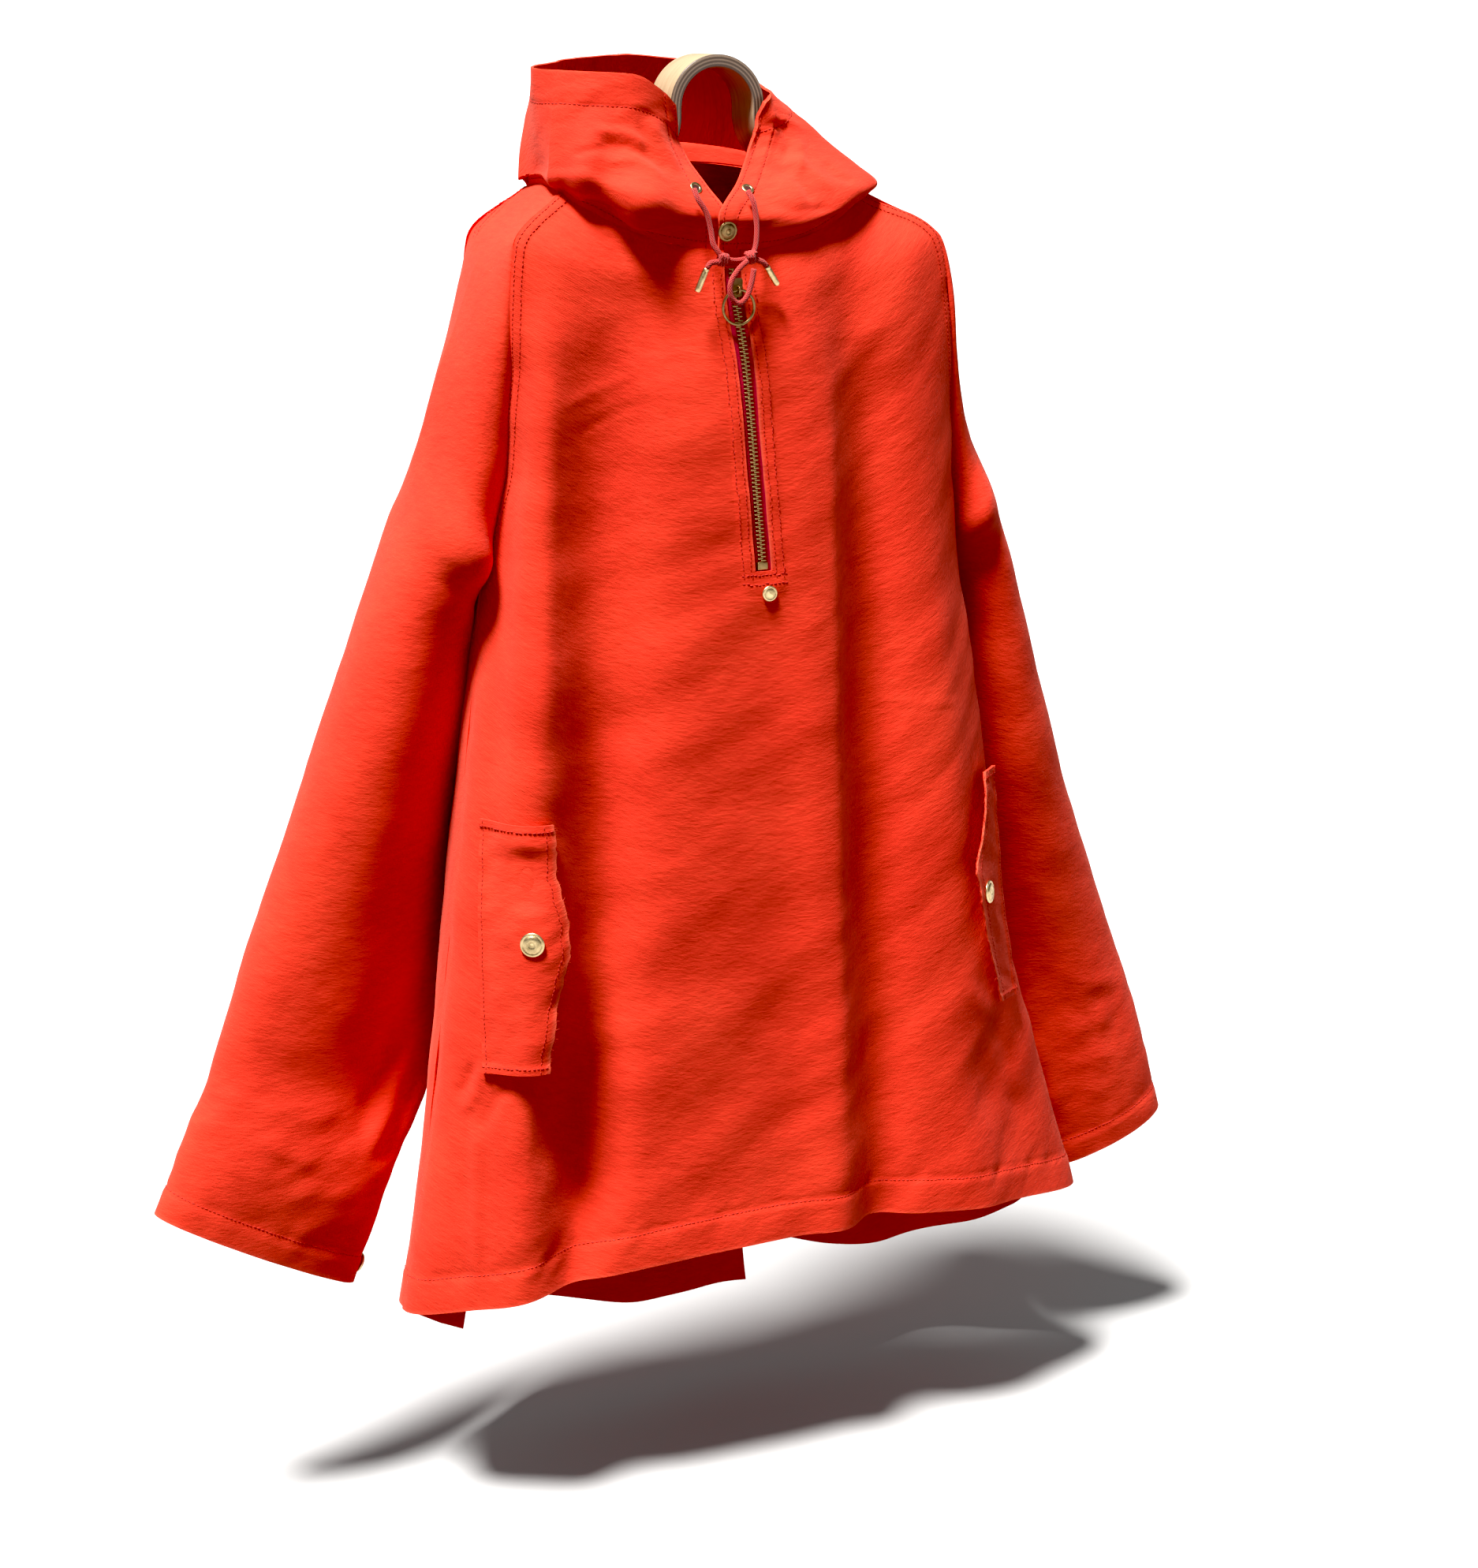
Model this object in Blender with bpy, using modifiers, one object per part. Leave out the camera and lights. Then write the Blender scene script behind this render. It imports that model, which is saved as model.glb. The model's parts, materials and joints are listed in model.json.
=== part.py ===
"""A hooded pullover anorak in heavy cotton canvas, hanging on a bent plywood hanger.

Metres, +Z up. The front faces -Y and +X is the viewer's right. The origin is at the underside
of the hanger's loop, where a peg or rail carries it.

Each cut piece of cloth is a grid of points on its middle surface, worked out from the tables
below, with a Solidify wall. The columns of every table are named above its rows.
"""

import math

import bmesh
import bpy
import numpy as np
from mathutils import Matrix, Vector

# Cloth
WALL = 0.0016
SEAM_GAP = 0.0003
SLEEVE_GAP = 0.0027  # the sleeve's own share, where it meets the body at an angle
EDGE_STAND = 0.0022  # a panel that passes another at a vent stands this far from it

# The body's levels, from the neck seam to the hem. Half girths are measured in X from the middle.
# front_z, front_y: middle of the front. back_z, back_y: middle of the back. edge_*: where the
# front and back end, at the armhole above the underarm and at the side seam below it.
# square: superellipse power of the section. open: 1 for a section that ends flat on the sleeve,
# 0 for one that turns round into the side. swell: how far the front stands out past its edge.
BODY_COLUMNS = (
    "front_z", "front_y", "back_z", "back_y", "left_x", "left_z", "right_x", "right_z",
    "edge_front_y", "edge_back_y", "square", "open", "swell",
)
BODY_LEVELS = {
    "neck":     (-0.128, -0.072, -0.072, 0.055, -0.132, -0.087, 0.114, -0.093, -0.034, 0.034, 2.2, 1.0, 0.0),
    "shoulder": (-0.160, -0.081, -0.112, 0.062, -0.173, -0.123, 0.172, -0.127, -0.047, 0.044, 2.3, 1.0, 0.0),
    "chest":    (-0.210, -0.089, -0.175, 0.067, -0.177, -0.180, 0.182, -0.185, -0.050, 0.047, 2.4, 0.8, 0.0),
    "armhole":  (-0.290, -0.096, -0.280, 0.068, -0.177, -0.275, 0.188, -0.275, -0.040, 0.036, 2.5, 0.35, 0.001),
    "underarm": (-0.375, -0.100, -0.375, 0.066, -0.192, -0.365, 0.201, -0.365, -0.021, -0.020, 2.5, 0.05, 0.002),
    "waist":    (-0.450, -0.103, -0.455, 0.064, -0.206, -0.450, 0.214, -0.450, -0.031, -0.031, 2.5, 0.0, 0.002),
    "flap_top": (-0.535, -0.106, -0.545, 0.062, -0.219, -0.535, 0.227, -0.540, -0.036, -0.036, 2.5, 0.0, 0.0),
    "flap_mid": (-0.630, -0.109, -0.645, 0.060, -0.233, -0.635, 0.238, -0.640, -0.040, -0.040, 2.5, 0.0, 0.0),
    "flap_low": (-0.720, -0.112, -0.745, 0.058, -0.246, -0.730, 0.259, -0.735, -0.043, -0.043, 2.4, 0.0, 0.0),
    "vent":     (-0.800, -0.115, -0.840, 0.057, -0.261, -0.820, 0.284, -0.825, -0.047, -0.047, 2.3, 0.0, 0.0),
    "hem":      (-0.893, -0.119, -0.945, 0.056, -0.282, -0.924, 0.311, -0.921, -0.051, -0.051, 2.2, 0.0, 0.0),
}
LEVEL = {name: index for index, name in enumerate(BODY_LEVELS)}

# Large vertical folds. Each row is one station down a fold: level (as an index), x on the panel,
# half width, and height out of the panel (a trough is below zero).
FRONT_FOLDS = {
    "left_ridge": ((1.5, -0.160, 0.018, 0.0), (3.0, -0.168, 0.022, 0.010), (5.5, -0.176, 0.026, 0.016),
                   (7.6, -0.184, 0.028, 0.018), (9.0, -0.196, 0.030, 0.016), (10.0, -0.205, 0.032, 0.014)),
    "left_trough": ((1.5, -0.110, 0.020, 0.0), (3.0, -0.122, 0.028, -0.009), (5.5, -0.132, 0.030, -0.012),
                    (7.6, -0.138, 0.028, -0.016), (9.0, -0.148, 0.024, -0.020), (10.0, -0.165, 0.018, -0.006)),
    "right_ridge": ((1.8, 0.060, 0.016, 0.0), (3.2, 0.060, 0.020, 0.006), (6.0, 0.058, 0.022, 0.007),
                    (8.5, 0.062, 0.022, 0.007), (10.0, 0.060, 0.022, 0.006)),
    "right_trough": ((1.8, 0.100, 0.018, 0.0), (3.2, 0.098, 0.022, -0.008), (6.0, 0.096, 0.024, -0.010),
                     (8.5, 0.102, 0.024, -0.011), (10.0, 0.098, 0.022, -0.009)),
    "right_side": ((2.5, 0.150, 0.022, 0.0), (5.0, 0.160, 0.026, 0.006), (8.0, 0.178, 0.030, 0.009),
                   (10.0, 0.190, 0.036, 0.008)),
}
BACK_FOLDS = {
    "left_swing": ((2.5, -0.110, 0.030, 0.0), (5.0, -0.125, 0.036, 0.008), (8.0, -0.140, 0.042, 0.014),
                   (10.0, -0.155, 0.046, 0.018)),
    "left_hollow": ((3.0, -0.050, 0.026, 0.0), (6.0, -0.052, 0.034, -0.007), (10.0, -0.056, 0.040, -0.013)),
    "middle_swing": ((3.5, 0.030, 0.026, 0.0), (6.0, 0.034, 0.030, 0.004), (10.0, 0.040, 0.034, 0.007)),
    "right_hollow": ((3.0, 0.100, 0.028, 0.0), (6.0, 0.112, 0.034, -0.008), (10.0, 0.130, 0.042, -0.012)),
    "right_swing": ((3.0, 0.165, 0.026, 0.0), (6.0, 0.185, 0.030, 0.006), (10.0, 0.215, 0.038, 0.013)),
}

# The drop tail: how far the back hem hangs below the line from its edge to its middle, at parts
# of the half girth. The middle of the back is split by a vent, and its right half is shorter.
TAIL_LEFT = {"at": (-1.0, -0.9, -0.65, -0.45, -0.2, 0.0, 0.16, 0.20), "drop": (0.0, 0.018, 0.042, 0.050, 0.062, 0.068, 0.069, 0.062)}
TAIL_RIGHT = {"at": (0.20, 0.4, 0.6, 0.8, 0.92, 1.0), "drop": (0.028, 0.044, 0.058, 0.052, 0.036, 0.0)}
BACK_SEAM = {"level": (0.0, 4.0, 8.0, 10.0), "x": (0.0, 0.010, 0.040, 0.060)}
BACK_VENT_LEVEL = 9.0
BACK_VENT_GAP = 0.004

# Side vents: below this level the back's edge passes behind the front's edge as an underlap.
SIDE_VENT_LEVEL = 9.3
UNDERLAP_DEPTHS = (0.0045, 0.022, 0.040)
UNDERLAP_STANDS = (0.0040, 0.0095, 0.0150)
UNDERLAP_DROP = {"left": 0.013, "right": -0.004}

# Sleeve rows. The first rows run from the front seam over the shoulder to the back seam and the
# others are closed tubes, with the underarm seam on the inner edge.
# inner_*: the seam edge, outer_*: the outer edge, depth: half depth in Y, round: how far the
# section turns round at its inner edge. Rows above the underarm take inner_* from the body.
SLEEVE_COLUMNS = ("level", "inner_x", "inner_y", "inner_z", "outer_x", "outer_y", "outer_z", "depth", "round")
SLEEVE_LEFT = (
    (0.0, 0.0, 0.0, 0.0, -0.131, 0.000, -0.083, 0.000, 0.0),
    (0.5, 0.0, 0.0, 0.0, -0.154, 0.000, -0.103, 0.000, 0.0),
    (1.0, 0.0, 0.0, 0.0, -0.175, 0.000, -0.121, 0.002, 0.0),
    (1.6, 0.0, 0.0, 0.0, -0.184, 0.001, -0.139, 0.005, 0.0),
    (2.2, 0.0, 0.0, 0.0, -0.195, 0.002, -0.168, 0.009, 0.05),
    (3.0, 0.0, 0.0, 0.0, -0.211, 0.004, -0.210, 0.016, 0.2),
    (3.6, 0.0, 0.0, 0.0, -0.229, 0.006, -0.262, 0.030, 0.5),
    (4.0, -0.197, 0.010, -0.376, -0.250, 0.008, -0.324, 0.054, 0.9),
    (5.0, -0.2055, 0.015, -0.452, -0.279, 0.010, -0.398, 0.050, 1.0),
    (6.0, -0.2105, 0.024, -0.550, -0.318, 0.012, -0.500, 0.048, 1.0),
    (7.0, -0.2170, 0.032, -0.648, -0.354, 0.012, -0.592, 0.044, 1.0),
    (8.0, -0.2255, 0.032, -0.735, -0.388, 0.010, -0.676, 0.038, 1.0),
    (8.6, -0.2345, 0.026, -0.779, -0.403, 0.008, -0.715, 0.034, 1.0),
    (9.0, -0.256, 0.012, -0.808, -0.413, 0.006, -0.740, 0.032, 1.0),
    (9.5, -0.2750, 0.003, -0.836, -0.425, 0.004, -0.765, 0.030, 1.0),
    (10.0, -0.286, 0.000, -0.862, -0.436, 0.002, -0.789, 0.028, 1.0),
    (11.0, -0.3075, 0.000, -0.917, -0.457, 0.000, -0.834, 0.022, 1.0),
)
SLEEVE_RIGHT = (
    (0.0, 0.0, 0.0, 0.0, 0.113, 0.000, -0.089, 0.000, 0.0),
    (0.5, 0.0, 0.0, 0.0, 0.1440, 0.000, -0.1065, 0.000, 0.0),
    (1.0, 0.0, 0.0, 0.0, 0.1785, 0.000, -0.1290, 0.002, 0.0),
    (1.6, 0.0, 0.0, 0.0, 0.186, 0.001, -0.154, 0.005, 0.0),
    (2.2, 0.0, 0.0, 0.0, 0.191, 0.002, -0.178, 0.009, 0.05),
    (3.0, 0.0, 0.0, 0.0, 0.202, 0.004, -0.218, 0.016, 0.2),
    (3.6, 0.0, 0.0, 0.0, 0.218, 0.006, -0.270, 0.030, 0.5),
    (4.0, 0.206, 0.010, -0.376, 0.240, 0.008, -0.330, 0.054, 0.9),
    (5.0, 0.217, 0.012, -0.452, 0.267, 0.010, -0.408, 0.060, 1.0),
    (6.0, 0.229, 0.013, -0.550, 0.297, 0.012, -0.498, 0.058, 1.0),
    (7.0, 0.245, 0.012, -0.648, 0.330, 0.012, -0.594, 0.050, 1.0),
    (8.0, 0.268, 0.008, -0.740, 0.360, 0.010, -0.674, 0.040, 1.0),
    (9.0, 0.287, 0.004, -0.812, 0.388, 0.006, -0.748, 0.034, 1.0),
    (10.0, 0.300, 0.002, -0.870, 0.410, 0.002, -0.815, 0.032, 1.0),
    (11.0, 0.318, 0.002, -0.930, 0.431, 0.000, -0.890, 0.028, 1.0),
)

# Hood stations, from the front edge on the left, round the back, to the front edge on the right.
# neck_*: the seam in plan, which is put on the body's neck line. over: how far an edge that laps
# the other stands in front of the neck line. Then four places up the cloth, each a distance out
# and a height: the hollow above the seam, the underside of the roll, the roll and the belly.
# rim_*: the edge of the face opening.
HOOD_COLUMNS = (
    "neck_x", "neck_y", "over", "hollow_out", "hollow_z", "under_out", "under_z",
    "roll_out", "roll_z", "belly_out", "belly_z", "rim_x", "rim_y", "rim_z",
)
HOOD_STATIONS = {
    "left_edge":   (-0.019, -0.072, 0.0, 0.001, -0.114, 0.002, -0.101, 0.000, -0.082, -0.010, -0.054, -0.043, -0.038, -0.026),
    "left_eyelet": (-0.046, -0.068, 0.0, 0.002, -0.112, 0.005, -0.101, 0.005, -0.084, -0.004, -0.050, -0.060, -0.044, -0.013),
    "left_front":  (-0.078, -0.060, 0.0, 0.002, -0.106, 0.008, -0.096, 0.011, -0.082, 0.005, -0.046, -0.080, -0.046, -0.004),
    "left_cheek":  (-0.110, -0.046, 0.0, 0.002, -0.094, 0.007, -0.089, 0.011, -0.078, 0.008, -0.044, -0.112, -0.034, -0.002),
    "left_corner": (-0.131, -0.004, 0.0, 0.001, -0.078, 0.004, -0.075, 0.003, -0.070, 0.003, -0.045, -0.138, -0.002, 0.000),
    "back_left":   (-0.106, 0.043, 0.0, 0.003, -0.076, 0.009, -0.086, 0.017, -0.090, 0.016, -0.050, -0.097, 0.060, 0.003),
    "back_middle": (-0.012, 0.055, 0.0, 0.010, -0.072, 0.032, -0.172, 0.066, -0.162, 0.076, -0.074, -0.024, 0.104, 0.007),
    "back_right":  (0.066, 0.051, 0.0, 0.008, -0.078, 0.024, -0.112, 0.048, -0.112, 0.050, -0.066, 0.036, 0.086, 0.000),
    "right_rear":  (0.108, 0.035, 0.0, 0.003, -0.078, 0.008, -0.080, 0.014, -0.084, 0.016, -0.058, 0.056, 0.056, -0.010),
    "right_end":   (0.113, 0.002, 0.0, 0.002, -0.082, 0.007, -0.082, 0.011, -0.080, 0.010, -0.058, 0.052, 0.022, -0.015),
    "right_cheek": (0.094, -0.046, 0.0, 0.002, -0.101, 0.009, -0.095, 0.013, -0.084, 0.005, -0.057, 0.049, -0.008, -0.018),
    "right_front": (0.056, -0.063, 0.0, 0.002, -0.115, 0.007, -0.104, 0.008, -0.086, -0.002, -0.056, 0.041, -0.022, -0.021),
    "right_snap":  (0.014, -0.073, 0.002, 0.003, -0.118, 0.006, -0.105, 0.004, -0.086, -0.005, -0.056, 0.036, -0.028, -0.023),
    "right_edge":  (-0.026, -0.071, 0.006, 0.003, -0.113, 0.003, -0.100, 0.000, -0.082, -0.007, -0.054, 0.031, -0.031, -0.025),
}
HOOD_COLUMN_COUNT = 26
HOOD_SEAM_LIFT = 0.0022
HOOD_STAND_UP = 0.006  # the least height at which the cloth above the seam starts to lean out
HOOD_BACK_STATION = 6.0

# Zip, in the front's middle
ZIP_BOTTOM_LEVEL = 3.84
ZIP_LEAN = {"level": (0.0, 0.9, 2.0, 3.0, 4.0, 5.0), "x": (-0.0135, -0.0150, -0.0100, -0.0055, -0.0003, 0.0015)}
WINDOW_HALF = 0.0052
TAPE_HALF = 0.014
TAPE_STAND = 0.0022  # behind the front's middle surface
CHAIN_HALF = 0.0040
CHAIN_THICK = 0.0022
STOP_LENGTH = 0.0056
SLIDER_Z = -0.1555
SLIDER_SIZE = (0.0100, 0.0044, 0.0135)  # across, out, down
SLIDER_STAND = 0.0016
RING_RADIUS = 0.0125
RING_WIRE = 0.0010
PIVOT_DOWN = -0.0022  # of the slider's middle
PIVOT_OUT = 0.0018  # in front of the slider's face
BAIL_WIRE = 0.0008
BAIL_ROUTE = (  # forward of the slider's face, and up from the pivot
    (0.0016, 0.0023), (-0.0016, 0.0024), (-0.0034, 0.0017), (-0.0042, 0.0), (-0.0034, -0.0017),
    (-0.0016, -0.0024), (0.0016, -0.0023),
)

# Pocket flaps. at: part of the half girth. Rows: level, sewn edge at, free edge at, lift.
FLAPS = {
    "left": ((6.02, -0.965, -0.775, 0.0030), (6.47, -0.955, -0.748, 0.0045), (6.98, -0.94, -0.712, 0.0060),
             (7.5, -0.92, -0.731, 0.0055), (8.0, -0.90, -0.738, 0.0035)),
    "right": ((6.05, 0.955, 0.86, 0.0040), (6.55, 0.945, 0.79, 0.0065), (6.84, 0.94, 0.735, 0.0085),
              (7.0, 0.935, 0.74, 0.0085), (7.57, 0.925, 0.765, 0.0075), (8.04, 0.91, 0.79, 0.0060)),
}
FLAP_SEAM_STAND = 0.0024
FLAP_SNAP = {"left": (6.91, 0.62), "right": (7.02, 0.72)}  # level, part of the way to the raw edge

# Metal trim: outer radius and height
FLAP_CAP = (0.0093, 0.0030)
NECK_CAP = (0.0076, 0.0028)
CUFF_CAP = (0.0076, 0.0028)
STUD_CAP = (0.0060, 0.0024)
EYELET = (0.0048, 0.0024, 0.0013)  # outer radius, hole radius, height
TRIM_STAND = 0.0003
STUD_LEVEL = 4.03

# Drawcord. Its route is a list of points chosen by hand, from each eyelet to the aglet.
CORD_RADIUS = 0.0020
CORD_SIDES_RESOLUTION = 2
CORD_STEP = 0.0052
CORD_LEFT = (
    (-0.0505, -0.0790, -0.0850), (-0.0455, -0.0850, -0.0905), (-0.0400, -0.0870, -0.1000),
    (-0.0370, -0.0880, -0.1120), (-0.0360, -0.0900, -0.1220), (-0.0330, -0.0915, -0.1275),
)
CORD_RIGHT = (
    (-0.0040, -0.0800, -0.0860), (-0.0020, -0.0850, -0.0930), (-0.0005, -0.0870, -0.1050),
    (-0.0010, -0.0890, -0.1170), (-0.0030, -0.0905, -0.1260),
)
KNOT_LEFT = (-0.0300, -0.0925, -0.1330)
KNOT_RIGHT = (-0.0070, -0.0925, -0.1320)
KNOT_RADIUS = (0.0052, 0.0042, 0.0056)
TAIL_LEFT_ROUTE = ((-0.0356, -0.0935, -0.1345), (-0.0395, -0.0935, -0.1350), (-0.0425, -0.0930, -0.1385))
TAIL_RIGHT_ROUTE = ((-0.0015, -0.0935, -0.1345), (0.0020, -0.0935, -0.1360), (0.0050, -0.0930, -0.1390))
AGLET_LEFT_TIP = (-0.0500, -0.0915, -0.1560)
AGLET_RIGHT_TIP = (0.0150, -0.0915, -0.1535)
AGLET_RADIUS = 0.0023
BOW_ROUTE = (
    (-0.0120, -0.0960, -0.1345), (-0.0200, -0.0985, -0.1400), (-0.0265, -0.0995, -0.1490),
    (-0.0262, -0.0995, -0.1590), (-0.0200, -0.0995, -0.1640), (-0.0135, -0.0995, -0.1590),
    (-0.0095, -0.0985, -0.1490), (-0.0072, -0.0975, -0.1400),
)
CROSS_ROUTE = ((-0.0245, -0.0925, -0.1335), (-0.0190, -0.0915, -0.1342), (-0.0127, -0.0920, -0.1335))

# Hanger: one band of plywood bent into a loop and two arms
BAND_DEPTH = 0.040
BAND_THICK = 0.0090
LOOP_INNER_RADIUS = 0.0290
HANGER_ROUTE = (  # middle of the band's thickness, from under the loop to the left arm's tip
    (-0.0337, -0.0380), (-0.0360, -0.0480), (-0.0425, -0.0590), (-0.0540, -0.0690), (-0.0700, -0.0775),
    (-0.0900, -0.0865), (-0.1100, -0.0975), (-0.1300, -0.1105), (-0.1480, -0.1235), (-0.1620, -0.1345),
)

COLOURS = {  # linear colour, roughness, metallic
    "canvas": ((0.82, 0.050, 0.012), 0.85, 0.0),
    "zip_tape": ((0.55, 0.004, 0.030), 0.80, 0.0),
    "cord": ((0.72, 0.060, 0.045), 0.75, 0.0),
    "brass": ((0.55, 0.42, 0.22), 0.32, 1.0),
    "dark_brass": ((0.24, 0.18, 0.09), 0.38, 1.0),
    "plywood": ((0.62, 0.44, 0.27), 0.55, 0.0),
}


# ---------------------------------------------------------------- curves and tables


def column(levels, columns, name):
    """One named column of a table of rows."""
    return np.array([row[columns.index(name)] for row in levels], float)


def through(positions, values, at):
    """A smooth curve through table values: cubic Hermite with limited slopes, so it never overshoots."""
    positions = np.asarray(positions, float)
    values = np.asarray(values, float)
    at = np.clip(np.asarray(at, float), positions[0], positions[-1])
    steps = np.diff(positions)
    slopes = np.diff(values) / steps
    tangents = np.empty_like(values)
    tangents[0] = slopes[0]
    tangents[-1] = slopes[-1]
    for i in range(1, len(values) - 1):
        before, after = slopes[i - 1], slopes[i]
        flat = before * after <= 0
        tangents[i] = 0.0 if flat else 3 * (steps[i - 1] + steps[i]) / (
            (2 * steps[i] + steps[i - 1]) / before + (steps[i] + 2 * steps[i - 1]) / after
        )
    i = np.clip(np.searchsorted(positions, at, side="right") - 1, 0, len(steps) - 1)
    t = (at - positions[i]) / steps[i]
    return (
        (2 * t**3 - 3 * t**2 + 1) * values[i]
        + (t**3 - 2 * t**2 + t) * steps[i] * tangents[i]
        + (3 * t**2 - 2 * t**3) * values[i + 1]
        + (t**3 - t**2) * steps[i] * tangents[i + 1]
    )


def rounded(points, count):
    """Points at even steps along a Catmull-Rom curve through the given points."""
    points = np.asarray(points, float)
    ends = np.vstack([2 * points[0] - points[1], points, 2 * points[-1] - points[-2]])
    fine = []
    for i in range(len(points) - 1):
        a, b, c, d = ends[i : i + 4]
        for t in np.linspace(0, 1, 24, endpoint=False):
            fine.append(0.5 * (2 * b + (c - a) * t + (2 * a - 5 * b + 4 * c - d) * t**2 + (3 * b - a - 3 * c + d) * t**3))
    fine = np.vstack(fine + [points[-1]])
    along = np.concatenate([[0], np.cumsum(np.linalg.norm(np.diff(fine, axis=0), axis=1))])
    at = np.linspace(0, along[-1], count)
    return np.stack([np.interp(at, along, fine[:, k]) for k in range(fine.shape[1])], axis=1)


def ease(t):
    """0 below 0, 1 above 1, and smooth between."""
    t = np.clip(t, 0, 1)
    return t * t * (3 - 2 * t)


# ---------------------------------------------------------------- body


def body_at(level):
    """The body table's values at a level, by column name."""
    rows = tuple(BODY_LEVELS.values())
    found = {name: float(through(range(len(rows)), column(rows, BODY_COLUMNS, name), level)) for name in BODY_COLUMNS}
    if level >= LEVEL["underarm"]:
        found["edge_back_y"] = found["edge_front_y"]
    return found


def fold_height(folds, level, x):
    """The height of all the vertical folds at a level and a place across the panel."""
    height = 0.0
    for stations in folds.values():
        table = np.array(stations)
        middle, width, rise = (float(through(table[:, 0], table[:, k], level)) for k in (1, 2, 3))
        if level < table[0, 0]:
            rise = 0.0
        height += rise * math.exp(-(((x - middle) / width) ** 2))
    return height


def section_point(row, across, front):
    """A point of one level's front or back section, before folds. across is -1 at the left edge and 1 at the right."""
    middle = (row["left_x"] + row["right_x"]) / 2
    half = (row["right_x"] - row["left_x"]) / 2
    side = "left" if across < 0 else "right"
    far = abs(across)
    turned = (1 - far ** row["square"]) ** (1 / row["square"]) if far < 1 else 0.0
    flat = 1 - far**2.6
    out = row["open"] * flat + (1 - row["open"]) * turned
    edge_y = row["edge_front_y"] if front else row["edge_back_y"]
    middle_y = row["front_y"] if front else row["back_y"]
    middle_z = row["front_z"] if front else row["back_z"]
    x = middle + half * across
    if front:
        x += math.copysign(row["swell"], across) * math.exp(-(((far - 0.93) / 0.07) ** 2)) * (far < 1)
    y = edge_y + (middle_y - edge_y) * out
    z = middle_z + (row[side + "_z"] - middle_z) * far**2.2
    return Vector((x, y, z))


def body_point(level, across, front):
    """A point of the front or the back, with its folds moved out along the section's normal."""
    row = body_at(level)
    point = section_point(row, across, front)
    step = 0.01
    before = section_point(row, max(-1, across - step), front)
    after = section_point(row, min(1, across + step), front)
    outward = -1 if front else 1
    normal = Vector((before.y - after.y, after.x - before.x, 0)).normalized() * outward
    fade = ease((1 - abs(across)) / 0.12)
    folds = FRONT_FOLDS if front else BACK_FOLDS
    return point + normal * fade * fold_height(folds, level, point.x)


def front_point(level, across):
    return body_point(level, across, True)


def front_frame(level, across, stand=0.0):
    """A place on the front: the point moved out by stand, and the directions across, down and out."""
    point = front_point(level, across)
    over = (front_point(level, across + 0.02) - front_point(level, across - 0.02)).normalized()
    down = (front_point(level + 0.04, across) - front_point(level - 0.04, across)).normalized()
    out = over.cross(down).normalized()
    if out.y > 0:
        out.negate()
    return point + out * stand, over, down, out


def girth_part(x, level):
    """The part of the half girth at which the front has this x."""
    row = body_at(level)
    return (x - (row["left_x"] + row["right_x"]) / 2) / ((row["right_x"] - row["left_x"]) / 2)


def zip_x(level):
    """The middle of the zip leans slightly to the right as it goes down."""
    return float(through(ZIP_LEAN["level"], ZIP_LEAN["x"], level))


def back_point(level, across, half):
    """A point of the back. Its hem drops to a tail below the vent's level."""
    point = body_point(level, across, False)
    tail = TAIL_LEFT if half == "left" else TAIL_RIGHT
    drop = float(through(tail["at"], tail["drop"], across))
    point.z -= drop * ease((level - LEVEL["underarm"]) / (LEVEL["hem"] - LEVEL["underarm"])) ** 1.5
    return point


# ---------------------------------------------------------------- meshes


def material(name):
    colour, roughness, metallic = COLOURS[name]
    found = bpy.data.materials.get(name) or bpy.data.materials.new(name)
    found.use_nodes = True
    shader = found.node_tree.nodes["Principled BSDF"]
    shader.inputs["Base Color"].default_value = (*colour, 1)
    shader.inputs["Roughness"].default_value = roughness
    shader.inputs["Metallic"].default_value = metallic
    found.diffuse_color = (*colour, 1)
    return found


def add_object(name, mesh, look, smooth=True):
    mesh.materials.append(material(look))
    piece = bpy.data.objects.new(name, mesh)
    bpy.data.collections["anorak"].objects.link(piece)
    if smooth:
        mesh.shade_smooth()
    return piece


def pulled_in(grid, rows=(True, True), columns=(True, True), gap=SEAM_GAP):
    """Moves the outer rows and columns of a grid of points in by half the seam gap."""
    grid = np.array(grid, float)
    for wanted, edge, inner in ((rows[0], grid[0], grid[1]), (rows[1], grid[-1], grid[-2])):
        if wanted:
            way = inner - edge
            edge += way / np.linalg.norm(way, axis=1, keepdims=True) * gap / 2
    for wanted, edge, inner in ((columns[0], 0, 1), (columns[1], -1, -2)):
        if wanted:
            way = grid[:, inner] - grid[:, edge]
            grid[:, edge] += way / np.linalg.norm(way, axis=1, keepdims=True) * gap / 2
    return grid


def grid_normals(grid):
    """The unit normal at each point of a grid."""
    normals = np.cross(np.gradient(grid, axis=1), np.gradient(grid, axis=0))
    return normals / np.linalg.norm(normals, axis=2, keepdims=True)


def mitre(edge, inner_a, inner_b):
    """The mean normal along a seam, from its points and the next row of points in each piece."""
    along = np.gradient(edge, axis=0)
    sides = []
    for one, two in ((inner_a - edge, along), (along, inner_b - edge)):
        side = np.cross(one, two)
        sides.append(side / np.linalg.norm(side, axis=1, keepdims=True))
    mean = sides[0] + sides[1]
    return mean / np.linalg.norm(mean, axis=1, keepdims=True)


def set_seam(normals, shared):
    """Gives a piece's edge the seam's normals, on the piece's own side."""
    sign = np.sign((normals * shared).sum(axis=1, keepdims=True))
    normals[:] = shared * sign


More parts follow.
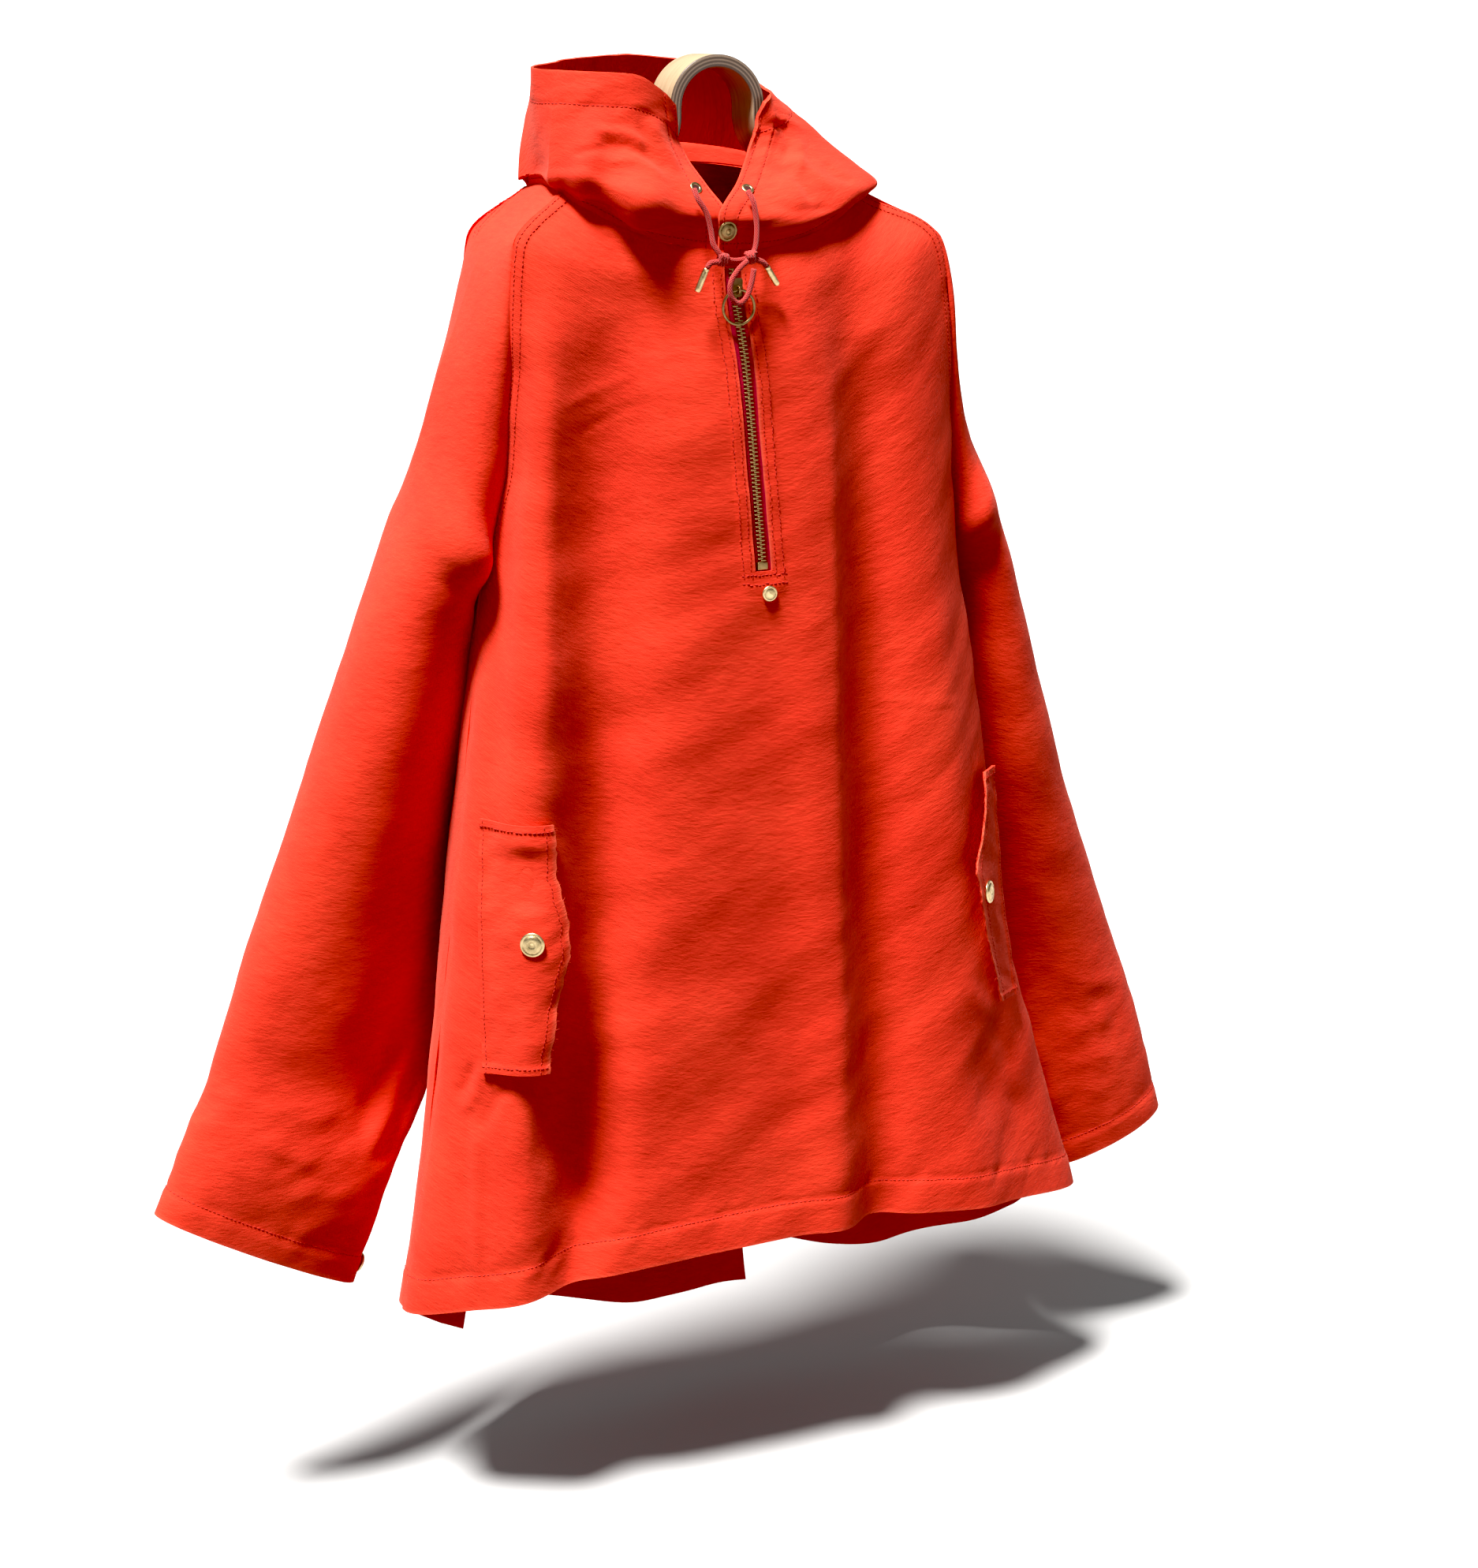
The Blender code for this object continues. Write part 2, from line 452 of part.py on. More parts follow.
def cloth(name, grid, wall=WALL, look="canvas", cells=None, normals=None):
    """A wall of even thickness on a grid of points. cells says which squares of the grid are there.

    Each square is split on its shorter diagonal, the same on both sides of the wall.
    """
    grid = np.asarray(grid, float)
    normals = grid_normals(grid) if normals is None else normals
    rows, columns = grid.shape[:2]
    mesh = bmesh.new()
    corner = {}

    def at(key, side):
        if (key, side) not in corner:
            corner[key, side] = mesh.verts.new(grid[key] + normals[key] * side * wall / 2)
        return corner[key, side]

    edges = {}
    for r in range(rows - 1):
        for c in range(columns - 1):
            if cells is not None and not cells(r, c):
                continue
            square = [(r, c), (r, c + 1), (r + 1, c + 1), (r + 1, c)]
            lengths = [np.linalg.norm(grid[square[k]] - grid[square[k + 2]]) for k in (0, 1)]
            k = 0 if lengths[0] < lengths[1] else 1
            for half in ((k, k + 1, k + 2), (k, k + 2, (k + 3) % 4)):
                mesh.faces.new([at(square[i], 1) for i in half])
                mesh.faces.new([at(square[i], -1) for i in half[::-1]])
            for one, two in zip(square, square[1:] + square[:1]):
                edges[frozenset((one, two))] = None if frozenset((one, two)) in edges else (one, two)
    for pair in edges.values():
        if pair:
            one, two = pair
            mesh.faces.new((at(two, 1), at(one, 1), at(one, -1), at(two, -1)))
    bmesh.ops.recalc_face_normals(mesh, faces=mesh.faces)
    data = bpy.data.meshes.new(name)
    mesh.to_mesh(data)
    mesh.free()
    return add_object(name, data, look)


def turned(name, profile, look, steps=20):
    """A turned piece: a profile of (radius, height) from the outer bottom to the top middle, on +Z."""
    mesh = bmesh.new()
    rings = []
    for radius, height in profile:
        if radius < 1e-7:
            rings.append([mesh.verts.new((0, 0, height))])
            continue
        angles = [2 * math.pi * k / steps for k in range(steps)]
        rings.append([mesh.verts.new((radius * math.cos(a), radius * math.sin(a), height)) for a in angles])
    for low, high in zip(rings, rings[1:]):
        for k in range(steps):
            after = (k + 1) % steps
            if len(low) == 1:
                mesh.faces.new((low[0], high[after], high[k]))
            elif len(high) == 1:
                mesh.faces.new((low[k], low[after], high[0]))
            else:
                mesh.faces.new((low[k], low[after], high[after], high[k]))
    bmesh.ops.recalc_face_normals(mesh, faces=mesh.faces)
    data = bpy.data.meshes.new(name)
    mesh.to_mesh(data)
    mesh.free()
    return add_object(name, data, look)


def stand_on(piece, point, out):
    """Puts a turned piece on a surface, its axis along the surface's normal."""
    turn = Vector((0, 0, 1)).rotation_difference(Vector(out)).to_matrix().to_4x4()
    piece.matrix_world = Matrix.Translation(Vector(point)) @ turn


def snap_cap(name, size, point, out, look="brass"):
    """A domed snap cap with a rolled edge."""
    radius, height = size
    profile = (
        (0.0, 0.0), (radius * 0.96, 0.0), (radius, height * 0.30), (radius * 0.95, height * 0.62),
        (radius * 0.80, height * 0.72), (radius * 0.62, height * 0.90), (radius * 0.32, height), (0.0, height),
    )
    stand_on(turned(name, profile, look, 18), point, out)


def tube(name, route, radius, look, count=None):
    """A round tube along a smooth curve through the route's points, with filled caps."""
    route = np.asarray(route, float)
    length = np.linalg.norm(np.diff(rounded(route, 60), axis=0), axis=1).sum()
    points = rounded(route, count or max(4, round(length / CORD_STEP) + 1))
    curve = bpy.data.curves.new(name, "CURVE")
    curve.dimensions = "3D"
    curve.bevel_depth = radius
    curve.bevel_resolution = CORD_SIDES_RESOLUTION
    curve.use_fill_caps = True
    spline = curve.splines.new("POLY")
    spline.points.add(len(points) - 1)
    for place, point in zip(spline.points, points):
        place.co = (*point, 1)
    curve.materials.append(material(look))
    piece = bpy.data.objects.new(name, curve)
    bpy.data.collections["anorak"].objects.link(piece)
    return piece


# ---------------------------------------------------------------- cut pieces


def spread(start, end, count):
    return [start + (end - start) * k / count for k in range(count + 1)]


BODY_LEVEL_STEPS = (
    0.0, 0.5, 1.0, 1.5, 2.0, 2.6, 3.2, ZIP_BOTTOM_LEVEL, 4.5, 5.2, 6.0, 6.7, 7.4, 8.0, 8.5, 9.0, 9.5, 10.0,
)
SLEEVE_LEVEL_STEPS = BODY_LEVEL_STEPS[:8] + (4.4, 5.2, 6.1, 7.0, 7.9, 8.7, 9.4, 10.0, 10.5, 11.0)
ARMHOLE_ROWS = 8
SIDE_COLUMNS = 13
BACK_COLUMNS = 12
SLEEVE_COLUMN_COUNT = 18


def front_grid():
    grid = []
    for level in BODY_LEVEL_STEPS:
        left = girth_part(zip_x(level) - WINDOW_HALF, level)
        right = girth_part(zip_x(level) + WINDOW_HALF, level)
        places = [-math.sin(a * math.pi / 2) for a in spread(1.0, math.asin(-left) * 2 / math.pi, SIDE_COLUMNS)]
        places += [math.sin(a * math.pi / 2) for a in spread(math.asin(right) * 2 / math.pi, 1.0, SIDE_COLUMNS)]
        grid.append([front_point(level, place) for place in places])
    return np.array(grid)


def back_grid(half):
    """From the side seam to the centre seam."""
    sign = -1 if half == "left" else 1
    grid = []
    for level in BODY_LEVEL_STEPS:
        seam = girth_part(float(through(BACK_SEAM["level"], BACK_SEAM["x"], level)), level)
        places = [sign + (seam - sign) * (1 - math.cos(math.pi / 2 * k / BACK_COLUMNS)) for k in range(BACK_COLUMNS + 1)]
        opening = ease((level - BACK_VENT_LEVEL) / 0.8) * (BACK_VENT_GAP if half == "right" else 0)
        row = [back_point(level, place, half) for place in places]
        grid.append([point + Vector((opening * k / BACK_COLUMNS, 0, 0)) for k, point in enumerate(row)])
    return np.array(grid)


def sleeve_grid(side, table):
    """Each row at even steps along its curve, with the seam gap left out at both ends."""
    grid = []
    for level in SLEEVE_LEVEL_STEPS:
        fine = np.array([sleeve_point(table, level, part, side) for part in np.linspace(0, 1, 121)])
        along = np.concatenate([[0], np.cumsum(np.linalg.norm(np.diff(fine, axis=0), axis=1))])
        at = np.linspace(SLEEVE_GAP / 2, along[-1] - SLEEVE_GAP / 2, SLEEVE_COLUMN_COUNT + 1)
        grid.append(np.stack([np.interp(at, along, fine[:, k]) for k in range(3)], axis=1))
    return np.array(grid)


def make_body_and_sleeves():
    """The front, the two halves of the back and the two sleeves, with mitred edges where they meet."""
    front = front_grid()
    front_normals = grid_normals(front)
    bottom = BODY_LEVEL_STEPS.index(ZIP_BOTTOM_LEVEL)
    top = slice(0, ARMHOLE_ROWS)
    low = slice(ARMHOLE_ROWS, None)
    backs = {half: back_grid(half) for half in ("left", "right")}
    centre = mitre(backs["left"][:, -1], backs["left"][:, -2], backs["right"][:, -2])
    for side, edge, inner, table in (("left", 0, 1, SLEEVE_LEFT), ("right", -1, -2, SLEEVE_RIGHT)):
        back = backs[side]
        back_normals = grid_normals(back)
        sleeve = sleeve_grid(side, table)
        sleeve_normals = grid_normals(sleeve)
        ahead = mitre(front[top, edge], front[top, inner], sleeve[top, 1])
        behind = mitre(back[top, 0], back[top, 1], sleeve[top, -2])
        under = mitre(front[low, edge], front[low, inner], back[low, 1])
        inside = mitre(sleeve[low, 0], sleeve[low, 1], sleeve[low, -2])
        set_seam(front_normals[top, edge], ahead)
        set_seam(sleeve_normals[top, 0], ahead)
        set_seam(back_normals[top, 0], behind)
        set_seam(sleeve_normals[top, -1], behind)
        set_seam(front_normals[low, edge], under)
        set_seam(back_normals[low, 0], under)
        set_seam(sleeve_normals[low, 0], inside)
        set_seam(sleeve_normals[low, -1], inside)
        set_seam(back_normals[:, -1], centre)
        cloth("sleeve_" + side, sleeve, normals=sleeve_normals)
        back = pulled_in(back, rows=(False, False))
        add_back(side, back, back_normals)
    front = pulled_in(front, rows=(False, False))
    cloth("front", front, cells=lambda r, c: not (c == SIDE_COLUMNS and r < bottom), normals=front_normals)


def add_back(half, grid, normals):
    """Adds the underlap that passes behind the front's edge at the side vent."""
    sign = -1 if half == "left" else 1
    laps = []
    for r, level in enumerate(BODY_LEVEL_STEPS):
        vented = ease((level - SIDE_VENT_LEVEL + 0.3) / 0.4)
        grid[r, 0] += (-sign * EDGE_STAND * vented, 0.0006 * vented, 0)
        low = body_at(level)
        lap = []
        for depth, stand in zip(UNDERLAP_DEPTHS, UNDERLAP_STANDS):
            part = sign * (1 - depth / ((low["right_x"] - low["left_x"]) / 2))
            face = body_point(level, part, True)
            drop = UNDERLAP_DROP[half] * ease((level - SIDE_VENT_LEVEL) / 0.7) * depth / UNDERLAP_DEPTHS[-1]
            lap.append((face.x, max(face.y + stand, low["edge_front_y"] + 0.002 - depth), grid[r, 0][2] - drop))
        laps.append(lap[::-1])
    count = len(UNDERLAP_DEPTHS)
    whole = np.concatenate([np.array(laps), grid], axis=1)
    whole_normals = grid_normals(whole)
    first = next(r for r, level in enumerate(BODY_LEVEL_STEPS) if level >= SIDE_VENT_LEVEL)
    whole_normals[:first, count:] = normals[:first]
    whole_normals[:, -1] = normals[:, -1]
    sign = np.sign((whole_normals[:, count + 2] * normals[:, 2]).sum(axis=1))
    if sign[-1] < 0:
        whole_normals[first:, :-1] *= -1
    cloth("back_" + half, whole, cells=lambda r, c: c >= count or r >= first, normals=whole_normals)


def sleeve_row(table, level, side):
    """The guide points of a sleeve's row (front seam, outer edge, back seam) and its table values."""
    rows = {
        name: float(through(column(table, SLEEVE_COLUMNS, "level"), column(table, SLEEVE_COLUMNS, name), level))
        for name in SLEEVE_COLUMNS
    }
    outer = Vector((rows["outer_x"], rows["outer_y"], rows["outer_z"]))
    low = body_at(min(level, LEVEL["underarm"] - 0.001))
    edge_x, edge_z = low[side + "_x"], low[side + "_z"]
    front = Vector((edge_x, low["edge_front_y"], edge_z))
    back = Vector((edge_x, low["edge_back_y"], edge_z))
    closing = ease((level - ZIP_BOTTOM_LEVEL) / 0.36)
    if closing > 0:
        tubes = [row for row in table if row[1]]
        closed = Vector(
            float(through([row[0] for row in tubes], column(tubes, SLEEVE_COLUMNS, name), max(level, tubes[0][0])))
            for name in ("inner_x", "inner_y", "inner_z")
        )
        front, back = front.lerp(closed, closing), back.lerp(closed, closing)
    return front, outer, back, rows


def sleeve_point(table, level, round_part, side):
    """round_part runs 0 to 1, from the front seam over the outer edge to the back seam."""
    front, outer, back, rows = sleeve_row(table, level, side)
    ahead = round_part <= 0.5
    edge = front if ahead else back
    t = round_part * 2 if ahead else (1 - round_part) * 2
    turned_in = rows["round"]
    over = (1 - turned_in) * math.sin(math.pi * t / 2) + turned_in * (1 - math.cos(math.pi * t)) / 2
    settle = (1 - turned_in) * (1 - math.cos(math.pi * t / 2)) + turned_in * (1 - math.cos(math.pi * t)) / 2
    point = Vector((
        edge.x + (outer.x - edge.x) * over,
        edge.y + (outer.y - edge.y) * settle,
        edge.z + (outer.z - edge.z) * (over * 0.5 + settle * 0.5),
    ))
    bulge = rows["depth"] * math.sin(math.pi * t) ** (1.2 - 0.3 * ease((turned_in - 0.4) / 0.5))
    point.y += -bulge if ahead else bulge
    return point


NECK_LINE = []


def neck_line():
    """The body's neck edge in order: front left, left saddle, back, right saddle, front right."""
    if not NECK_LINE:
        front = [front_point(0.0, across) for across in np.linspace(-1, 1, 61)]
        saddles = {
            side: [sleeve_point(table, 0.0, part, side) for part in np.linspace(0, 1, 25)]
            for side, table in (("left", SLEEVE_LEFT), ("right", SLEEVE_RIGHT))
        }
        back = [back_point(0.0, across, "left") for across in np.linspace(-1, 1, 61)]
        NECK_LINE.extend(front[29::-1] + saddles["left"] + back + saddles["right"][::-1] + front[:29:-1])
    return np.array(NECK_LINE)


def on_neck(x, y):
    """The point of the neck line nearest in plan to (x, y)."""
    line = neck_line()
    start, step = line[:-1], np.diff(line, axis=0)
    size = np.maximum((step[:, :2] ** 2).sum(axis=1), 1e-12)
    part = np.clip(((np.array((x, y)) - start[:, :2]) * step[:, :2]).sum(axis=1) / size, 0, 1)
    places = start + step * part[:, None]
    return Vector(places[((places[:, :2] - (x, y)) ** 2).sum(axis=1).argmin()])


def hood_point(station, up):
    """A point of the hood. station runs round the neck, up runs 0 to 5 from the seam to the rim."""
    rows = tuple(HOOD_STATIONS.values())
    get = {name: float(through(range(len(rows)), column(rows, HOOD_COLUMNS, name), station)) for name in HOOD_COLUMNS}
    neck = on_neck(get["neck_x"], get["neck_y"])
    outward = Vector((neck.x + 0.010, neck.y * 2.0, 0)).normalized()
    neck += outward * get["over"] + Vector((0, 0, HOOD_SEAM_LIFT))
    rim = Vector((get["rim_x"], get["rim_y"], get["rim_z"]))
    guides = [neck]
    for name in ("hollow", "under", "roll", "belly"):
        height = get[name + "_z"]
        if name == "hollow":
            height = max(height, neck.z + HOOD_STAND_UP)
        lean = ease((height - neck.z) / (rim.z - neck.z)) if name in ("roll", "belly") else 0
        side = neck.lerp(rim, lean)
        guides.append(Vector((side.x, side.y, height)) + outward * get[name + "_out"])
    guides.append(rim)
    return Vector(curve_at(guides, up))


def curve_at(points, at):
    """The Catmull-Rom curve's point at a place counted in guide points."""
    points = np.array(points, float)
    ends = np.vstack([2 * points[0] - points[1], points, 2 * points[-1] - points[-2]])
    i = min(int(at), len(points) - 2)
    t = at - i
    a, b, c, d = ends[i : i + 4]
    return 0.5 * (2 * b + (c - a) * t + (2 * a - 5 * b + 4 * c - d) * t**2 + (3 * b - a - 3 * c + d) * t**3)


def make_hood():
    """The halves of the hood, from the neck seam over the roll to the rim of the face opening."""
    heights = (0.0, 0.6, 1.2, 1.8, 2.3, 2.8, 3.3, 3.8, 4.4, 5.0)
    last = len(HOOD_STATIONS) - 1.0
    halves = {}
    for half, ends in (("left", (HOOD_BACK_STATION, 0.0)), ("right", (HOOD_BACK_STATION, last))):
        stations = spread(ends[0], ends[1], HOOD_COLUMN_COUNT)
        halves[half] = np.array([[hood_point(station, up) for station in stations] for up in heights])
    seam = mitre(halves["left"][:, 0], halves["left"][:, 1], halves["right"][:, 1])
    for half, grid in halves.items():
        normals = grid_normals(grid)
        set_seam(normals[:, 0], seam)
        cloth("hood_" + half, pulled_in(grid, rows=(False, False), columns=(True, False)), normals=normals)


def flap_point(side, level, part):
    """part runs 0 to 1, from the sewn edge to the raw edge."""
    table = np.array(FLAPS[side])
    sewn, free, lift = (float(through(table[:, 0], table[:, k], level)) for k in (1, 2, 3))
    stand = FLAP_SEAM_STAND + max(lift - FLAP_SEAM_STAND, 0) * part**1.3
    return front_frame(level, sewn + (free - sewn) * part, stand)[0]


def make_flap(side):
    """A pocket flap, sewn on its outer edge and lifted at its raw edge."""
    table = FLAPS[side]
    grid = [[flap_point(side, level, k / 5) for k in range(6)] for level in spread(table[0][0], table[-1][0], 8)]
    cloth("pocket_flap_" + side, grid)


# ---------------------------------------------------------------- zip and metal trim


def strip_grid(levels, low_x, high_x, stand, columns=1):
    grid = []
    for level in levels:
        row = []
        for x in spread(low_x, high_x, columns):
            row.append(front_frame(level, girth_part(zip_x(level) + x, level), stand)[0])
        grid.append(row)
    return np.array(grid)


def make_zip():
    levels = [level for level in BODY_LEVEL_STEPS if 0.9 < level < ZIP_BOTTOM_LEVEL] + [ZIP_BOTTOM_LEVEL]
    levels[0] = 0.45
    low = levels[:-1] + [ZIP_BOTTOM_LEVEL + 0.10]
    cloth("zip_tape_left", strip_grid(low, -TAPE_HALF, -0.0002, -TAPE_STAND), 0.0009, "zip_tape")
    cloth("zip_tape_right", strip_grid(low, 0.0002, TAPE_HALF, -TAPE_STAND), 0.0009, "zip_tape")
    chain_stand = -TAPE_STAND + 0.00045 + SEAM_GAP + CHAIN_THICK / 2
    chain = levels[:-1] + [ZIP_BOTTOM_LEVEL - 0.085]
    cloth("zip_chain", strip_grid(chain, -CHAIN_HALF, CHAIN_HALF, chain_stand), CHAIN_THICK, "dark_brass")
    stop = (ZIP_BOTTOM_LEVEL - 0.078, ZIP_BOTTOM_LEVEL - 0.012)
    cloth("zip_stop", strip_grid(stop, -0.0042, 0.0042, chain_stand + 0.0003), 0.0028, "dark_brass")
    return chain_stand


def rounded_box(name, size, centre, look, bevel):
    mesh = bmesh.new()
    bmesh.ops.create_cube(mesh, size=1.0)
    bmesh.ops.scale(mesh, vec=size, verts=mesh.verts)
    data = bpy.data.meshes.new(name)
    mesh.to_mesh(data)
    mesh.free()
    piece = add_object(name, data, look, smooth=False)
    piece.location = centre
    edge = piece.modifiers.new("edge", "BEVEL")
    edge.width = bevel
    edge.segments = 2
    return piece


def level_of_front(z):
    """The level at which the front's middle has this height."""
    levels = np.linspace(0, 5, 401)
    heights = [body_at(level)["front_z"] for level in levels]
    return float(np.interp(-z, [-h for h in heights], levels))


def make_slider():
    """The slider on its chain, with a bail, and the ring that swings in the bail."""
    level = level_of_front(SLIDER_Z)
    place, _, _, out = front_frame(level, girth_part(zip_x(level), level))
    out = Vector((0, out.y, out.z)).normalized()
    across, deep, down = SLIDER_SIZE
    centre = place + out * (SLIDER_STAND + deep / 2)
    slider = rounded_box("zip_slider", (across, deep, down), (0, 0, 0), "dark_brass", 0.0009)
    lean = math.atan2(out.z, -out.y)
    local = [(0.0, y - deep / 2, PIVOT_DOWN + z) for y, z in BAIL_ROUTE]
    join_into(slider, tube("bail", local, BAIL_WIRE, "dark_brass", 13))
    slider.matrix_world = Matrix.Translation(centre) @ Matrix.Rotation(-lean, 4, "X")
    pivot = slider.matrix_world @ Vector((0.0, -deep / 2 - PIVOT_OUT, PIVOT_DOWN))
    mesh = bmesh.new()
    steps, sides = 28, 8
    rings = []
    for i in range(steps):
        a = 2 * math.pi * i / steps
        rings.append([
            mesh.verts.new((
                (RING_RADIUS + RING_WIRE * math.cos(b)) * math.sin(a),
                RING_WIRE * math.sin(b),
                (RING_RADIUS + RING_WIRE * math.cos(b)) * math.cos(a) - RING_RADIUS,
            ))
            for b in (2 * math.pi * j / sides for j in range(sides))
        ])
    for i in range(steps):
        for j in range(sides):
            one, two = rings[i], rings[(i + 1) % steps]
            mesh.faces.new((one[j], two[j], two[(j + 1) % sides], one[(j + 1) % sides]))
    bmesh.ops.recalc_face_normals(mesh, faces=mesh.faces)
    data = bpy.data.meshes.new("pull_ring")
    mesh.to_mesh(data)
    mesh.free()
    add_object("pull_ring", data, "dark_brass").location = pivot


def join_into(body, curve_object):
    """Makes a curve a mesh with welded caps and joins it to the body by a Boolean union."""
    bpy.context.view_layer.update()
    graph = bpy.context.evaluated_depsgraph_get()
    mesh = bpy.data.meshes.new_from_object(curve_object.evaluated_get(graph))
    weld = bmesh.new()
    weld.from_mesh(mesh)
    bmesh.ops.remove_doubles(weld, verts=weld.verts, dist=1e-6)
    bmesh.ops.recalc_face_normals(weld, faces=weld.faces)
    weld.to_mesh(mesh)
    weld.free()
    helper = bpy.data.objects.new(curve_object.name + "_helper", mesh)
    bpy.data.collections["helpers"].objects.link(helper)
    helper.hide_render = True
    helper.display_type = "WIRE"
    helper.parent = body
    bpy.data.objects.remove(curve_object)
    union = body.modifiers.new("joined", "BOOLEAN")
    union.operation = "UNION"
    union.object = helper


def surface_frame(point_at, a, b, step=0.05):
    """The point and outward normal of a piece's surface at (a, b)."""
    point = point_at(a, b)
    over = point_at(a + step, b) - point_at(a - step, b)
    down = point_at(a, b + step) - point_at(a, b - step)
    normal = over.cross(down).normalized()
    away = Vector((point.x, point.y, 0))
    if normal.dot(away) < 0:
        normal.negate()
    return point, normal


def make_eyelets():
    radius, hole, height = EYELET
    for name, station, up in (("eyelet_left", 0.514, 2.917), ("eyelet_right", 12.622, 2.831)):
        point, normal = surface_frame(hood_point, station, up)
        profile = ((hole, 0.0), (radius, 0.0), (radius * 0.96, height * 0.7), (radius * 0.78, height), (hole * 1.1, height * 0.7), (hole, 0.0))
        ring = turned(name, profile, "brass", 20)
        weld = bmesh.new()
        weld.from_mesh(ring.data)
        bmesh.ops.remove_doubles(weld, verts=weld.verts, dist=1e-7)
        bmesh.ops.recalc_face_normals(weld, faces=weld.faces)
        weld.to_mesh(ring.data)
        weld.free()
        stand_on(ring, point + normal * (WALL / 2 + 0.0007), normal)


def make_snaps():
    for side in ("left", "right"):
        level, part = FLAP_SNAP[side]
        point, out = surface_frame(lambda a, b, name=side: flap_point(name, a, b), level, part, 0.08)
        snap_cap("flap_snap_" + side, FLAP_CAP, point + out * (WALL / 2 + 0.0009), out)
    point, normal = surface_frame(hood_point, 12.87, 0.98)
    snap_cap("neck_snap", NECK_CAP, point + normal * (WALL / 2 + 0.0005), normal)
    point, _, _, out = front_frame(STUD_LEVEL, girth_part(zip_x(STUD_LEVEL) + 0.0045, STUD_LEVEL), WALL / 2 + TRIM_STAND)
    snap_cap("front_stud", STUD_CAP, point, out)
    for side, table in (("left", SLEEVE_LEFT), ("right", SLEEVE_RIGHT)):
        def place(level, part, rows=table, name=side):
            return sleeve_point(rows, level, part, name)
        point = place(10.75, 0.985)
        inner = place(10.75, 0.5)
        out = Vector((point.x - inner.x, 0.0, point.z - inner.z)).normalized()
        snap_cap("cuff_snap_" + side, CUFF_CAP, point + out * (WALL / 2 + 0.0014), out)


# ---------------------------------------------------------------- drawcord and hanger


def make_cords():
    knots = {}
    for name, centre in (("knot_left", KNOT_LEFT), ("knot_right", KNOT_RIGHT)):
        mesh = bmesh.new()
        bmesh.ops.create_uvsphere(mesh, u_segments=12, v_segments=8, radius=1.0)
        bmesh.ops.scale(mesh, vec=KNOT_RADIUS, verts=mesh.verts)
        data = bpy.data.meshes.new(name)
        mesh.to_mesh(data)
        mesh.free()
        knots[name] = add_object(name, data, "cord")
        knots[name].location = centre
    tube("cord_left", CORD_LEFT, CORD_RADIUS, "cord")
    tube("cord_right", CORD_RIGHT, CORD_RADIUS, "cord")
    tube("cord_tail_left", TAIL_LEFT_ROUTE, CORD_RADIUS, "cord", 4)
    tube("cord_tail_right", TAIL_RIGHT_ROUTE, CORD_RADIUS, "cord", 4)
    tube("cord_bow", BOW_ROUTE, CORD_RADIUS, "cord", 20)
    tube("cord_cross", CROSS_ROUTE, CORD_RADIUS, "cord", 4)
    for name, start, tip in (
        ("aglet_left", TAIL_LEFT_ROUTE[-1], AGLET_LEFT_TIP), ("aglet_right", TAIL_RIGHT_ROUTE[-1], AGLET_RIGHT_TIP),
    ):
        way = (Vector(tip) - Vector(start)).normalized()
        length = (Vector(tip) - Vector(start)).length - 0.0012
        profile = ((0.0, 0.0), (AGLET_RADIUS * 0.9, 0.0), (AGLET_RADIUS, 0.0006), (AGLET_RADIUS, length - 0.0008), (AGLET_RADIUS * 0.8, length), (0.0, length))
        stand_on(turned(name, profile, "brass", 12), Vector(start) + way * 0.0012, way)


def make_hanger():
    """A band of even thickness, bent along its route and pulled out to its depth."""
    radius = LOOP_INNER_RADIUS + BAND_THICK / 2
    arch_centre = -LOOP_INNER_RADIUS
    arch = [(-radius * math.cos(a), arch_centre + radius * math.sin(a)) for a in np.linspace(0.0, math.pi / 2, 8)]
    half = [(x, z) for x, z in HANGER_ROUTE[::-1]] + arch
    route = np.array(half + [(-x, z) for x, z in half[-2::-1]])
    middle = rounded(route, 61)
    along = np.gradient(middle, axis=0)
    along /= np.linalg.norm(along, axis=1, keepdims=True)
    normal = np.stack([-along[:, 1], along[:, 0]], axis=1)
    outline = np.vstack([middle + normal * BAND_THICK / 2, (middle - normal * BAND_THICK / 2)[::-1]])
    curve = bpy.data.curves.new("hanger", "CURVE")
    curve.dimensions = "2D"
    curve.fill_mode = "BOTH"
    curve.extrude = BAND_DEPTH / 2
    spline = curve.splines.new("POLY")
    spline.points.add(len(outline) - 1)
    spline.use_cyclic_u = True
    for place, (x, z) in zip(spline.points, outline):
        place.co = (x, z, 0, 1)
    curve.materials.append(material("plywood"))
    piece = bpy.data.objects.new("hanger", curve)
    piece.rotation_euler = (math.pi / 2, 0, 0)
    bpy.data.collections["anorak"].objects.link(piece)


def main():
    for found in list(bpy.data.objects):
        bpy.data.objects.remove(found)
    for name in ("anorak", "helpers"):
        bpy.context.scene.collection.children.link(bpy.data.collections.new(name))
    make_body_and_sleeves()
    make_hood()
    make_flap("left")
    make_flap("right")
    make_zip()
    make_slider()
    make_eyelets()
    make_snaps()
    make_cords()
    make_hanger()


main()
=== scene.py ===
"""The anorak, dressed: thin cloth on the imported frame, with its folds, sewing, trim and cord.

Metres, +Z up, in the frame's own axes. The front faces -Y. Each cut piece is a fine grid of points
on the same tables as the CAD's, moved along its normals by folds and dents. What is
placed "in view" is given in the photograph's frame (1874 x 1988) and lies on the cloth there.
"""

import json
import math

import bmesh
import bpy
import numpy as np
from mathutils import Matrix, Vector

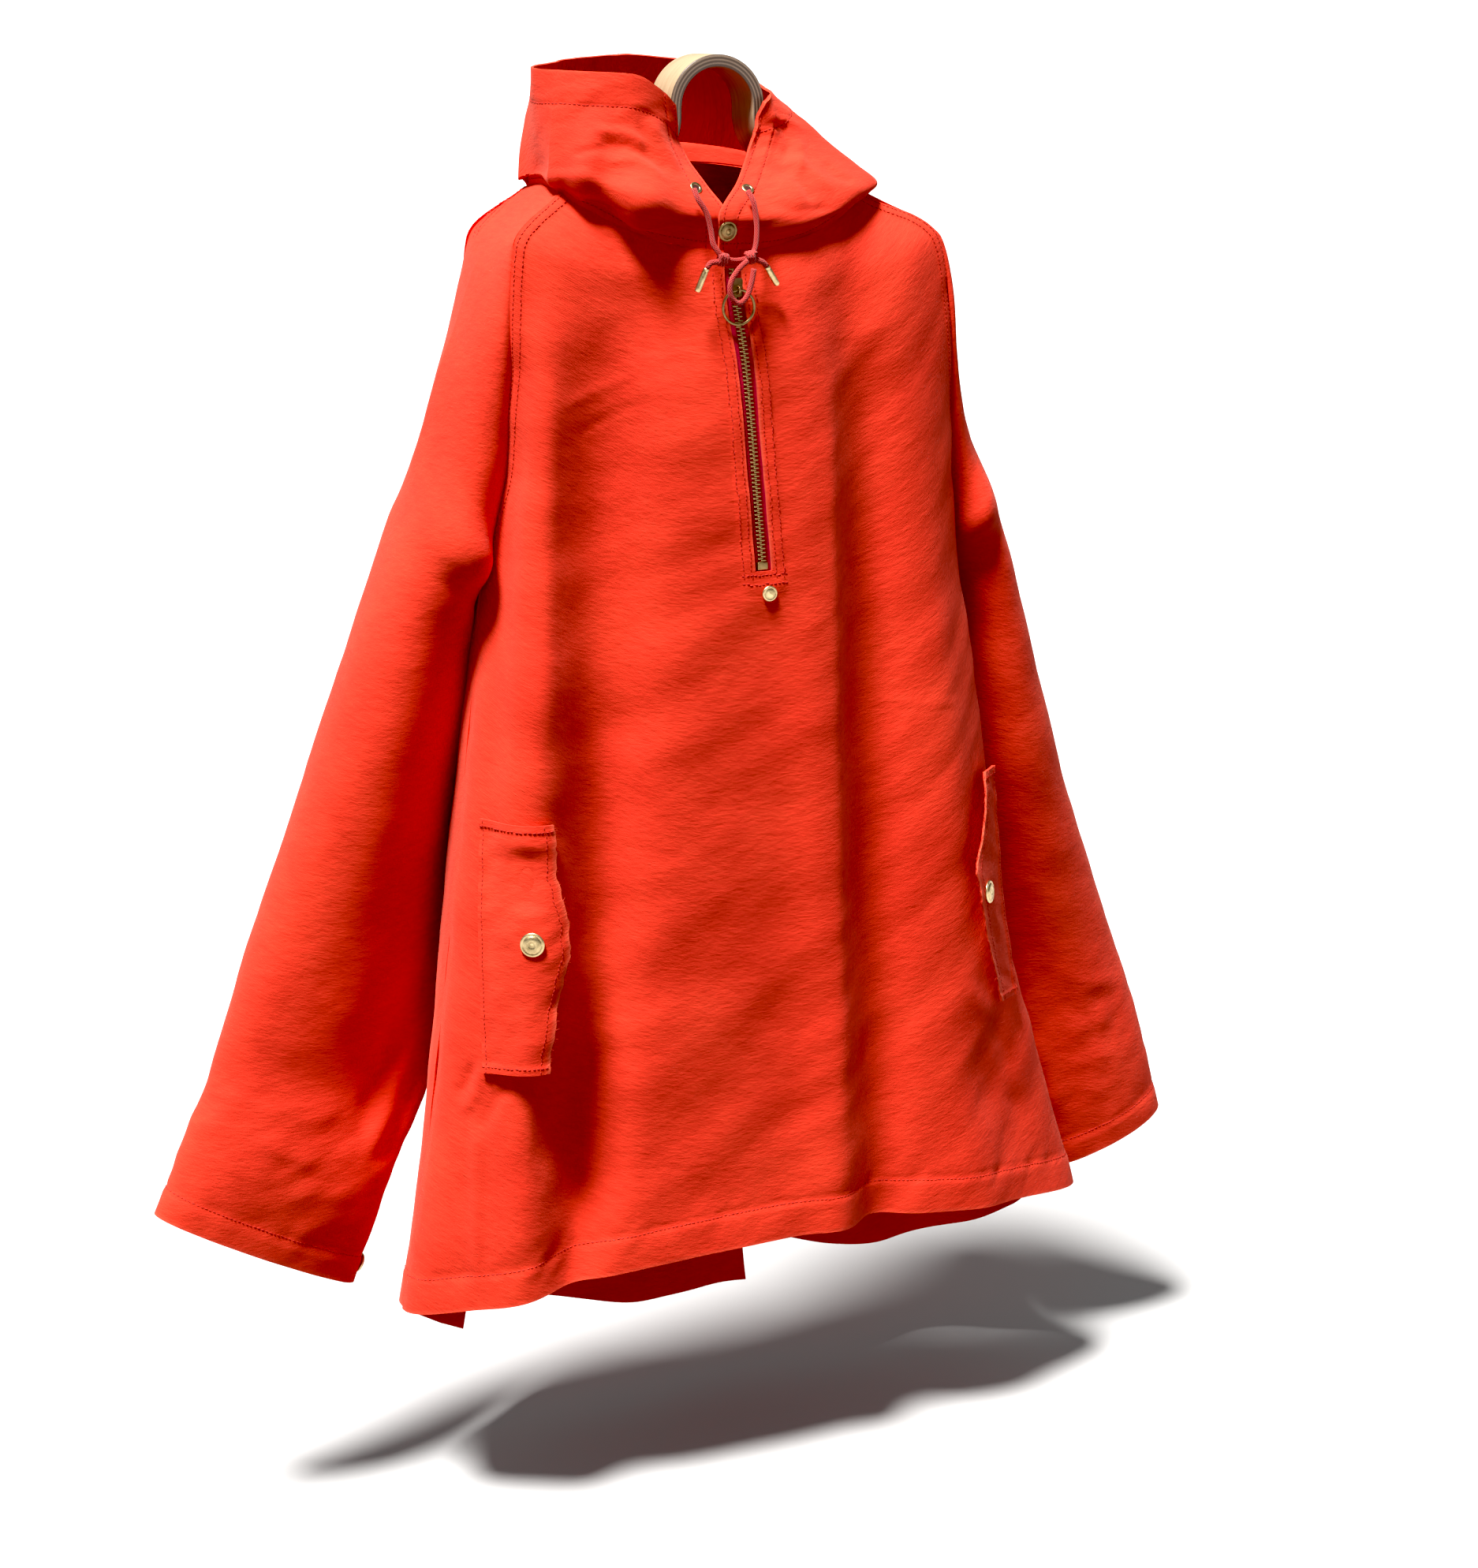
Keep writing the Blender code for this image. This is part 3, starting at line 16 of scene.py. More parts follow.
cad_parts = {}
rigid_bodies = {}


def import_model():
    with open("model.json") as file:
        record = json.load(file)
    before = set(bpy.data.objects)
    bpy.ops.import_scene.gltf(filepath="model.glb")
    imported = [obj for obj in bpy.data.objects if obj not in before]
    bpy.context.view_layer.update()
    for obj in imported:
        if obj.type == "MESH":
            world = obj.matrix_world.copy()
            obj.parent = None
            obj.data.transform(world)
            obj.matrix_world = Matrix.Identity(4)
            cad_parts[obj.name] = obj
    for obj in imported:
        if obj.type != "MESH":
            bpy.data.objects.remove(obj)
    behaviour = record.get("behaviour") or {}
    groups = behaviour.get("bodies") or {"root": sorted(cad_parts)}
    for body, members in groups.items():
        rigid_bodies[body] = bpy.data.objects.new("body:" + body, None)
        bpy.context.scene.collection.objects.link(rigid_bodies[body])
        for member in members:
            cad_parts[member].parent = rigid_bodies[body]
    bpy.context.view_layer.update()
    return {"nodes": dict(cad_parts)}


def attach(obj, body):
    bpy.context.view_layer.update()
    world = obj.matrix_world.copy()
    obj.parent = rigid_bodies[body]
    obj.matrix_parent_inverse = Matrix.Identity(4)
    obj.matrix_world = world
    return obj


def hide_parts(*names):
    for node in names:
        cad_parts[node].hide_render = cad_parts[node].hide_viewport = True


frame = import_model()

# Cloth
WALL = 0.0016
SEAM_GAP = 0.0003
EDGE_STAND = 0.0022  # a panel that passes another at a vent stands this far from it

# The body's levels, from the neck seam to the hem. Half girths are measured in X from the middle.
# front_z, front_y: middle of the front. back_z, back_y: middle of the back. edge_*: where the
# front and back end, at the armhole above the underarm and at the side seam below it.
# square: superellipse power of the section. open: 1 for a section that ends flat on the sleeve,
# 0 for one that turns round into the side. swell: how far the front stands out past its edge.
BODY_COLUMNS = (
    "front_z", "front_y", "back_z", "back_y", "left_x", "left_z", "right_x", "right_z",
    "edge_front_y", "edge_back_y", "square", "open", "swell",
)
BODY_LEVELS = {
    "neck":     (-0.128, -0.072, -0.072, 0.055, -0.132, -0.087, 0.114, -0.093, -0.034, 0.034, 2.2, 1.0, 0.0),
    "shoulder": (-0.160, -0.081, -0.112, 0.062, -0.173, -0.123, 0.172, -0.127, -0.047, 0.044, 2.3, 1.0, 0.0),
    "chest":    (-0.210, -0.089, -0.175, 0.067, -0.177, -0.180, 0.182, -0.185, -0.050, 0.047, 2.4, 0.8, 0.0),
    "armhole":  (-0.290, -0.096, -0.280, 0.068, -0.177, -0.275, 0.188, -0.275, -0.040, 0.036, 2.5, 0.35, 0.001),
    "underarm": (-0.375, -0.100, -0.375, 0.066, -0.192, -0.365, 0.201, -0.365, -0.021, -0.020, 2.5, 0.05, 0.002),
    "waist":    (-0.450, -0.103, -0.455, 0.064, -0.206, -0.450, 0.214, -0.450, -0.031, -0.031, 2.5, 0.0, 0.002),
    "flap_top": (-0.535, -0.106, -0.545, 0.062, -0.219, -0.535, 0.227, -0.540, -0.036, -0.036, 2.5, 0.0, 0.0),
    "flap_mid": (-0.630, -0.109, -0.645, 0.060, -0.233, -0.635, 0.238, -0.640, -0.040, -0.040, 2.5, 0.0, 0.0),
    "flap_low": (-0.720, -0.112, -0.745, 0.058, -0.246, -0.730, 0.259, -0.735, -0.043, -0.043, 2.4, 0.0, 0.0),
    "vent":     (-0.800, -0.115, -0.840, 0.057, -0.261, -0.820, 0.284, -0.825, -0.047, -0.047, 2.3, 0.0, 0.0),
    "hem":      (-0.893, -0.119, -0.945, 0.056, -0.282, -0.924, 0.311, -0.921, -0.051, -0.051, 2.2, 0.0, 0.0),
}
LEVEL = {name: index for index, name in enumerate(BODY_LEVELS)}

# Large vertical folds. Each row is one station down a fold: level (as an index), x on the panel,
# half width, and height out of the panel (a trough is below zero).
FRONT_FOLDS = {
    "left_ridge": ((1.5, -0.160, 0.018, 0.0), (3.0, -0.168, 0.022, 0.010), (5.5, -0.176, 0.026, 0.016),
                   (7.6, -0.184, 0.028, 0.018), (9.0, -0.196, 0.030, 0.016), (10.0, -0.205, 0.032, 0.014)),
    "left_trough": ((1.5, -0.110, 0.020, 0.0), (3.0, -0.122, 0.028, -0.009), (5.5, -0.132, 0.030, -0.012),
                    (7.6, -0.138, 0.028, -0.016), (9.0, -0.148, 0.024, -0.020), (10.0, -0.165, 0.018, -0.006)),
    "right_ridge": ((1.8, 0.060, 0.016, 0.0), (3.2, 0.060, 0.020, 0.006), (6.0, 0.058, 0.022, 0.007),
                    (8.5, 0.062, 0.022, 0.007), (10.0, 0.060, 0.022, 0.006)),
    "right_trough": ((1.8, 0.100, 0.018, 0.0), (3.2, 0.098, 0.022, -0.008), (6.0, 0.096, 0.024, -0.010),
                     (8.5, 0.102, 0.024, -0.011), (10.0, 0.098, 0.022, -0.009)),
    "right_side": ((2.5, 0.150, 0.022, 0.0), (5.0, 0.160, 0.026, 0.006), (8.0, 0.178, 0.030, 0.009),
                   (10.0, 0.190, 0.036, 0.008)),
}
BACK_FOLDS = {
    "left_swing": ((2.5, -0.110, 0.030, 0.0), (5.0, -0.125, 0.036, 0.008), (8.0, -0.140, 0.042, 0.014),
                   (10.0, -0.155, 0.046, 0.018)),
    "left_hollow": ((3.0, -0.050, 0.026, 0.0), (6.0, -0.052, 0.034, -0.007), (10.0, -0.056, 0.040, -0.013)),
    "middle_swing": ((3.5, 0.030, 0.026, 0.0), (6.0, 0.034, 0.030, 0.004), (10.0, 0.040, 0.034, 0.007)),
    "right_hollow": ((3.0, 0.100, 0.028, 0.0), (6.0, 0.112, 0.034, -0.008), (10.0, 0.130, 0.042, -0.012)),
    "right_swing": ((3.0, 0.165, 0.026, 0.0), (6.0, 0.185, 0.030, 0.006), (10.0, 0.215, 0.038, 0.013)),
}

# The drop tail: how far the back hem hangs below the line from its edge to its middle, at parts
# of the half girth. The middle of the back is split by a vent, and its right half is shorter.
TAIL_LEFT = {
    "at": (-1.0, -0.9, -0.65, -0.45, -0.2, 0.0, 0.16, 0.20),
    "drop": (0.0, 0.018, 0.042, 0.050, 0.062, 0.068, 0.069, 0.062),
}
TAIL_RIGHT = {"at": (0.20, 0.4, 0.6, 0.8, 0.92, 1.0), "drop": (0.028, 0.044, 0.058, 0.052, 0.036, 0.0)}
BACK_SEAM = {"level": (0.0, 4.0, 8.0, 10.0), "x": (0.0, 0.010, 0.040, 0.060)}
BACK_VENT_LEVEL = 9.0
BACK_VENT_GAP = 0.004

# Side vents: below this level the back's edge passes behind the front's edge as an underlap.
SIDE_VENT_LEVEL = 9.3
UNDERLAP_DEPTHS = (0.0045, 0.022, 0.040)
UNDERLAP_STANDS = (0.0040, 0.0095, 0.0150)
UNDERLAP_DROP = {"left": 0.013, "right": -0.004}

# Sleeve rows. The first rows run from the front seam over the shoulder to the back seam and the
# others are closed tubes, with the underarm seam on the inner edge.
# inner_*: the seam edge, outer_*: the outer edge, depth: half depth in Y, round: how far the
# section turns round at its inner edge. Rows above the underarm take inner_* from the body.
SLEEVE_COLUMNS = (
    "level", "inner_x", "inner_y", "inner_z", "outer_x", "outer_y", "outer_z", "depth", "round",
)
SLEEVE_LEFT = (
    (0.0, 0.0, 0.0, 0.0, -0.131, 0.000, -0.083, 0.000, 0.0),
    (0.5, 0.0, 0.0, 0.0, -0.154, 0.000, -0.103, 0.000, 0.0),
    (1.0, 0.0, 0.0, 0.0, -0.175, 0.000, -0.121, 0.002, 0.0),
    (1.6, 0.0, 0.0, 0.0, -0.184, 0.001, -0.139, 0.005, 0.0),
    (2.2, 0.0, 0.0, 0.0, -0.195, 0.002, -0.168, 0.009, 0.05),
    (3.0, 0.0, 0.0, 0.0, -0.211, 0.004, -0.210, 0.016, 0.2),
    (3.6, 0.0, 0.0, 0.0, -0.229, 0.006, -0.262, 0.030, 0.5),
    (4.0, -0.197, 0.010, -0.376, -0.250, 0.008, -0.324, 0.054, 0.9),
    (5.0, -0.2055, 0.015, -0.452, -0.279, 0.010, -0.398, 0.050, 1.0),
    (6.0, -0.2105, 0.024, -0.550, -0.318, 0.012, -0.500, 0.048, 1.0),
    (7.0, -0.2170, 0.032, -0.648, -0.354, 0.012, -0.592, 0.044, 1.0),
    (8.0, -0.2255, 0.032, -0.735, -0.388, 0.010, -0.676, 0.038, 1.0),
    (8.6, -0.2345, 0.026, -0.779, -0.403, 0.008, -0.715, 0.034, 1.0),
    (9.0, -0.256, 0.012, -0.808, -0.413, 0.006, -0.740, 0.032, 1.0),
    (9.5, -0.2750, 0.003, -0.836, -0.425, 0.004, -0.765, 0.030, 1.0),
    (10.0, -0.286, 0.000, -0.862, -0.436, 0.002, -0.789, 0.028, 1.0),
    (11.0, -0.3075, 0.000, -0.917, -0.457, 0.000, -0.834, 0.022, 1.0),
)
SLEEVE_RIGHT = (
    (0.0, 0.0, 0.0, 0.0, 0.113, 0.000, -0.089, 0.000, 0.0),
    (0.5, 0.0, 0.0, 0.0, 0.1440, 0.000, -0.1065, 0.000, 0.0),
    (1.0, 0.0, 0.0, 0.0, 0.1785, 0.000, -0.1290, 0.002, 0.0),
    (1.6, 0.0, 0.0, 0.0, 0.186, 0.001, -0.154, 0.005, 0.0),
    (2.2, 0.0, 0.0, 0.0, 0.191, 0.002, -0.178, 0.009, 0.05),
    (3.0, 0.0, 0.0, 0.0, 0.202, 0.004, -0.218, 0.016, 0.2),
    (3.6, 0.0, 0.0, 0.0, 0.218, 0.006, -0.270, 0.030, 0.5),
    (4.0, 0.206, 0.010, -0.376, 0.240, 0.008, -0.330, 0.054, 0.9),
    (5.0, 0.217, 0.012, -0.452, 0.267, 0.010, -0.408, 0.060, 1.0),
    (6.0, 0.229, 0.013, -0.550, 0.297, 0.012, -0.498, 0.058, 1.0),
    (7.0, 0.245, 0.012, -0.648, 0.330, 0.012, -0.594, 0.050, 1.0),
    (8.0, 0.268, 0.008, -0.740, 0.360, 0.010, -0.674, 0.040, 1.0),
    (9.0, 0.287, 0.004, -0.812, 0.388, 0.006, -0.748, 0.034, 1.0),
    (10.0, 0.300, 0.002, -0.870, 0.410, 0.002, -0.815, 0.032, 1.0),
    (11.0, 0.318, 0.002, -0.930, 0.431, 0.000, -0.890, 0.028, 1.0),
)

# Hood stations, from the front edge on the left, round the back, to the front edge on the right.
# neck_*: the seam in plan, which is put on the body's neck line. over: how far an edge that laps
# the other stands in front of the neck line. Then four places up the cloth, each a distance out
# and a height: the hollow above the seam, the underside of the roll, the roll and the belly.
# rim_*: the edge of the face opening.
HOOD_COLUMNS = (
    "neck_x", "neck_y", "over", "hollow_out", "hollow_z", "under_out", "under_z",
    "roll_out", "roll_z", "belly_out", "belly_z", "rim_x", "rim_y", "rim_z",
)
HOOD_STATIONS = {
    "left_edge":   (-0.019, -0.072, 0.0, 0.001, -0.114, 0.002, -0.101, 0.000, -0.082, -0.010, -0.054, -0.043, -0.038, -0.026),
    "left_eyelet": (-0.046, -0.068, 0.0, 0.002, -0.112, 0.005, -0.101, 0.005, -0.084, -0.004, -0.050, -0.060, -0.044, -0.013),
    "left_front":  (-0.078, -0.060, 0.0, 0.002, -0.106, 0.008, -0.096, 0.011, -0.082, 0.005, -0.046, -0.080, -0.046, -0.004),
    "left_cheek":  (-0.110, -0.046, 0.0, 0.002, -0.094, 0.007, -0.089, 0.011, -0.078, 0.008, -0.044, -0.112, -0.034, -0.002),
    "left_corner": (-0.131, -0.004, 0.0, 0.001, -0.078, 0.004, -0.075, 0.003, -0.070, 0.003, -0.045, -0.138, -0.002, 0.000),
    "back_left":   (-0.106, 0.043, 0.0, 0.003, -0.076, 0.009, -0.086, 0.017, -0.090, 0.016, -0.050, -0.097, 0.060, 0.003),
    "back_middle": (-0.012, 0.055, 0.0, 0.010, -0.072, 0.032, -0.172, 0.066, -0.162, 0.076, -0.074, -0.024, 0.104, 0.007),
    "back_right":  (0.066, 0.051, 0.0, 0.008, -0.078, 0.024, -0.112, 0.048, -0.112, 0.050, -0.066, 0.036, 0.086, 0.000),
    "right_rear":  (0.108, 0.035, 0.0, 0.003, -0.078, 0.008, -0.080, 0.014, -0.084, 0.016, -0.058, 0.056, 0.056, -0.010),
    "right_end":   (0.113, 0.002, 0.0, 0.002, -0.082, 0.007, -0.082, 0.011, -0.080, 0.010, -0.058, 0.052, 0.022, -0.015),
    "right_cheek": (0.094, -0.046, 0.0, 0.002, -0.101, 0.009, -0.095, 0.013, -0.084, 0.005, -0.057, 0.049, -0.008, -0.018),
    "right_front": (0.056, -0.063, 0.0, 0.002, -0.115, 0.007, -0.104, 0.008, -0.086, -0.002, -0.056, 0.041, -0.022, -0.021),
    "right_snap":  (0.014, -0.073, 0.002, 0.003, -0.118, 0.006, -0.105, 0.004, -0.086, -0.005, -0.056, 0.036, -0.028, -0.023),
    "right_edge":  (-0.026, -0.071, 0.006, 0.003, -0.113, 0.003, -0.100, 0.000, -0.082, -0.007, -0.054, 0.031, -0.031, -0.025),
}
HOOD_SEAM_LIFT = 0.0022
HOOD_STAND_UP = 0.006  # the least height at which the cloth above the seam starts to lean out
HOOD_BACK_STATION = 6.0

# Zip, in the front's middle
ZIP_BOTTOM_LEVEL = 3.84
ZIP_LEAN = {
    "level": (0.0, 0.9, 2.0, 3.0, 4.0, 5.0),
    "x": (-0.0135, -0.0150, -0.0100, -0.0055, -0.0003, 0.0015),
}
TAPE_HALF = 0.014
TAPE_STAND = 0.0022  # behind the front's middle surface
CHAIN_THICK = 0.0022
STOP_LENGTH = 0.0056
SLIDER_Z = -0.1555
SLIDER_SIZE = (0.0100, 0.0044, 0.0135)  # across, out, down
SLIDER_STAND = 0.0016
RING_RADIUS = 0.0125
RING_WIRE = 0.0010
PIVOT_DOWN = -0.0022  # of the slider's middle
PIVOT_OUT = 0.0018  # in front of the slider's face
BAIL_WIRE = 0.0008
BAIL_ROUTE = (  # forward of the slider's face, and up from the pivot
    (0.0016, 0.0023), (-0.0016, 0.0024), (-0.0034, 0.0017), (-0.0042, 0.0), (-0.0034, -0.0017),
    (-0.0016, -0.0024), (0.0016, -0.0023),
)

# Pocket flaps. at: part of the half girth. Rows: level, sewn edge at, free edge at, lift.
FLAPS = {
    "left": ((6.02, -0.965, -0.775, 0.0030), (6.47, -0.955, -0.748, 0.0045), (6.98, -0.94, -0.712, 0.0060),
             (7.5, -0.92, -0.731, 0.0055), (8.0, -0.90, -0.738, 0.0035)),
    "right": ((6.05, 0.955, 0.86, 0.0040), (6.55, 0.945, 0.79, 0.0065), (6.84, 0.94, 0.735, 0.0085),
              (7.0, 0.935, 0.74, 0.0085), (7.57, 0.925, 0.765, 0.0075), (8.04, 0.91, 0.79, 0.0060)),
}
FLAP_SEAM_STAND = 0.0024
FLAP_SNAP = {"left": (6.91, 0.62), "right": (7.02, 0.72)}  # level, part of the way to the raw edge

# Metal trim: outer radius and height
FLAP_CAP = (0.0093, 0.0030)
NECK_CAP = (0.0076, 0.0028)
CUFF_CAP = (0.0076, 0.0028)
STUD_CAP = (0.0060, 0.0024)
EYELET = (0.0048, 0.0024, 0.0013)  # outer radius, hole radius, height
STUD_LEVEL = 4.03

# Drawcord. Its route is a list of given points, from each eyelet to the aglet.
CORD_RADIUS = 0.0020
CORD_LEFT = (
    (-0.0505, -0.0790, -0.0850), (-0.0455, -0.0850, -0.0905), (-0.0400, -0.0870, -0.1000),
    (-0.0370, -0.0880, -0.1120), (-0.0360, -0.0900, -0.1220), (-0.0330, -0.0915, -0.1275),
)
CORD_RIGHT = (
    (-0.0040, -0.0800, -0.0860), (-0.0020, -0.0850, -0.0930), (-0.0005, -0.0870, -0.1050),
    (-0.0010, -0.0890, -0.1170), (-0.0030, -0.0905, -0.1260),
)
KNOT_LEFT = (-0.0300, -0.0925, -0.1330)
KNOT_RIGHT = (-0.0070, -0.0925, -0.1320)
TAIL_LEFT_ROUTE = ((-0.0356, -0.0935, -0.1345), (-0.0395, -0.0935, -0.1350), (-0.0425, -0.0930, -0.1385))
TAIL_RIGHT_ROUTE = ((-0.0015, -0.0935, -0.1345), (0.0020, -0.0935, -0.1360), (0.0050, -0.0930, -0.1390))
AGLET_LEFT_TIP = (-0.0500, -0.0915, -0.1560)
AGLET_RIGHT_TIP = (0.0150, -0.0915, -0.1535)
AGLET_RADIUS = 0.0023
BOW_ROUTE = (
    (-0.0120, -0.0960, -0.1345), (-0.0200, -0.0985, -0.1400), (-0.0265, -0.0995, -0.1490),
    (-0.0262, -0.0995, -0.1590), (-0.0200, -0.0995, -0.1640), (-0.0135, -0.0995, -0.1590),
    (-0.0095, -0.0985, -0.1490), (-0.0072, -0.0975, -0.1400),
)
CROSS_ROUTE = ((-0.0245, -0.0925, -0.1335), (-0.0190, -0.0915, -0.1342), (-0.0127, -0.0920, -0.1335))

# Hanger: one band of plywood bent into a loop and two arms
BAND_DEPTH = 0.040
BAND_THICK = 0.0090
LOOP_INNER_RADIUS = 0.0290
HANGER_ROUTE = (  # middle of the band's thickness, from under the loop to the left arm's tip
    (-0.0337, -0.0380), (-0.0360, -0.0480), (-0.0425, -0.0590), (-0.0540, -0.0690), (-0.0700, -0.0775),
    (-0.0900, -0.0865), (-0.1100, -0.0975), (-0.1300, -0.1105), (-0.1480, -0.1235), (-0.1620, -0.1345),
)

# ---------------------------------------------------------------- what only the scene has

FRONT_ROWS, FRONT_COLUMNS, WINDOW_COLUMNS = 236, 88, 4
SEEN_WINDOW_HALF = 0.0067  # the turned edges roll back from the zip a little
BACK_ROWS, BACK_COLUMNS, LAP_COLUMNS = 220, 84, 12
SLEEVE_ROWS, SLEEVE_COLUMNS_FINE = 220, 124
HOOD_ROWS, HOOD_FINE_COLUMNS = 110, 150
FLAP_ROWS, FLAP_COLUMNS = 110, 32
FLAP_LIFT = 1.6  # the raw edge stands further off the front than the solid's

STITCH_STAND = 0.0001
SEAM_ROWS = (0.0022, 0.0078)  # two rows of stitches, from the seam
HEM_DEPTH = 0.029
CUFF_DEPTH = 0.022
HOOD_HEM_DEPTH = 0.024
FACE_BAND = 0.015

CANVAS_DARK = (0.60, 0.027, 0.013)
CANVAS_MIDDLE = (0.71, 0.038, 0.018)
CANVAS_LIGHT = (0.79, 0.051, 0.023)
CANVAS_WORN = (0.90, 0.13, 0.07)
FLOOR_TONE = 0.54

SUN_AZIMUTH, SUN_HEIGHT = -64.0, 69.0  # degrees; azimuth 0 shines along +Y and -90 along +X
SUN_STRENGTH, SUN_SPREAD = 9.8, 14.0
SKY_STRENGTH = 0.26
SKY_SEEN = 1.25  # near the horizon, and all of it as the camera sees it
BLACK_LEVEL = 0.020
FILL_STRENGTH = 3.2  # from behind. It is linked before the dressed pieces exist, so it has little effect
FLOOR_Z = -1.095

# Large soft shapes that the solids only hint at, in view: middle, half width and half height in px,
# turn in degrees, height in mm.
FRONT_SWELLS = (
    ((688, 640), (34, 330), 2, 4.5),
    ((790, 640), (56, 230), -3, -8.0),
    ((778, 960), (52, 190), 3, -8.0),
    ((760, 1200), (44, 120), 6, -4.0),
    ((1030, 900), (40, 560), -2, 5.0),
    ((1100, 900), (46, 620), -2, -10.5),
    ((1090, 470), (34, 110), 0, -4.0),
    ((1040, 450), (34, 110), 0, 2.0),
    ((655, 700), (24, 300), 4, -2.0),
    ((700, 1420), (46, 130), -6, -10.0),
    ((1250, 900), (46, 400), -5, -6.0),
    ((1250, 1360), (34, 90), -12, -6.0),
    ((1110, 1530), (24, 60), 0, -3.0),
    ((690, 1600), (60, 40), 0, -2.5),
    ((832, 400), (60, 80), -20, -11.0),
    ((1000, 1350), (60, 160), 5, -2.5),
)
# How far the sleeves lie back from the photograph's view, beside the body: as above.
SLEEVE_SWELLS = {
    "left": (
        ((640, 590), (34, 120), 4, 9.0),
        ((612, 840), (52, 190), 7, 17.0),
        ((574, 1090), (64, 180), 14, 19.0),
        ((505, 1340), (50, 130), 26, 12.0),
    ),
    "right": (
        ((1222, 820), (30, 260), -12, 10.0),
        ((1300, 1200), (40, 220), -18, 10.0),
    ),
}
HOOD_SWELLS = {
    "left": (
        ((812, 264), (40, 30), 60, 15.0),
        ((740, 232), (70, 18), -78, 6.0),
    ),
    "right": (((1010, 250), (60, 24), 80, 4.0),),
}

# Creases, in the photograph's frame: path, half width in px, height in mm and kind. A ridge of
# negative height is a trough.
FRONT_CREASES = (
    (((700, 430), (694, 620), (691, 800), (690, 1020)), 13, 1.6),
    (((1048, 400), (1056, 600), (1062, 800), (1066, 1100), (1068, 1400), (1068, 1600)), 12, 1.4),
    (((604, 1400), (604, 1500), (605, 1640)), 7, 2.2),
    (((617, 1340), (604, 1385), (584, 1415)), 7, 2.4),
    (((600, 1345), (592, 1372), (575, 1392)), 6, -1.8),
    (((648, 1368), (628, 1395), (604, 1440)), 9, -1.8),
    (((740, 1280), (742, 1400), (725, 1540)), 9, 1.6),
    (((1115, 888), (1170, 893), (1232, 889)), 4, 0.5),
    (((765, 470), (840, 455), (905, 440)), 5, 0.5),
    (((700, 520), (760, 495), (820, 470)), 6, 0.6),
    (((720, 560), (790, 520), (850, 505)), 6, -0.5),
    (((1225, 1235), (1255, 1290), (1290, 1400)), 12, 1.8),
    (((1255, 1275), (1275, 1330), (1295, 1430)), 10, -2.0),
)
SLEEVE_CREASES = {
    "left": (
        (((535, 1270), (512, 1340), (488, 1410), (455, 1490)), 11, 3.0),
        (((505, 1290), (480, 1360), (452, 1440)), 12, -3.0),
        (((540, 1330), (520, 1400), (480, 1490)), 10, -2.2),
        (((300, 1390), (345, 1410), (410, 1400)), 8, 0.7),
        (((320, 1440), (370, 1470), (440, 1480)), 8, 0.7),
        (((290, 1450), (350, 1430), (400, 1440)), 7, -0.6),
        (((340, 1500), (390, 1480), (450, 1500)), 7, 0.6),
        (((556, 1170), (540, 1240), (528, 1300)), 12, -2.0),
    ),
    "right": (
        (((1300, 1300), (1330, 1360), (1350, 1430)), 12, 1.6),
        (((1330, 1230), (1390, 1250), (1430, 1240)), 9, 0.6),
    ),
}
SLEEVE_BACK_CREASES = {  # in metres: path of (x, z), half width, height
    "left": (
        (((-0.30, -0.60), (-0.33, -0.68), (-0.34, -0.78)), 0.010, 0.0025),
        (((-0.24, -0.42), (-0.27, -0.50), (-0.29, -0.60)), 0.012, -0.0025),
    ),
    "right": (
        (((0.29, -0.60), (0.32, -0.70), (0.33, -0.80)), 0.010, 0.0025),
        (((0.24, -0.44), (0.27, -0.54), (0.29, -0.64)), 0.012, -0.0025),
    ),
}
BACK_CREASES = {  # in metres: path of (x, z), half width, height
    "left": (
        (((-0.12, -0.16), (-0.14, -0.26), (-0.15, -0.40)), 0.012, 0.0030),
        (((-0.09, -0.20), (-0.10, -0.32), (-0.10, -0.46)), 0.012, -0.0025),
        (((-0.03, -0.40), (-0.04, -0.60), (-0.05, -0.85)), 0.014, 0.0028),
        (((-0.20, -0.50), (-0.21, -0.66), (-0.22, -0.84)), 0.012, 0.0030),
    ),
    "right": (
        (((0.12, -0.17), (0.13, -0.28), (0.15, -0.42)), 0.012, 0.0030),
        (((0.07, -0.30), (0.08, -0.50), (0.10, -0.72)), 0.014, -0.0028),
        (((0.17, -0.50), (0.19, -0.68), (0.21, -0.86)), 0.012, 0.0030),
        (((0.07, -0.60), (0.075, -0.75), (0.08, -0.90)), 0.010, 0.0025),
    ),
}
HOOD_SEEN = {"left": 4.9, "right": 9.6}  # the station up to which the view shows the hood
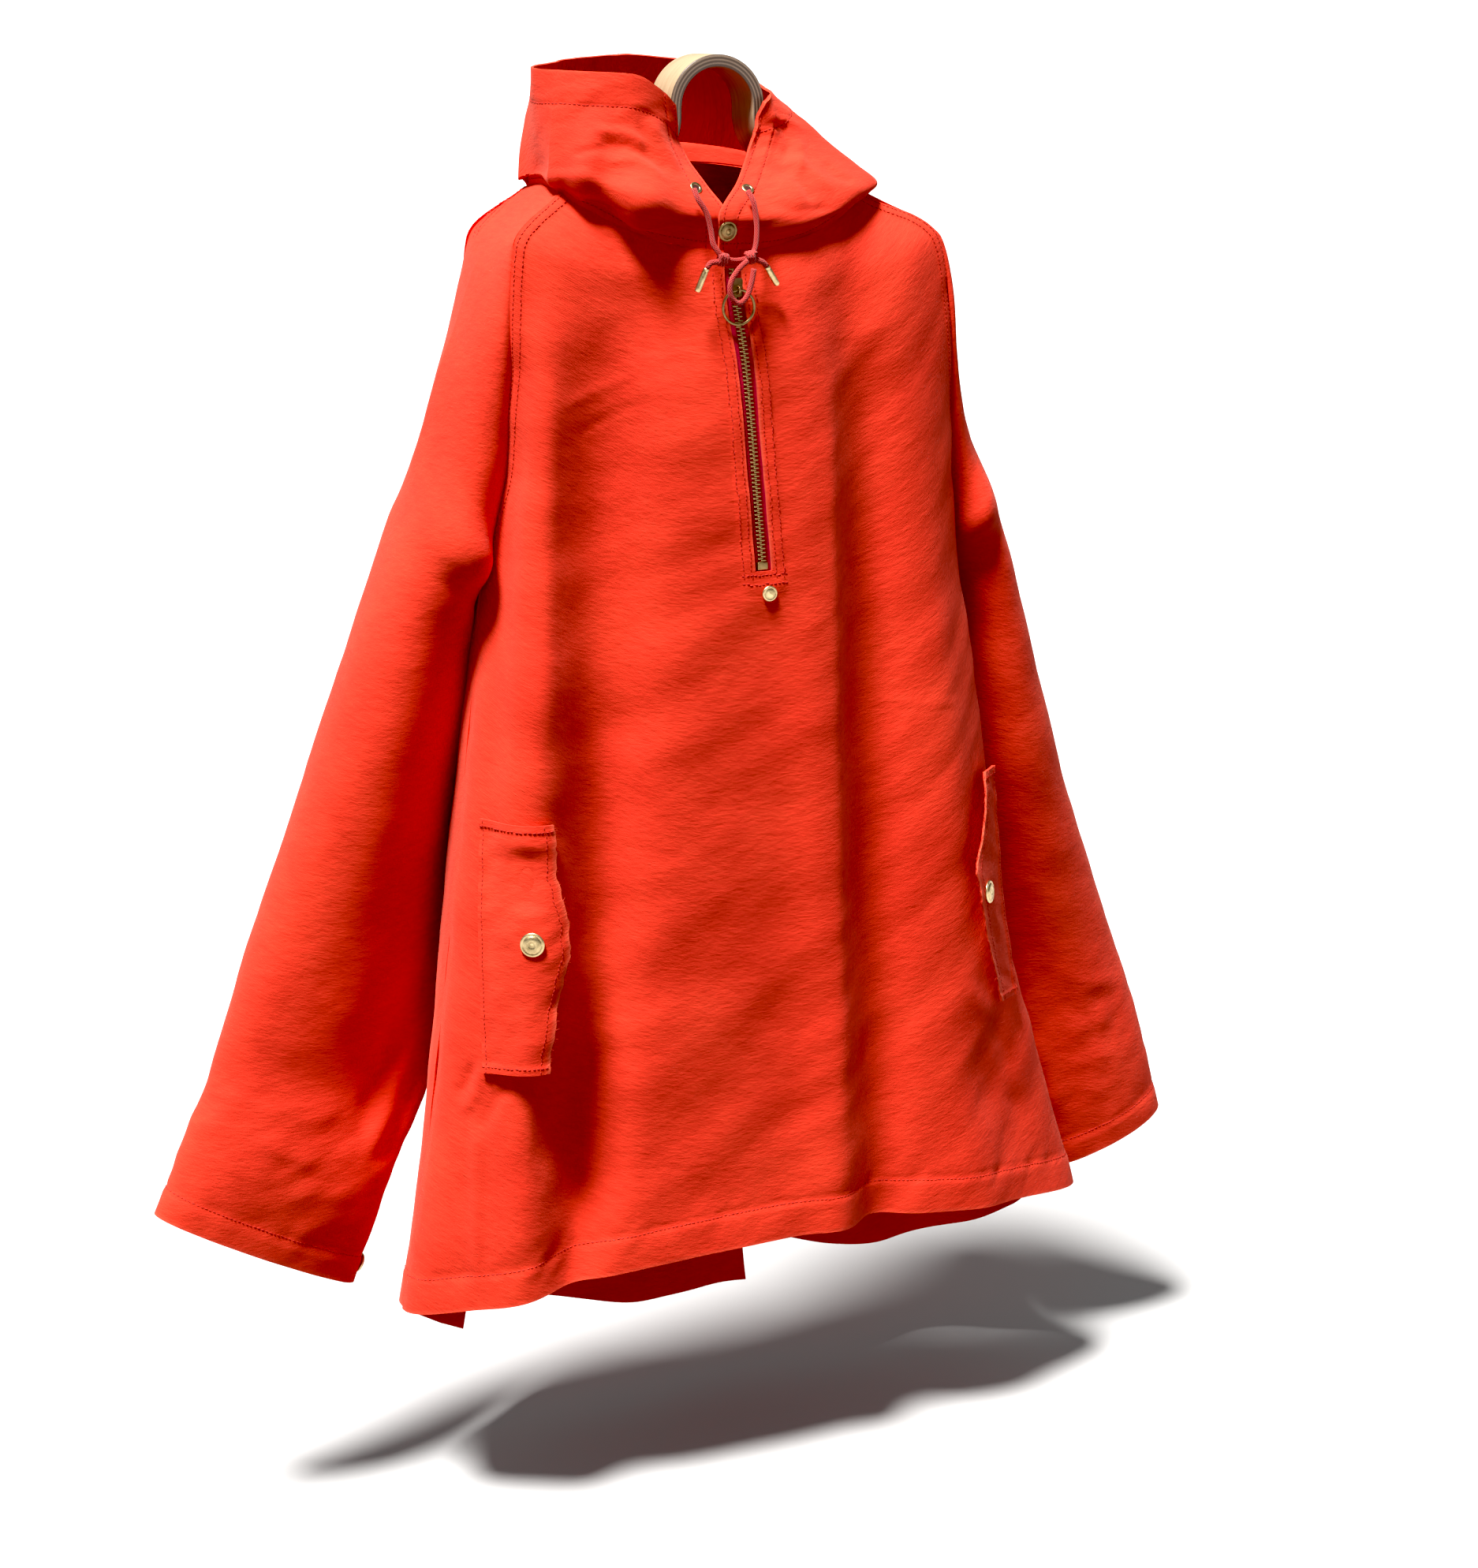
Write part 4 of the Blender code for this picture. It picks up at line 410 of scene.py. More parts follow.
HOOD_CREASES = {
    "left": (
        (((676, 238), (706, 222), (745, 226), (800, 246), (850, 272)), 8, 2.2),
        (((690, 250), (730, 250), (775, 268), (815, 290)), 10, -4.0),
        (((745, 166), (790, 168), (830, 190)), 7, 1.8),
        (((752, 182), (795, 186), (835, 210)), 7, -1.8),
        (((760, 205), (805, 205), (850, 232)), 7, 1.6),
        (((720, 200), (760, 190), (800, 196)), 6, -1.3),
        (((820, 148), (838, 185), (862, 222)), 7, 1.8),
        (((806, 150), (822, 195), (846, 232)), 7, -1.8),
        (((845, 150), (856, 190), (876, 225)), 6, -1.4),
        (((690, 120), (730, 116), (770, 112)), 9, 0.8),
    ),
    "right": (
        (((962, 128), (962, 165), (952, 205)), 6, -2.2),
        (((974, 128), (978, 170), (965, 225)), 7, 2.0),
        (((992, 150), (1000, 185), (990, 215)), 7, -2.2),
        (((1010, 170), (1016, 200), (1005, 235)), 7, 2.0),
        (((975, 212), (1005, 225), (1035, 262)), 8, -2.4),
        (((985, 200), (1020, 215), (1060, 245)), 7, 2.0),
        (((960, 255), (1010, 270), (1060, 262)), 7, -1.6),
        (((1040, 205), (1062, 225), (1085, 232)), 6, -1.5),
    ),
}
HOOD_BACK_CREASES = {  # path of (station, up), half width in those steps, height in mm
    "left": (
        (((5.9, 3.1), (5.4, 2.9), (4.8, 2.6)), 0.25, 3.0),
        (((5.9, 3.7), (5.3, 3.6), (4.7, 3.3)), 0.22, -2.5),
        (((5.6, 4.4), (5.1, 4.0), (4.7, 3.9)), 0.20, 1.8),
    ),
    "right": (
        (((6.1, 3.1), (6.8, 2.9), (7.6, 2.7)), 0.25, 3.0),
        (((6.1, 3.7), (6.9, 3.5), (7.8, 3.3)), 0.22, -2.5),
        (((7.2, 4.3), (8.0, 3.9), (8.8, 3.6)), 0.22, 2.0),
    ),
}
FLAP_CREASES = {
    "left": (
        (((672, 1070), (668, 1120), (664, 1165)), 26, -4.0),
        (((650, 1095), (660, 1150), (665, 1190)), 9, 0.9),
        (((640, 1230), (655, 1290), (650, 1340)), 11, -0.9),
    ),
    "right": ((((1240, 1190), (1262, 1225), (1280, 1250)), 6, -0.8),),
}


def column(levels, columns, name):
    """One named column of a table of rows."""
    return np.array([row[columns.index(name)] for row in levels], float)


def through(positions, values, at):
    """A smooth curve through table values: cubic Hermite with limited slopes, so it never overshoots."""
    positions = np.asarray(positions, float)
    values = np.asarray(values, float)
    at = np.clip(np.asarray(at, float), positions[0], positions[-1])
    steps = np.diff(positions)
    slopes = np.diff(values) / steps
    tangents = np.empty_like(values)
    tangents[0] = slopes[0]
    tangents[-1] = slopes[-1]
    for i in range(1, len(values) - 1):
        before, after = slopes[i - 1], slopes[i]
        flat = before * after <= 0
        tangents[i] = 0.0 if flat else 3 * (steps[i - 1] + steps[i]) / (
            (2 * steps[i] + steps[i - 1]) / before + (steps[i] + 2 * steps[i - 1]) / after
        )
    i = np.clip(np.searchsorted(positions, at, side="right") - 1, 0, len(steps) - 1)
    t = (at - positions[i]) / steps[i]
    return (
        (2 * t**3 - 3 * t**2 + 1) * values[i]
        + (t**3 - 2 * t**2 + t) * steps[i] * tangents[i]
        + (3 * t**2 - 2 * t**3) * values[i + 1]
        + (t**3 - t**2) * steps[i] * tangents[i + 1]
    )


def between(a, b, c, d, t):
    """The point at t, 0 to 1, from b to c on a Catmull-Rom curve."""
    return 0.5 * (2 * b + (c - a) * t + (2 * a - 5 * b + 4 * c - d) * t**2 + (3 * b - a - 3 * c + d) * t**3)


def rounded(points, count=None, step=None):
    """Points at even steps along a Catmull-Rom curve through the given points."""
    points = np.asarray(points, float)
    ends = np.vstack([2 * points[0] - points[1], points, 2 * points[-1] - points[-2]])
    fine = []
    for i in range(len(points) - 1):
        a, b, c, d = ends[i : i + 4]
        for t in np.linspace(0, 1, 24, endpoint=False):
            fine.append(between(a, b, c, d, t))
    fine = np.vstack(fine + [points[-1]])
    along = lengths_along(fine)
    count = count or max(3, int(round(along[-1] / step)) + 1)
    at = np.linspace(0, along[-1], count)
    return np.stack([np.interp(at, along, fine[:, k]) for k in range(fine.shape[1])], axis=1)


def lengths_along(path):
    """How far each point of a path is from its start, along it."""
    return np.concatenate([[0], np.cumsum(np.linalg.norm(np.diff(path, axis=0), axis=1))])


def ease(t):
    """0 below 0, 1 above 1, and smooth between."""
    t = np.clip(t, 0, 1)
    return t * t * (3 - 2 * t)


# ---------------------------------------------------------------- the photograph's view

VIEW_SIZE = (1874, 1988)
VIEW_FOCAL = 3626.0  # in the photograph's pixels
VIEW_PLACE = Vector((-0.9005, -1.9878, 0.0462))
VIEW_RIGHT = Vector((0.9063, -0.4226, 0.0)).normalized()
VIEW_AHEAD = Vector((0.4076, 0.8742, -0.2639)).normalized()


def in_view(points):
    """The place of each point in the photograph's frame."""
    ahead = np.array(VIEW_AHEAD)
    right = np.array(VIEW_RIGHT)
    above = np.cross(right, ahead)
    away = np.asarray(points) - np.array(VIEW_PLACE)
    depth = away @ ahead
    return np.stack([
        VIEW_SIZE[0] / 2 + VIEW_FOCAL * (away @ right) / depth,
        VIEW_SIZE[1] / 2 - VIEW_FOCAL * (away @ above) / depth,
    ], axis=-1)


# ---------------------------------------------------------------- the body's surfaces


def body_at(level):
    """The body table's values at each level, by column name."""
    rows = tuple(BODY_LEVELS.values())
    found = {name: through(range(len(rows)), column(rows, BODY_COLUMNS, name), level) for name in BODY_COLUMNS}
    found["edge_back_y"] = np.where(np.asarray(level) >= LEVEL["underarm"], found["edge_front_y"], found["edge_back_y"])
    return found


def fold_height(folds, level, x):
    height = 0.0
    for stations in folds.values():
        table = np.array(stations)
        middle, width, rise = (through(table[:, 0], table[:, k], level) for k in (1, 2, 3))
        rise = np.where(np.asarray(level) < table[0, 0], 0.0, rise)
        height = height + rise * np.exp(-(((x - middle) / width) ** 2))
    return height


def section(row, across, front):
    """Points of the body's section before folds. across is -1 at the left edge and 1 at the right."""
    middle = (row["left_x"] + row["right_x"]) / 2
    half = (row["right_x"] - row["left_x"]) / 2
    far = np.abs(across)
    turned = np.clip(1 - far ** row["square"], 0, 1) ** (1 / row["square"])
    out = row["open"] * (1 - far**2.6) + (1 - row["open"]) * turned
    edge_y = row["edge_front_y"] if front else row["edge_back_y"]
    middle_y = row["front_y"] if front else row["back_y"]
    middle_z = row["front_z"] if front else row["back_z"]
    x = middle + half * across
    if front:
        x = x + np.sign(across) * row["swell"] * np.exp(-(((far - 0.93) / 0.07) ** 2))
    y = edge_y + (middle_y - edge_y) * out
    z = middle_z + (np.where(across < 0, row["left_z"], row["right_z"]) - middle_z) * far**2.2
    return np.stack(np.broadcast_arrays(x, y, z), axis=-1)


def body_points(level, across, front):
    """Points of the front or the back, with the large folds moved out along the section's normal."""
    row = body_at(level)
    points = section(row, across, front)
    before = section(row, np.maximum(across - 0.01, -1), front)
    after = section(row, np.minimum(across + 0.01, 1), front)
    normal = np.stack([before[..., 1] - after[..., 1], after[..., 0] - before[..., 0]], axis=-1)
    normal /= np.linalg.norm(normal, axis=-1, keepdims=True)
    rise = ease((1 - np.abs(across)) / 0.12) * fold_height(FRONT_FOLDS if front else BACK_FOLDS, level, points[..., 0])
    points[..., :2] += normal * rise[..., None] * (-1 if front else 1)
    return points


def front_points(level, across):
    return body_points(level, across, True)


def back_points(level, across, half):
    points = body_points(level, across, False)
    tail = TAIL_LEFT if half == "left" else TAIL_RIGHT
    drop = through(tail["at"], tail["drop"], across)
    fall = np.clip((level - LEVEL["underarm"]) / (LEVEL["hem"] - LEVEL["underarm"]), 0, 1)
    points[..., 2] -= drop * ease(fall) ** 1.5
    return points


def unit(vectors):
    return vectors / np.maximum(np.linalg.norm(vectors, axis=-1, keepdims=True), 1e-12)


def front_frame(level, across, stand=0.0):
    """Places on the front, moved out by stand, and the directions across, down and out there."""
    level, across = np.broadcast_arrays(np.asarray(level, float), np.asarray(across, float))
    over = unit(front_points(level, across + 0.02) - front_points(level, across - 0.02))
    down = unit(front_points(level + 0.04, across) - front_points(level - 0.04, across))
    out = unit(np.cross(over, down))
    out *= np.where(out[..., 1:2] > 0, -1, 1)
    return front_points(level, across) + out * np.asarray(stand)[..., None], over, down, out


def girth_part(x, level):
    row = body_at(level)
    return (x - (row["left_x"] + row["right_x"]) / 2) / ((row["right_x"] - row["left_x"]) / 2)


def zip_x(level):
    return through(ZIP_LEAN["level"], ZIP_LEAN["x"], level)


def sleeve_points(side, level, part):
    """part runs 0 to 1, from the front seam over the outer edge to the back seam."""
    table = SLEEVE_LEFT if side == "left" else SLEEVE_RIGHT
    levels = column(table, SLEEVE_COLUMNS, "level")
    rows = {name: through(levels, column(table, SLEEVE_COLUMNS, name), level) for name in SLEEVE_COLUMNS}
    low = body_at(np.minimum(level, LEVEL["underarm"] - 0.001))
    tubes = [row for row in table if row[1]]
    closing = ease((np.asarray(level) - ZIP_BOTTOM_LEVEL) / 0.36)
    ahead = part <= 0.5
    t = np.where(ahead, part * 2, (1 - part) * 2)
    turned_in = rows["round"]
    over = (1 - turned_in) * np.sin(np.pi * t / 2) + turned_in * (1 - np.cos(np.pi * t)) / 2
    settle = (1 - turned_in) * (1 - np.cos(np.pi * t / 2)) + turned_in * (1 - np.cos(np.pi * t)) / 2
    shares = {"x": over, "y": settle, "z": over * 0.5 + settle * 0.5}
    ends = {"x": (low[side + "_x"],) * 2, "y": (low["edge_front_y"], low["edge_back_y"]), "z": (low[side + "_z"],) * 2}
    parts = []
    for axis in "xyz":
        closed = through([row[0] for row in tubes], column(tubes, SLEEVE_COLUMNS, "inner_" + axis), np.maximum(level, tubes[0][0]))
        edge = np.where(ahead, *(end + (closed - end) * closing for end in ends[axis]))
        parts.append(edge + (rows["outer_" + axis] - edge) * shares[axis])
    bulge = rows["depth"] * np.maximum(np.sin(np.pi * t), 0) ** (1.2 - 0.3 * ease((turned_in - 0.4) / 0.5))
    parts[1] = parts[1] + np.where(ahead, -bulge, bulge)
    return np.stack(np.broadcast_arrays(*parts), axis=-1)


def neck_line():
    """The body's neck edge in order: front left, left saddle, back, right saddle, front right."""
    front = front_points(0.0, np.linspace(-1, 1, 121))
    back = back_points(0.0, np.linspace(-1, 1, 121), "left")
    saddles = {side: sleeve_points(side, 0.0, np.linspace(0, 1, 49)) for side in ("left", "right")}
    return np.vstack([front[59::-1], saddles["left"], back, saddles["right"][::-1], front[:59:-1]])


def hood_guides(stations):
    """The six guide points up the cloth at each station, from the neck seam to the rim."""
    rows = tuple(HOOD_STATIONS.values())
    get = {name: through(range(len(rows)), column(rows, HOOD_COLUMNS, name), stations) for name in HOOD_COLUMNS}
    line = neck_line()
    start, step = line[:-1], np.diff(line, axis=0)
    size = np.maximum((step[:, :2] ** 2).sum(axis=1), 1e-12)
    wanted = np.stack([get["neck_x"], get["neck_y"]], axis=1)
    share = np.clip(((wanted[:, None] - start[None, :, :2]) * step[None, :, :2]).sum(axis=2) / size, 0, 1)
    places = start[None] + step[None] * share[..., None]
    nearest = ((places[..., :2] - wanted[:, None]) ** 2).sum(axis=2).argmin(axis=1)
    neck = places[np.arange(len(stations)), nearest]
    outward = np.stack([neck[:, 0] + 0.010, neck[:, 1] * 2.0, np.zeros(len(neck))], axis=1)
    outward = unit(outward)
    neck = neck + outward * get["over"][:, None] + (0, 0, HOOD_SEAM_LIFT)
    rim = np.stack([get["rim_x"], get["rim_y"], get["rim_z"]], axis=1)
    guides = [neck]
    for name in ("hollow", "under", "roll", "belly"):
        height = get[name + "_z"]
        if name == "hollow":
            height = np.maximum(height, neck[:, 2] + HOOD_STAND_UP)
        lean = ease((height - neck[:, 2]) / (rim[:, 2] - neck[:, 2])) if name in ("roll", "belly") else 0 * height
        side = neck + (rim - neck) * lean[:, None]
        side[:, 2] = height
        guides.append(side + outward * get[name + "_out"][:, None])
    return np.stack(guides + [rim], axis=1)


def hood_points(stations, ups):
    """A grid of the hood's points, a row for each place up the cloth (0 to 5)."""
    guides = hood_guides(np.asarray(stations, float))
    first = 2 * guides[:, :1] - guides[:, 1:2]
    last = 2 * guides[:, -1:] - guides[:, -2:-1]
    ends = np.concatenate([first, guides, last], axis=1)
    rows = []
    for up in ups:
        i = min(int(up), guides.shape[1] - 2)
        t = up - i
        a, b, c, d = (ends[:, i + k] for k in range(4))
        rows.append(between(a, b, c, d, t))
    return np.array(rows)


# ---------------------------------------------------------------- cloth


def soft_noise(u, v, size, seed):
    """Smooth noise from -1 to 1 with dents of about this size, in the units of u and v."""
    lattice = np.random.default_rng(seed).uniform(-1, 1, (61, 67))
    x, y = np.asarray(u) / size + 500, np.asarray(v) / size + 500
    i, j = np.floor(x).astype(int), np.floor(y).astype(int)
    fx, fy = ease(x - i), ease(y - j)
    corner = lambda a, b: lattice[(i + a) % 61, (j + b) % 67]
    low = corner(0, 0) * (1 - fx) + corner(1, 0) * fx
    high = corner(0, 1) * (1 - fx) + corner(1, 1) * fx
    return low * (1 - fy) + high * fy


def crease(where, path, width, height, kind="ridge"):
    """The height of one crease at each place. path, width and where share one unit.

    A ridge is raised along the path and dies away at its two ends. A step is height on the path's
    left-hand side and nothing on its right.
    """
    path = np.asarray(path, float)
    best = np.full(where.shape[:-1], 1e9)
    side = np.zeros(where.shape[:-1])
    along = np.zeros(where.shape[:-1])
    lengths = np.linalg.norm(np.diff(path, axis=0), axis=1)
    total = lengths.sum()
    done = 0.0
    for start, end, length in zip(path, path[1:], lengths):
        step = end - start
        share = np.clip(((where - start) @ step) / length**2, 0, 1)
        away = where - start - share[..., None] * step
        distance = np.linalg.norm(away, axis=-1)
        near = distance < best
        best = np.where(near, distance, best)
        turn = step[0] * away[..., 1] - step[1] * away[..., 0]
        side = np.where(near, -np.sign(turn), side)
        along = np.where(near, (done + share * length) / total, along)
        done += length
    fade = ease(along / 0.25) * ease((1 - along) / 0.25)
    if kind == "ridge":
        return height * np.exp(-((best / width) ** 2)) * fade
    return height * (0.5 + 0.5 * np.tanh(side * best / width)) * fade * np.exp(-((best / (width * 9)) ** 2))


def even_parts(points, parts, count):
    """At each row of a fine grid, the parts at which count steps along the row are even."""
    lengths = np.linalg.norm(np.diff(points, axis=1), axis=2)
    along = np.concatenate([np.zeros((len(points), 1)), np.cumsum(lengths, axis=1)], axis=1)
    return np.array([np.interp(np.linspace(0, row[-1], count + 1), row, part) for row, part in zip(along, parts)])


class Cloth:
    """A piece of cloth as a grid: its middle surface, outward normals, and lengths across and down it."""

    def __init__(self, name, grid, outward, wall=WALL):
        self.name, self.wall = name, wall
        self.points = np.asarray(grid, float)
        self.measure()
        self.normals = grid_normals(self.points)
        if (self.normals * outward).sum() < 0:
            self.normals = -self.normals
        self.height = np.zeros(self.points.shape[:2])
        self.extra = np.zeros(self.points.shape[:2])  # more thickness on the outer side
        self.wear = np.zeros(self.points.shape[:2])
        self.view = in_view(self.points)

    def measure(self):
        across = np.linalg.norm(np.diff(self.points, axis=1), axis=2)
        down = np.linalg.norm(np.diff(self.points, axis=0), axis=2)
        rows, columns = self.points.shape[:2]
        self.u = np.concatenate([np.zeros((rows, 1)), np.cumsum(across, axis=1)], axis=1)
        self.v = np.concatenate([np.zeros((1, columns)), np.cumsum(down, axis=0)], axis=0)
        self.width = self.u[:, -1:]
        self.length = self.v[-1:, :]
        self.flat = (float(self.width.max()), float(self.length.max()))
        one = np.cross(self.points[1:, 1:] - self.points[:-1, :-1], self.points[1:, :-1] - self.points[:-1, 1:])
        self.cell_area = np.linalg.norm(one, axis=2) / 2

    def crease(self, table):
        """Creases in the photograph's frame: rows of (path, half width in px, height in mm, kind)."""
        for path, width, height, *kind in table:
            self.height += crease(self.view, path, width, height / 1000, *kind)

    def dents(self, rows, seed=0):
        """Soft unevenness: rows of (size in mm, height in mm, lean)."""
        for k, (size, height, lean) in enumerate(rows):
            u = self.u + lean * self.v
            self.height += soft_noise(u, self.v, size / 1000, seed + k) * height / 1000

    def swell(self, table, share=1.0):
        """Large soft shapes: rows of (middle, half sizes in px, turn, height in mm)."""
        for middle, (wide, tall), turn, height in table:
            away = self.view - middle
            a = math.radians(turn)
            x = away[..., 0] * math.cos(a) + away[..., 1] * math.sin(a)
            y = -away[..., 0] * math.sin(a) + away[..., 1] * math.cos(a)
            self.height += np.exp(-((x / wide) ** 2) - ((y / tall) ** 2)) * share * height / 1000

    def moved(self):
        """Settles the creases: moves the middle surface and takes new normals."""
        self.points = self.points + self.normals * self.height[..., None]
        self.height[:] = 0
        sign = self.normals
        self.normals = grid_normals(self.points)
        self.normals *= np.sign((self.normals * sign).sum(axis=2, keepdims=True))

    def outer(self, stand=0.0):
        return self.points + self.normals * (self.wall / 2 + self.extra + stand)[..., None]

    def at(self, row, column_, stand=0.0):
        """Points on the outer face at parts of rows and columns, and the normals there."""
        rows, columns = self.points.shape[:2]
        row = np.clip(np.asarray(row, float), 0, rows - 1.001)
        column_ = np.clip(np.asarray(column_, float), 0, columns - 1.001)
        i, j = row.astype(int), column_.astype(int)
        a, b = (row - i)[..., None], (column_ - j)[..., None]

        def mix(grid):
            return (grid[i, j] * (1 - a) * (1 - b) + grid[i + 1, j] * a * (1 - b)
                    + grid[i, j + 1] * (1 - a) * b + grid[i + 1, j + 1] * a * b)
        normals = unit(mix(self.normals))
        return mix(self.outer(0.0)) + normals * stand, normals

    def column_where(self, field, value):
        """For each row, the part-column at which a field that grows or falls along it has this value."""
        found = []
        for line in field:
            order = np.argsort(line)
            found.append(np.interp(value, line[order], np.arange(len(line))[order]))
        return np.array(found)

    def row_where(self, field, value):
        return self.column_where(field.T, value)

    def build(self, look, cells=None, nodes=()):
        outer = self.outer()
        inner = self.points - self.normals * self.wall / 2
        rows, columns = outer.shape[:2]
        cells = np.ones((rows - 1, columns - 1), bool) if cells is None else cells
        index = np.arange(rows * columns).reshape(rows, columns)
        a, b, c, d = index[:-1, :-1], index[:-1, 1:], index[1:, 1:], index[1:, :-1]
        quads = np.stack([a, b, c, d], axis=-1)[cells]
        inside = np.pad(cells, 1)
        rims = []
        for (one, two), there in (((a, b), inside[:-2, 1:-1]), ((b, c), inside[1:-1, 2:]),
                                  ((c, d), inside[2:, 1:-1]), ((d, a), inside[1:-1, :-2])):
            open_side = cells & ~there
            rims.append(np.stack([one[open_side], two[open_side]], axis=-1))
        rims = np.concatenate(rims)
        far = rows * columns
        rim_faces = np.stack([rims[:, 1], rims[:, 0], rims[:, 0] + far, rims[:, 1] + far], axis=-1)
        faces = np.concatenate([quads, quads[:, ::-1] + far, rim_faces])
        # the faces have to turn the way that the normals point
        one = np.cross(outer[rows // 2, columns // 2 + 1] - outer[rows // 2, columns // 2],
                       outer[rows // 2 + 1, columns // 2] - outer[rows // 2, columns // 2])
        if (one * self.normals[rows // 2, columns // 2]).sum() < 0:
            faces = faces[:, ::-1]
        points = np.concatenate([outer.reshape(-1, 3), inner.reshape(-1, 3)])
        uv = np.stack([self.u, -self.v], axis=-1).reshape(-1, 2)
        uv = np.concatenate([uv, uv])
        wear = np.concatenate([self.wear.ravel(), self.wear.ravel() * 0])
        piece = add_mesh(self.name, points, faces, look, uv=uv, wear=wear, nodes=nodes)
        piece.data.set_sharp_from_angle(angle=math.radians(55))
        self.area = float(self.cell_area[cells].sum())
        return piece


def grid_normals(grid):
    normals = np.cross(np.gradient(grid, axis=1), np.gradient(grid, axis=0))
    return unit(normals)


def add_mesh(name, points, faces, look, uv=None, wear=None, nodes=(), body="garment"):
    """An object from points and faces, with its unused points left out."""
    points = np.asarray(points, float)
    faces = [list(map(int, face)) for face in faces] if not isinstance(faces, np.ndarray) else faces
    if isinstance(faces, np.ndarray):
        used, inverse = np.unique(faces, return_inverse=True)
        faces = inverse.reshape(faces.shape)
        points = points[used]
        uv = None if uv is None else uv[used]
        wear = None if wear is None else wear[used]
        faces = faces.tolist()
    mesh = bpy.data.meshes.new(name)
    mesh.from_pydata(points.tolist(), [], faces)
    mesh.shade_smooth()
    if uv is not None:
        corner = np.empty(len(mesh.loops), np.int32)
        mesh.loops.foreach_get("vertex_index", corner)
        layer = mesh.uv_layers.new(name="cloth")
        layer.data.foreach_set("uv", uv[corner].ravel())
    if wear is not None:
        layer = mesh.attributes.new("wear", "FLOAT", "POINT")
        layer.data.foreach_set("value", wear)
    return add_piece(name, mesh, look, nodes, body)


def add_piece(name, mesh, look, nodes=(), body="garment"):
    if look:
        mesh.materials.append(LOOKS[look])
    piece = bpy.data.objects.new(name + "_dressed" if name in frame["nodes"] else name, mesh)
    bpy.context.scene.collection.objects.link(piece)
    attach(piece, body)
    if nodes:
        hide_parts(*nodes)
    return piece


# ---------------------------------------------------------------- small repeated things


def block(size, bevel, segments=1):
    """A bevelled block round the origin, as (points, triangles and quads)."""
    mesh = bmesh.new()
    bmesh.ops.create_cube(mesh, size=1.0)
    bmesh.ops.scale(mesh, vec=size, verts=mesh.verts)
    bmesh.ops.bevel(mesh, geom=list(mesh.edges), offset=bevel, segments=segments, affect="EDGES", profile=0.6)
    bmesh.ops.triangulate(mesh, faces=mesh.faces)
    mesh.verts.ensure_lookup_table()
    points = np.array([v.co for v in mesh.verts])
    faces = np.array([[v.index for v in face.verts] for face in mesh.faces])
    mesh.free()
    return points, faces


def bead(length, width, height):
    """A stitch: a low eight-sided bead along X, flat underneath."""
    ring = [(0.0, -0.5, 0.0), (0.0, -0.35, 0.7), (0.0, 0.0, 1.0), (0.0, 0.35, 0.7), (0.0, 0.5, 0.0)]
    points, faces = [], []
    for x, swell in ((-0.5, 0.12), (-0.32, 0.85), (0.0, 1.0), (0.32, 0.85), (0.5, 0.12)):
        points += [(x * length, y * width * swell, z * height * swell - 0.15 * height) for _, y, z in ring]
    for k in range(4):
        for j in range(4):
            a = k * 5 + j
            faces += [(a, a + 5, a + 6), (a, a + 6, a + 1)]
    return np.array(points), np.array(faces)


def scatter(name, shape, places, alongs, outs, look, nodes=(), scales=None):
    """Copies of one small shape, its X along alongs and its Z along outs, as one mesh."""
    shape_points, shape_faces = shape
    along = unit(np.asarray(alongs, float))
    out = unit(np.asarray(outs, float) - along * (np.asarray(outs) * along).sum(axis=1, keepdims=True))
    side = np.cross(out, along)
    turn = np.stack([along, side, out], axis=2)
    scales = np.ones((len(along), 3)) if scales is None else scales
    moved = np.einsum("nij,nkj->nki", turn, shape_points[None] * scales[:, None]) + np.asarray(places)[:, None]
    faces = shape_faces[None] + (np.arange(len(along)) * len(shape_points))[:, None, None]
    return add_mesh(name, moved.reshape(-1, 3), faces.reshape(-1, shape_faces.shape[1]), look, nodes=nodes)


STITCHES = {"places": [], "alongs": [], "outs": [], "scales": []}


def stitch(cloth, rows, columns, pitch=0.0034, seed=0, loose=0.0):
    """A row of stitches through a path of parts of rows and columns on a cloth's outer face."""
    points, normals = cloth.at(rows, columns, STITCH_STAND)
    along = lengths_along(points)
    if along[-1] < pitch * 2:
        return
    rng = np.random.default_rng(seed)
    at = np.arange(pitch / 2, along[-1], pitch)
    at = at + rng.normal(0, 0.00025, len(at))
    pick = lambda field, where: np.stack([np.interp(where, along, field[:, k]) for k in range(3)], axis=1)
    places = pick(points, at)
    ways = pick(points, at + 0.0012) - pick(points, at - 0.0012)
    outs = pick(normals, at)
    sides = np.cross(unit(ways), outs)
    places = places + sides * rng.normal(0, 0.00012 + loose, len(at))[:, None]
    STITCHES["places"].append(places)
    sway = sides * rng.normal(0, 0.12, len(at))[:, None]
    STITCHES["alongs"].append(ways + sway * np.linalg.norm(ways, axis=1, keepdims=True))
    STITCHES["outs"].append(outs)
    sizes = [rng.uniform(low, high, len(at)) for low, high in ((0.85, 1.1), (0.9, 1.15), (0.8, 1.2))]
    STITCHES["scales"].append(np.stack(sizes, axis=1))


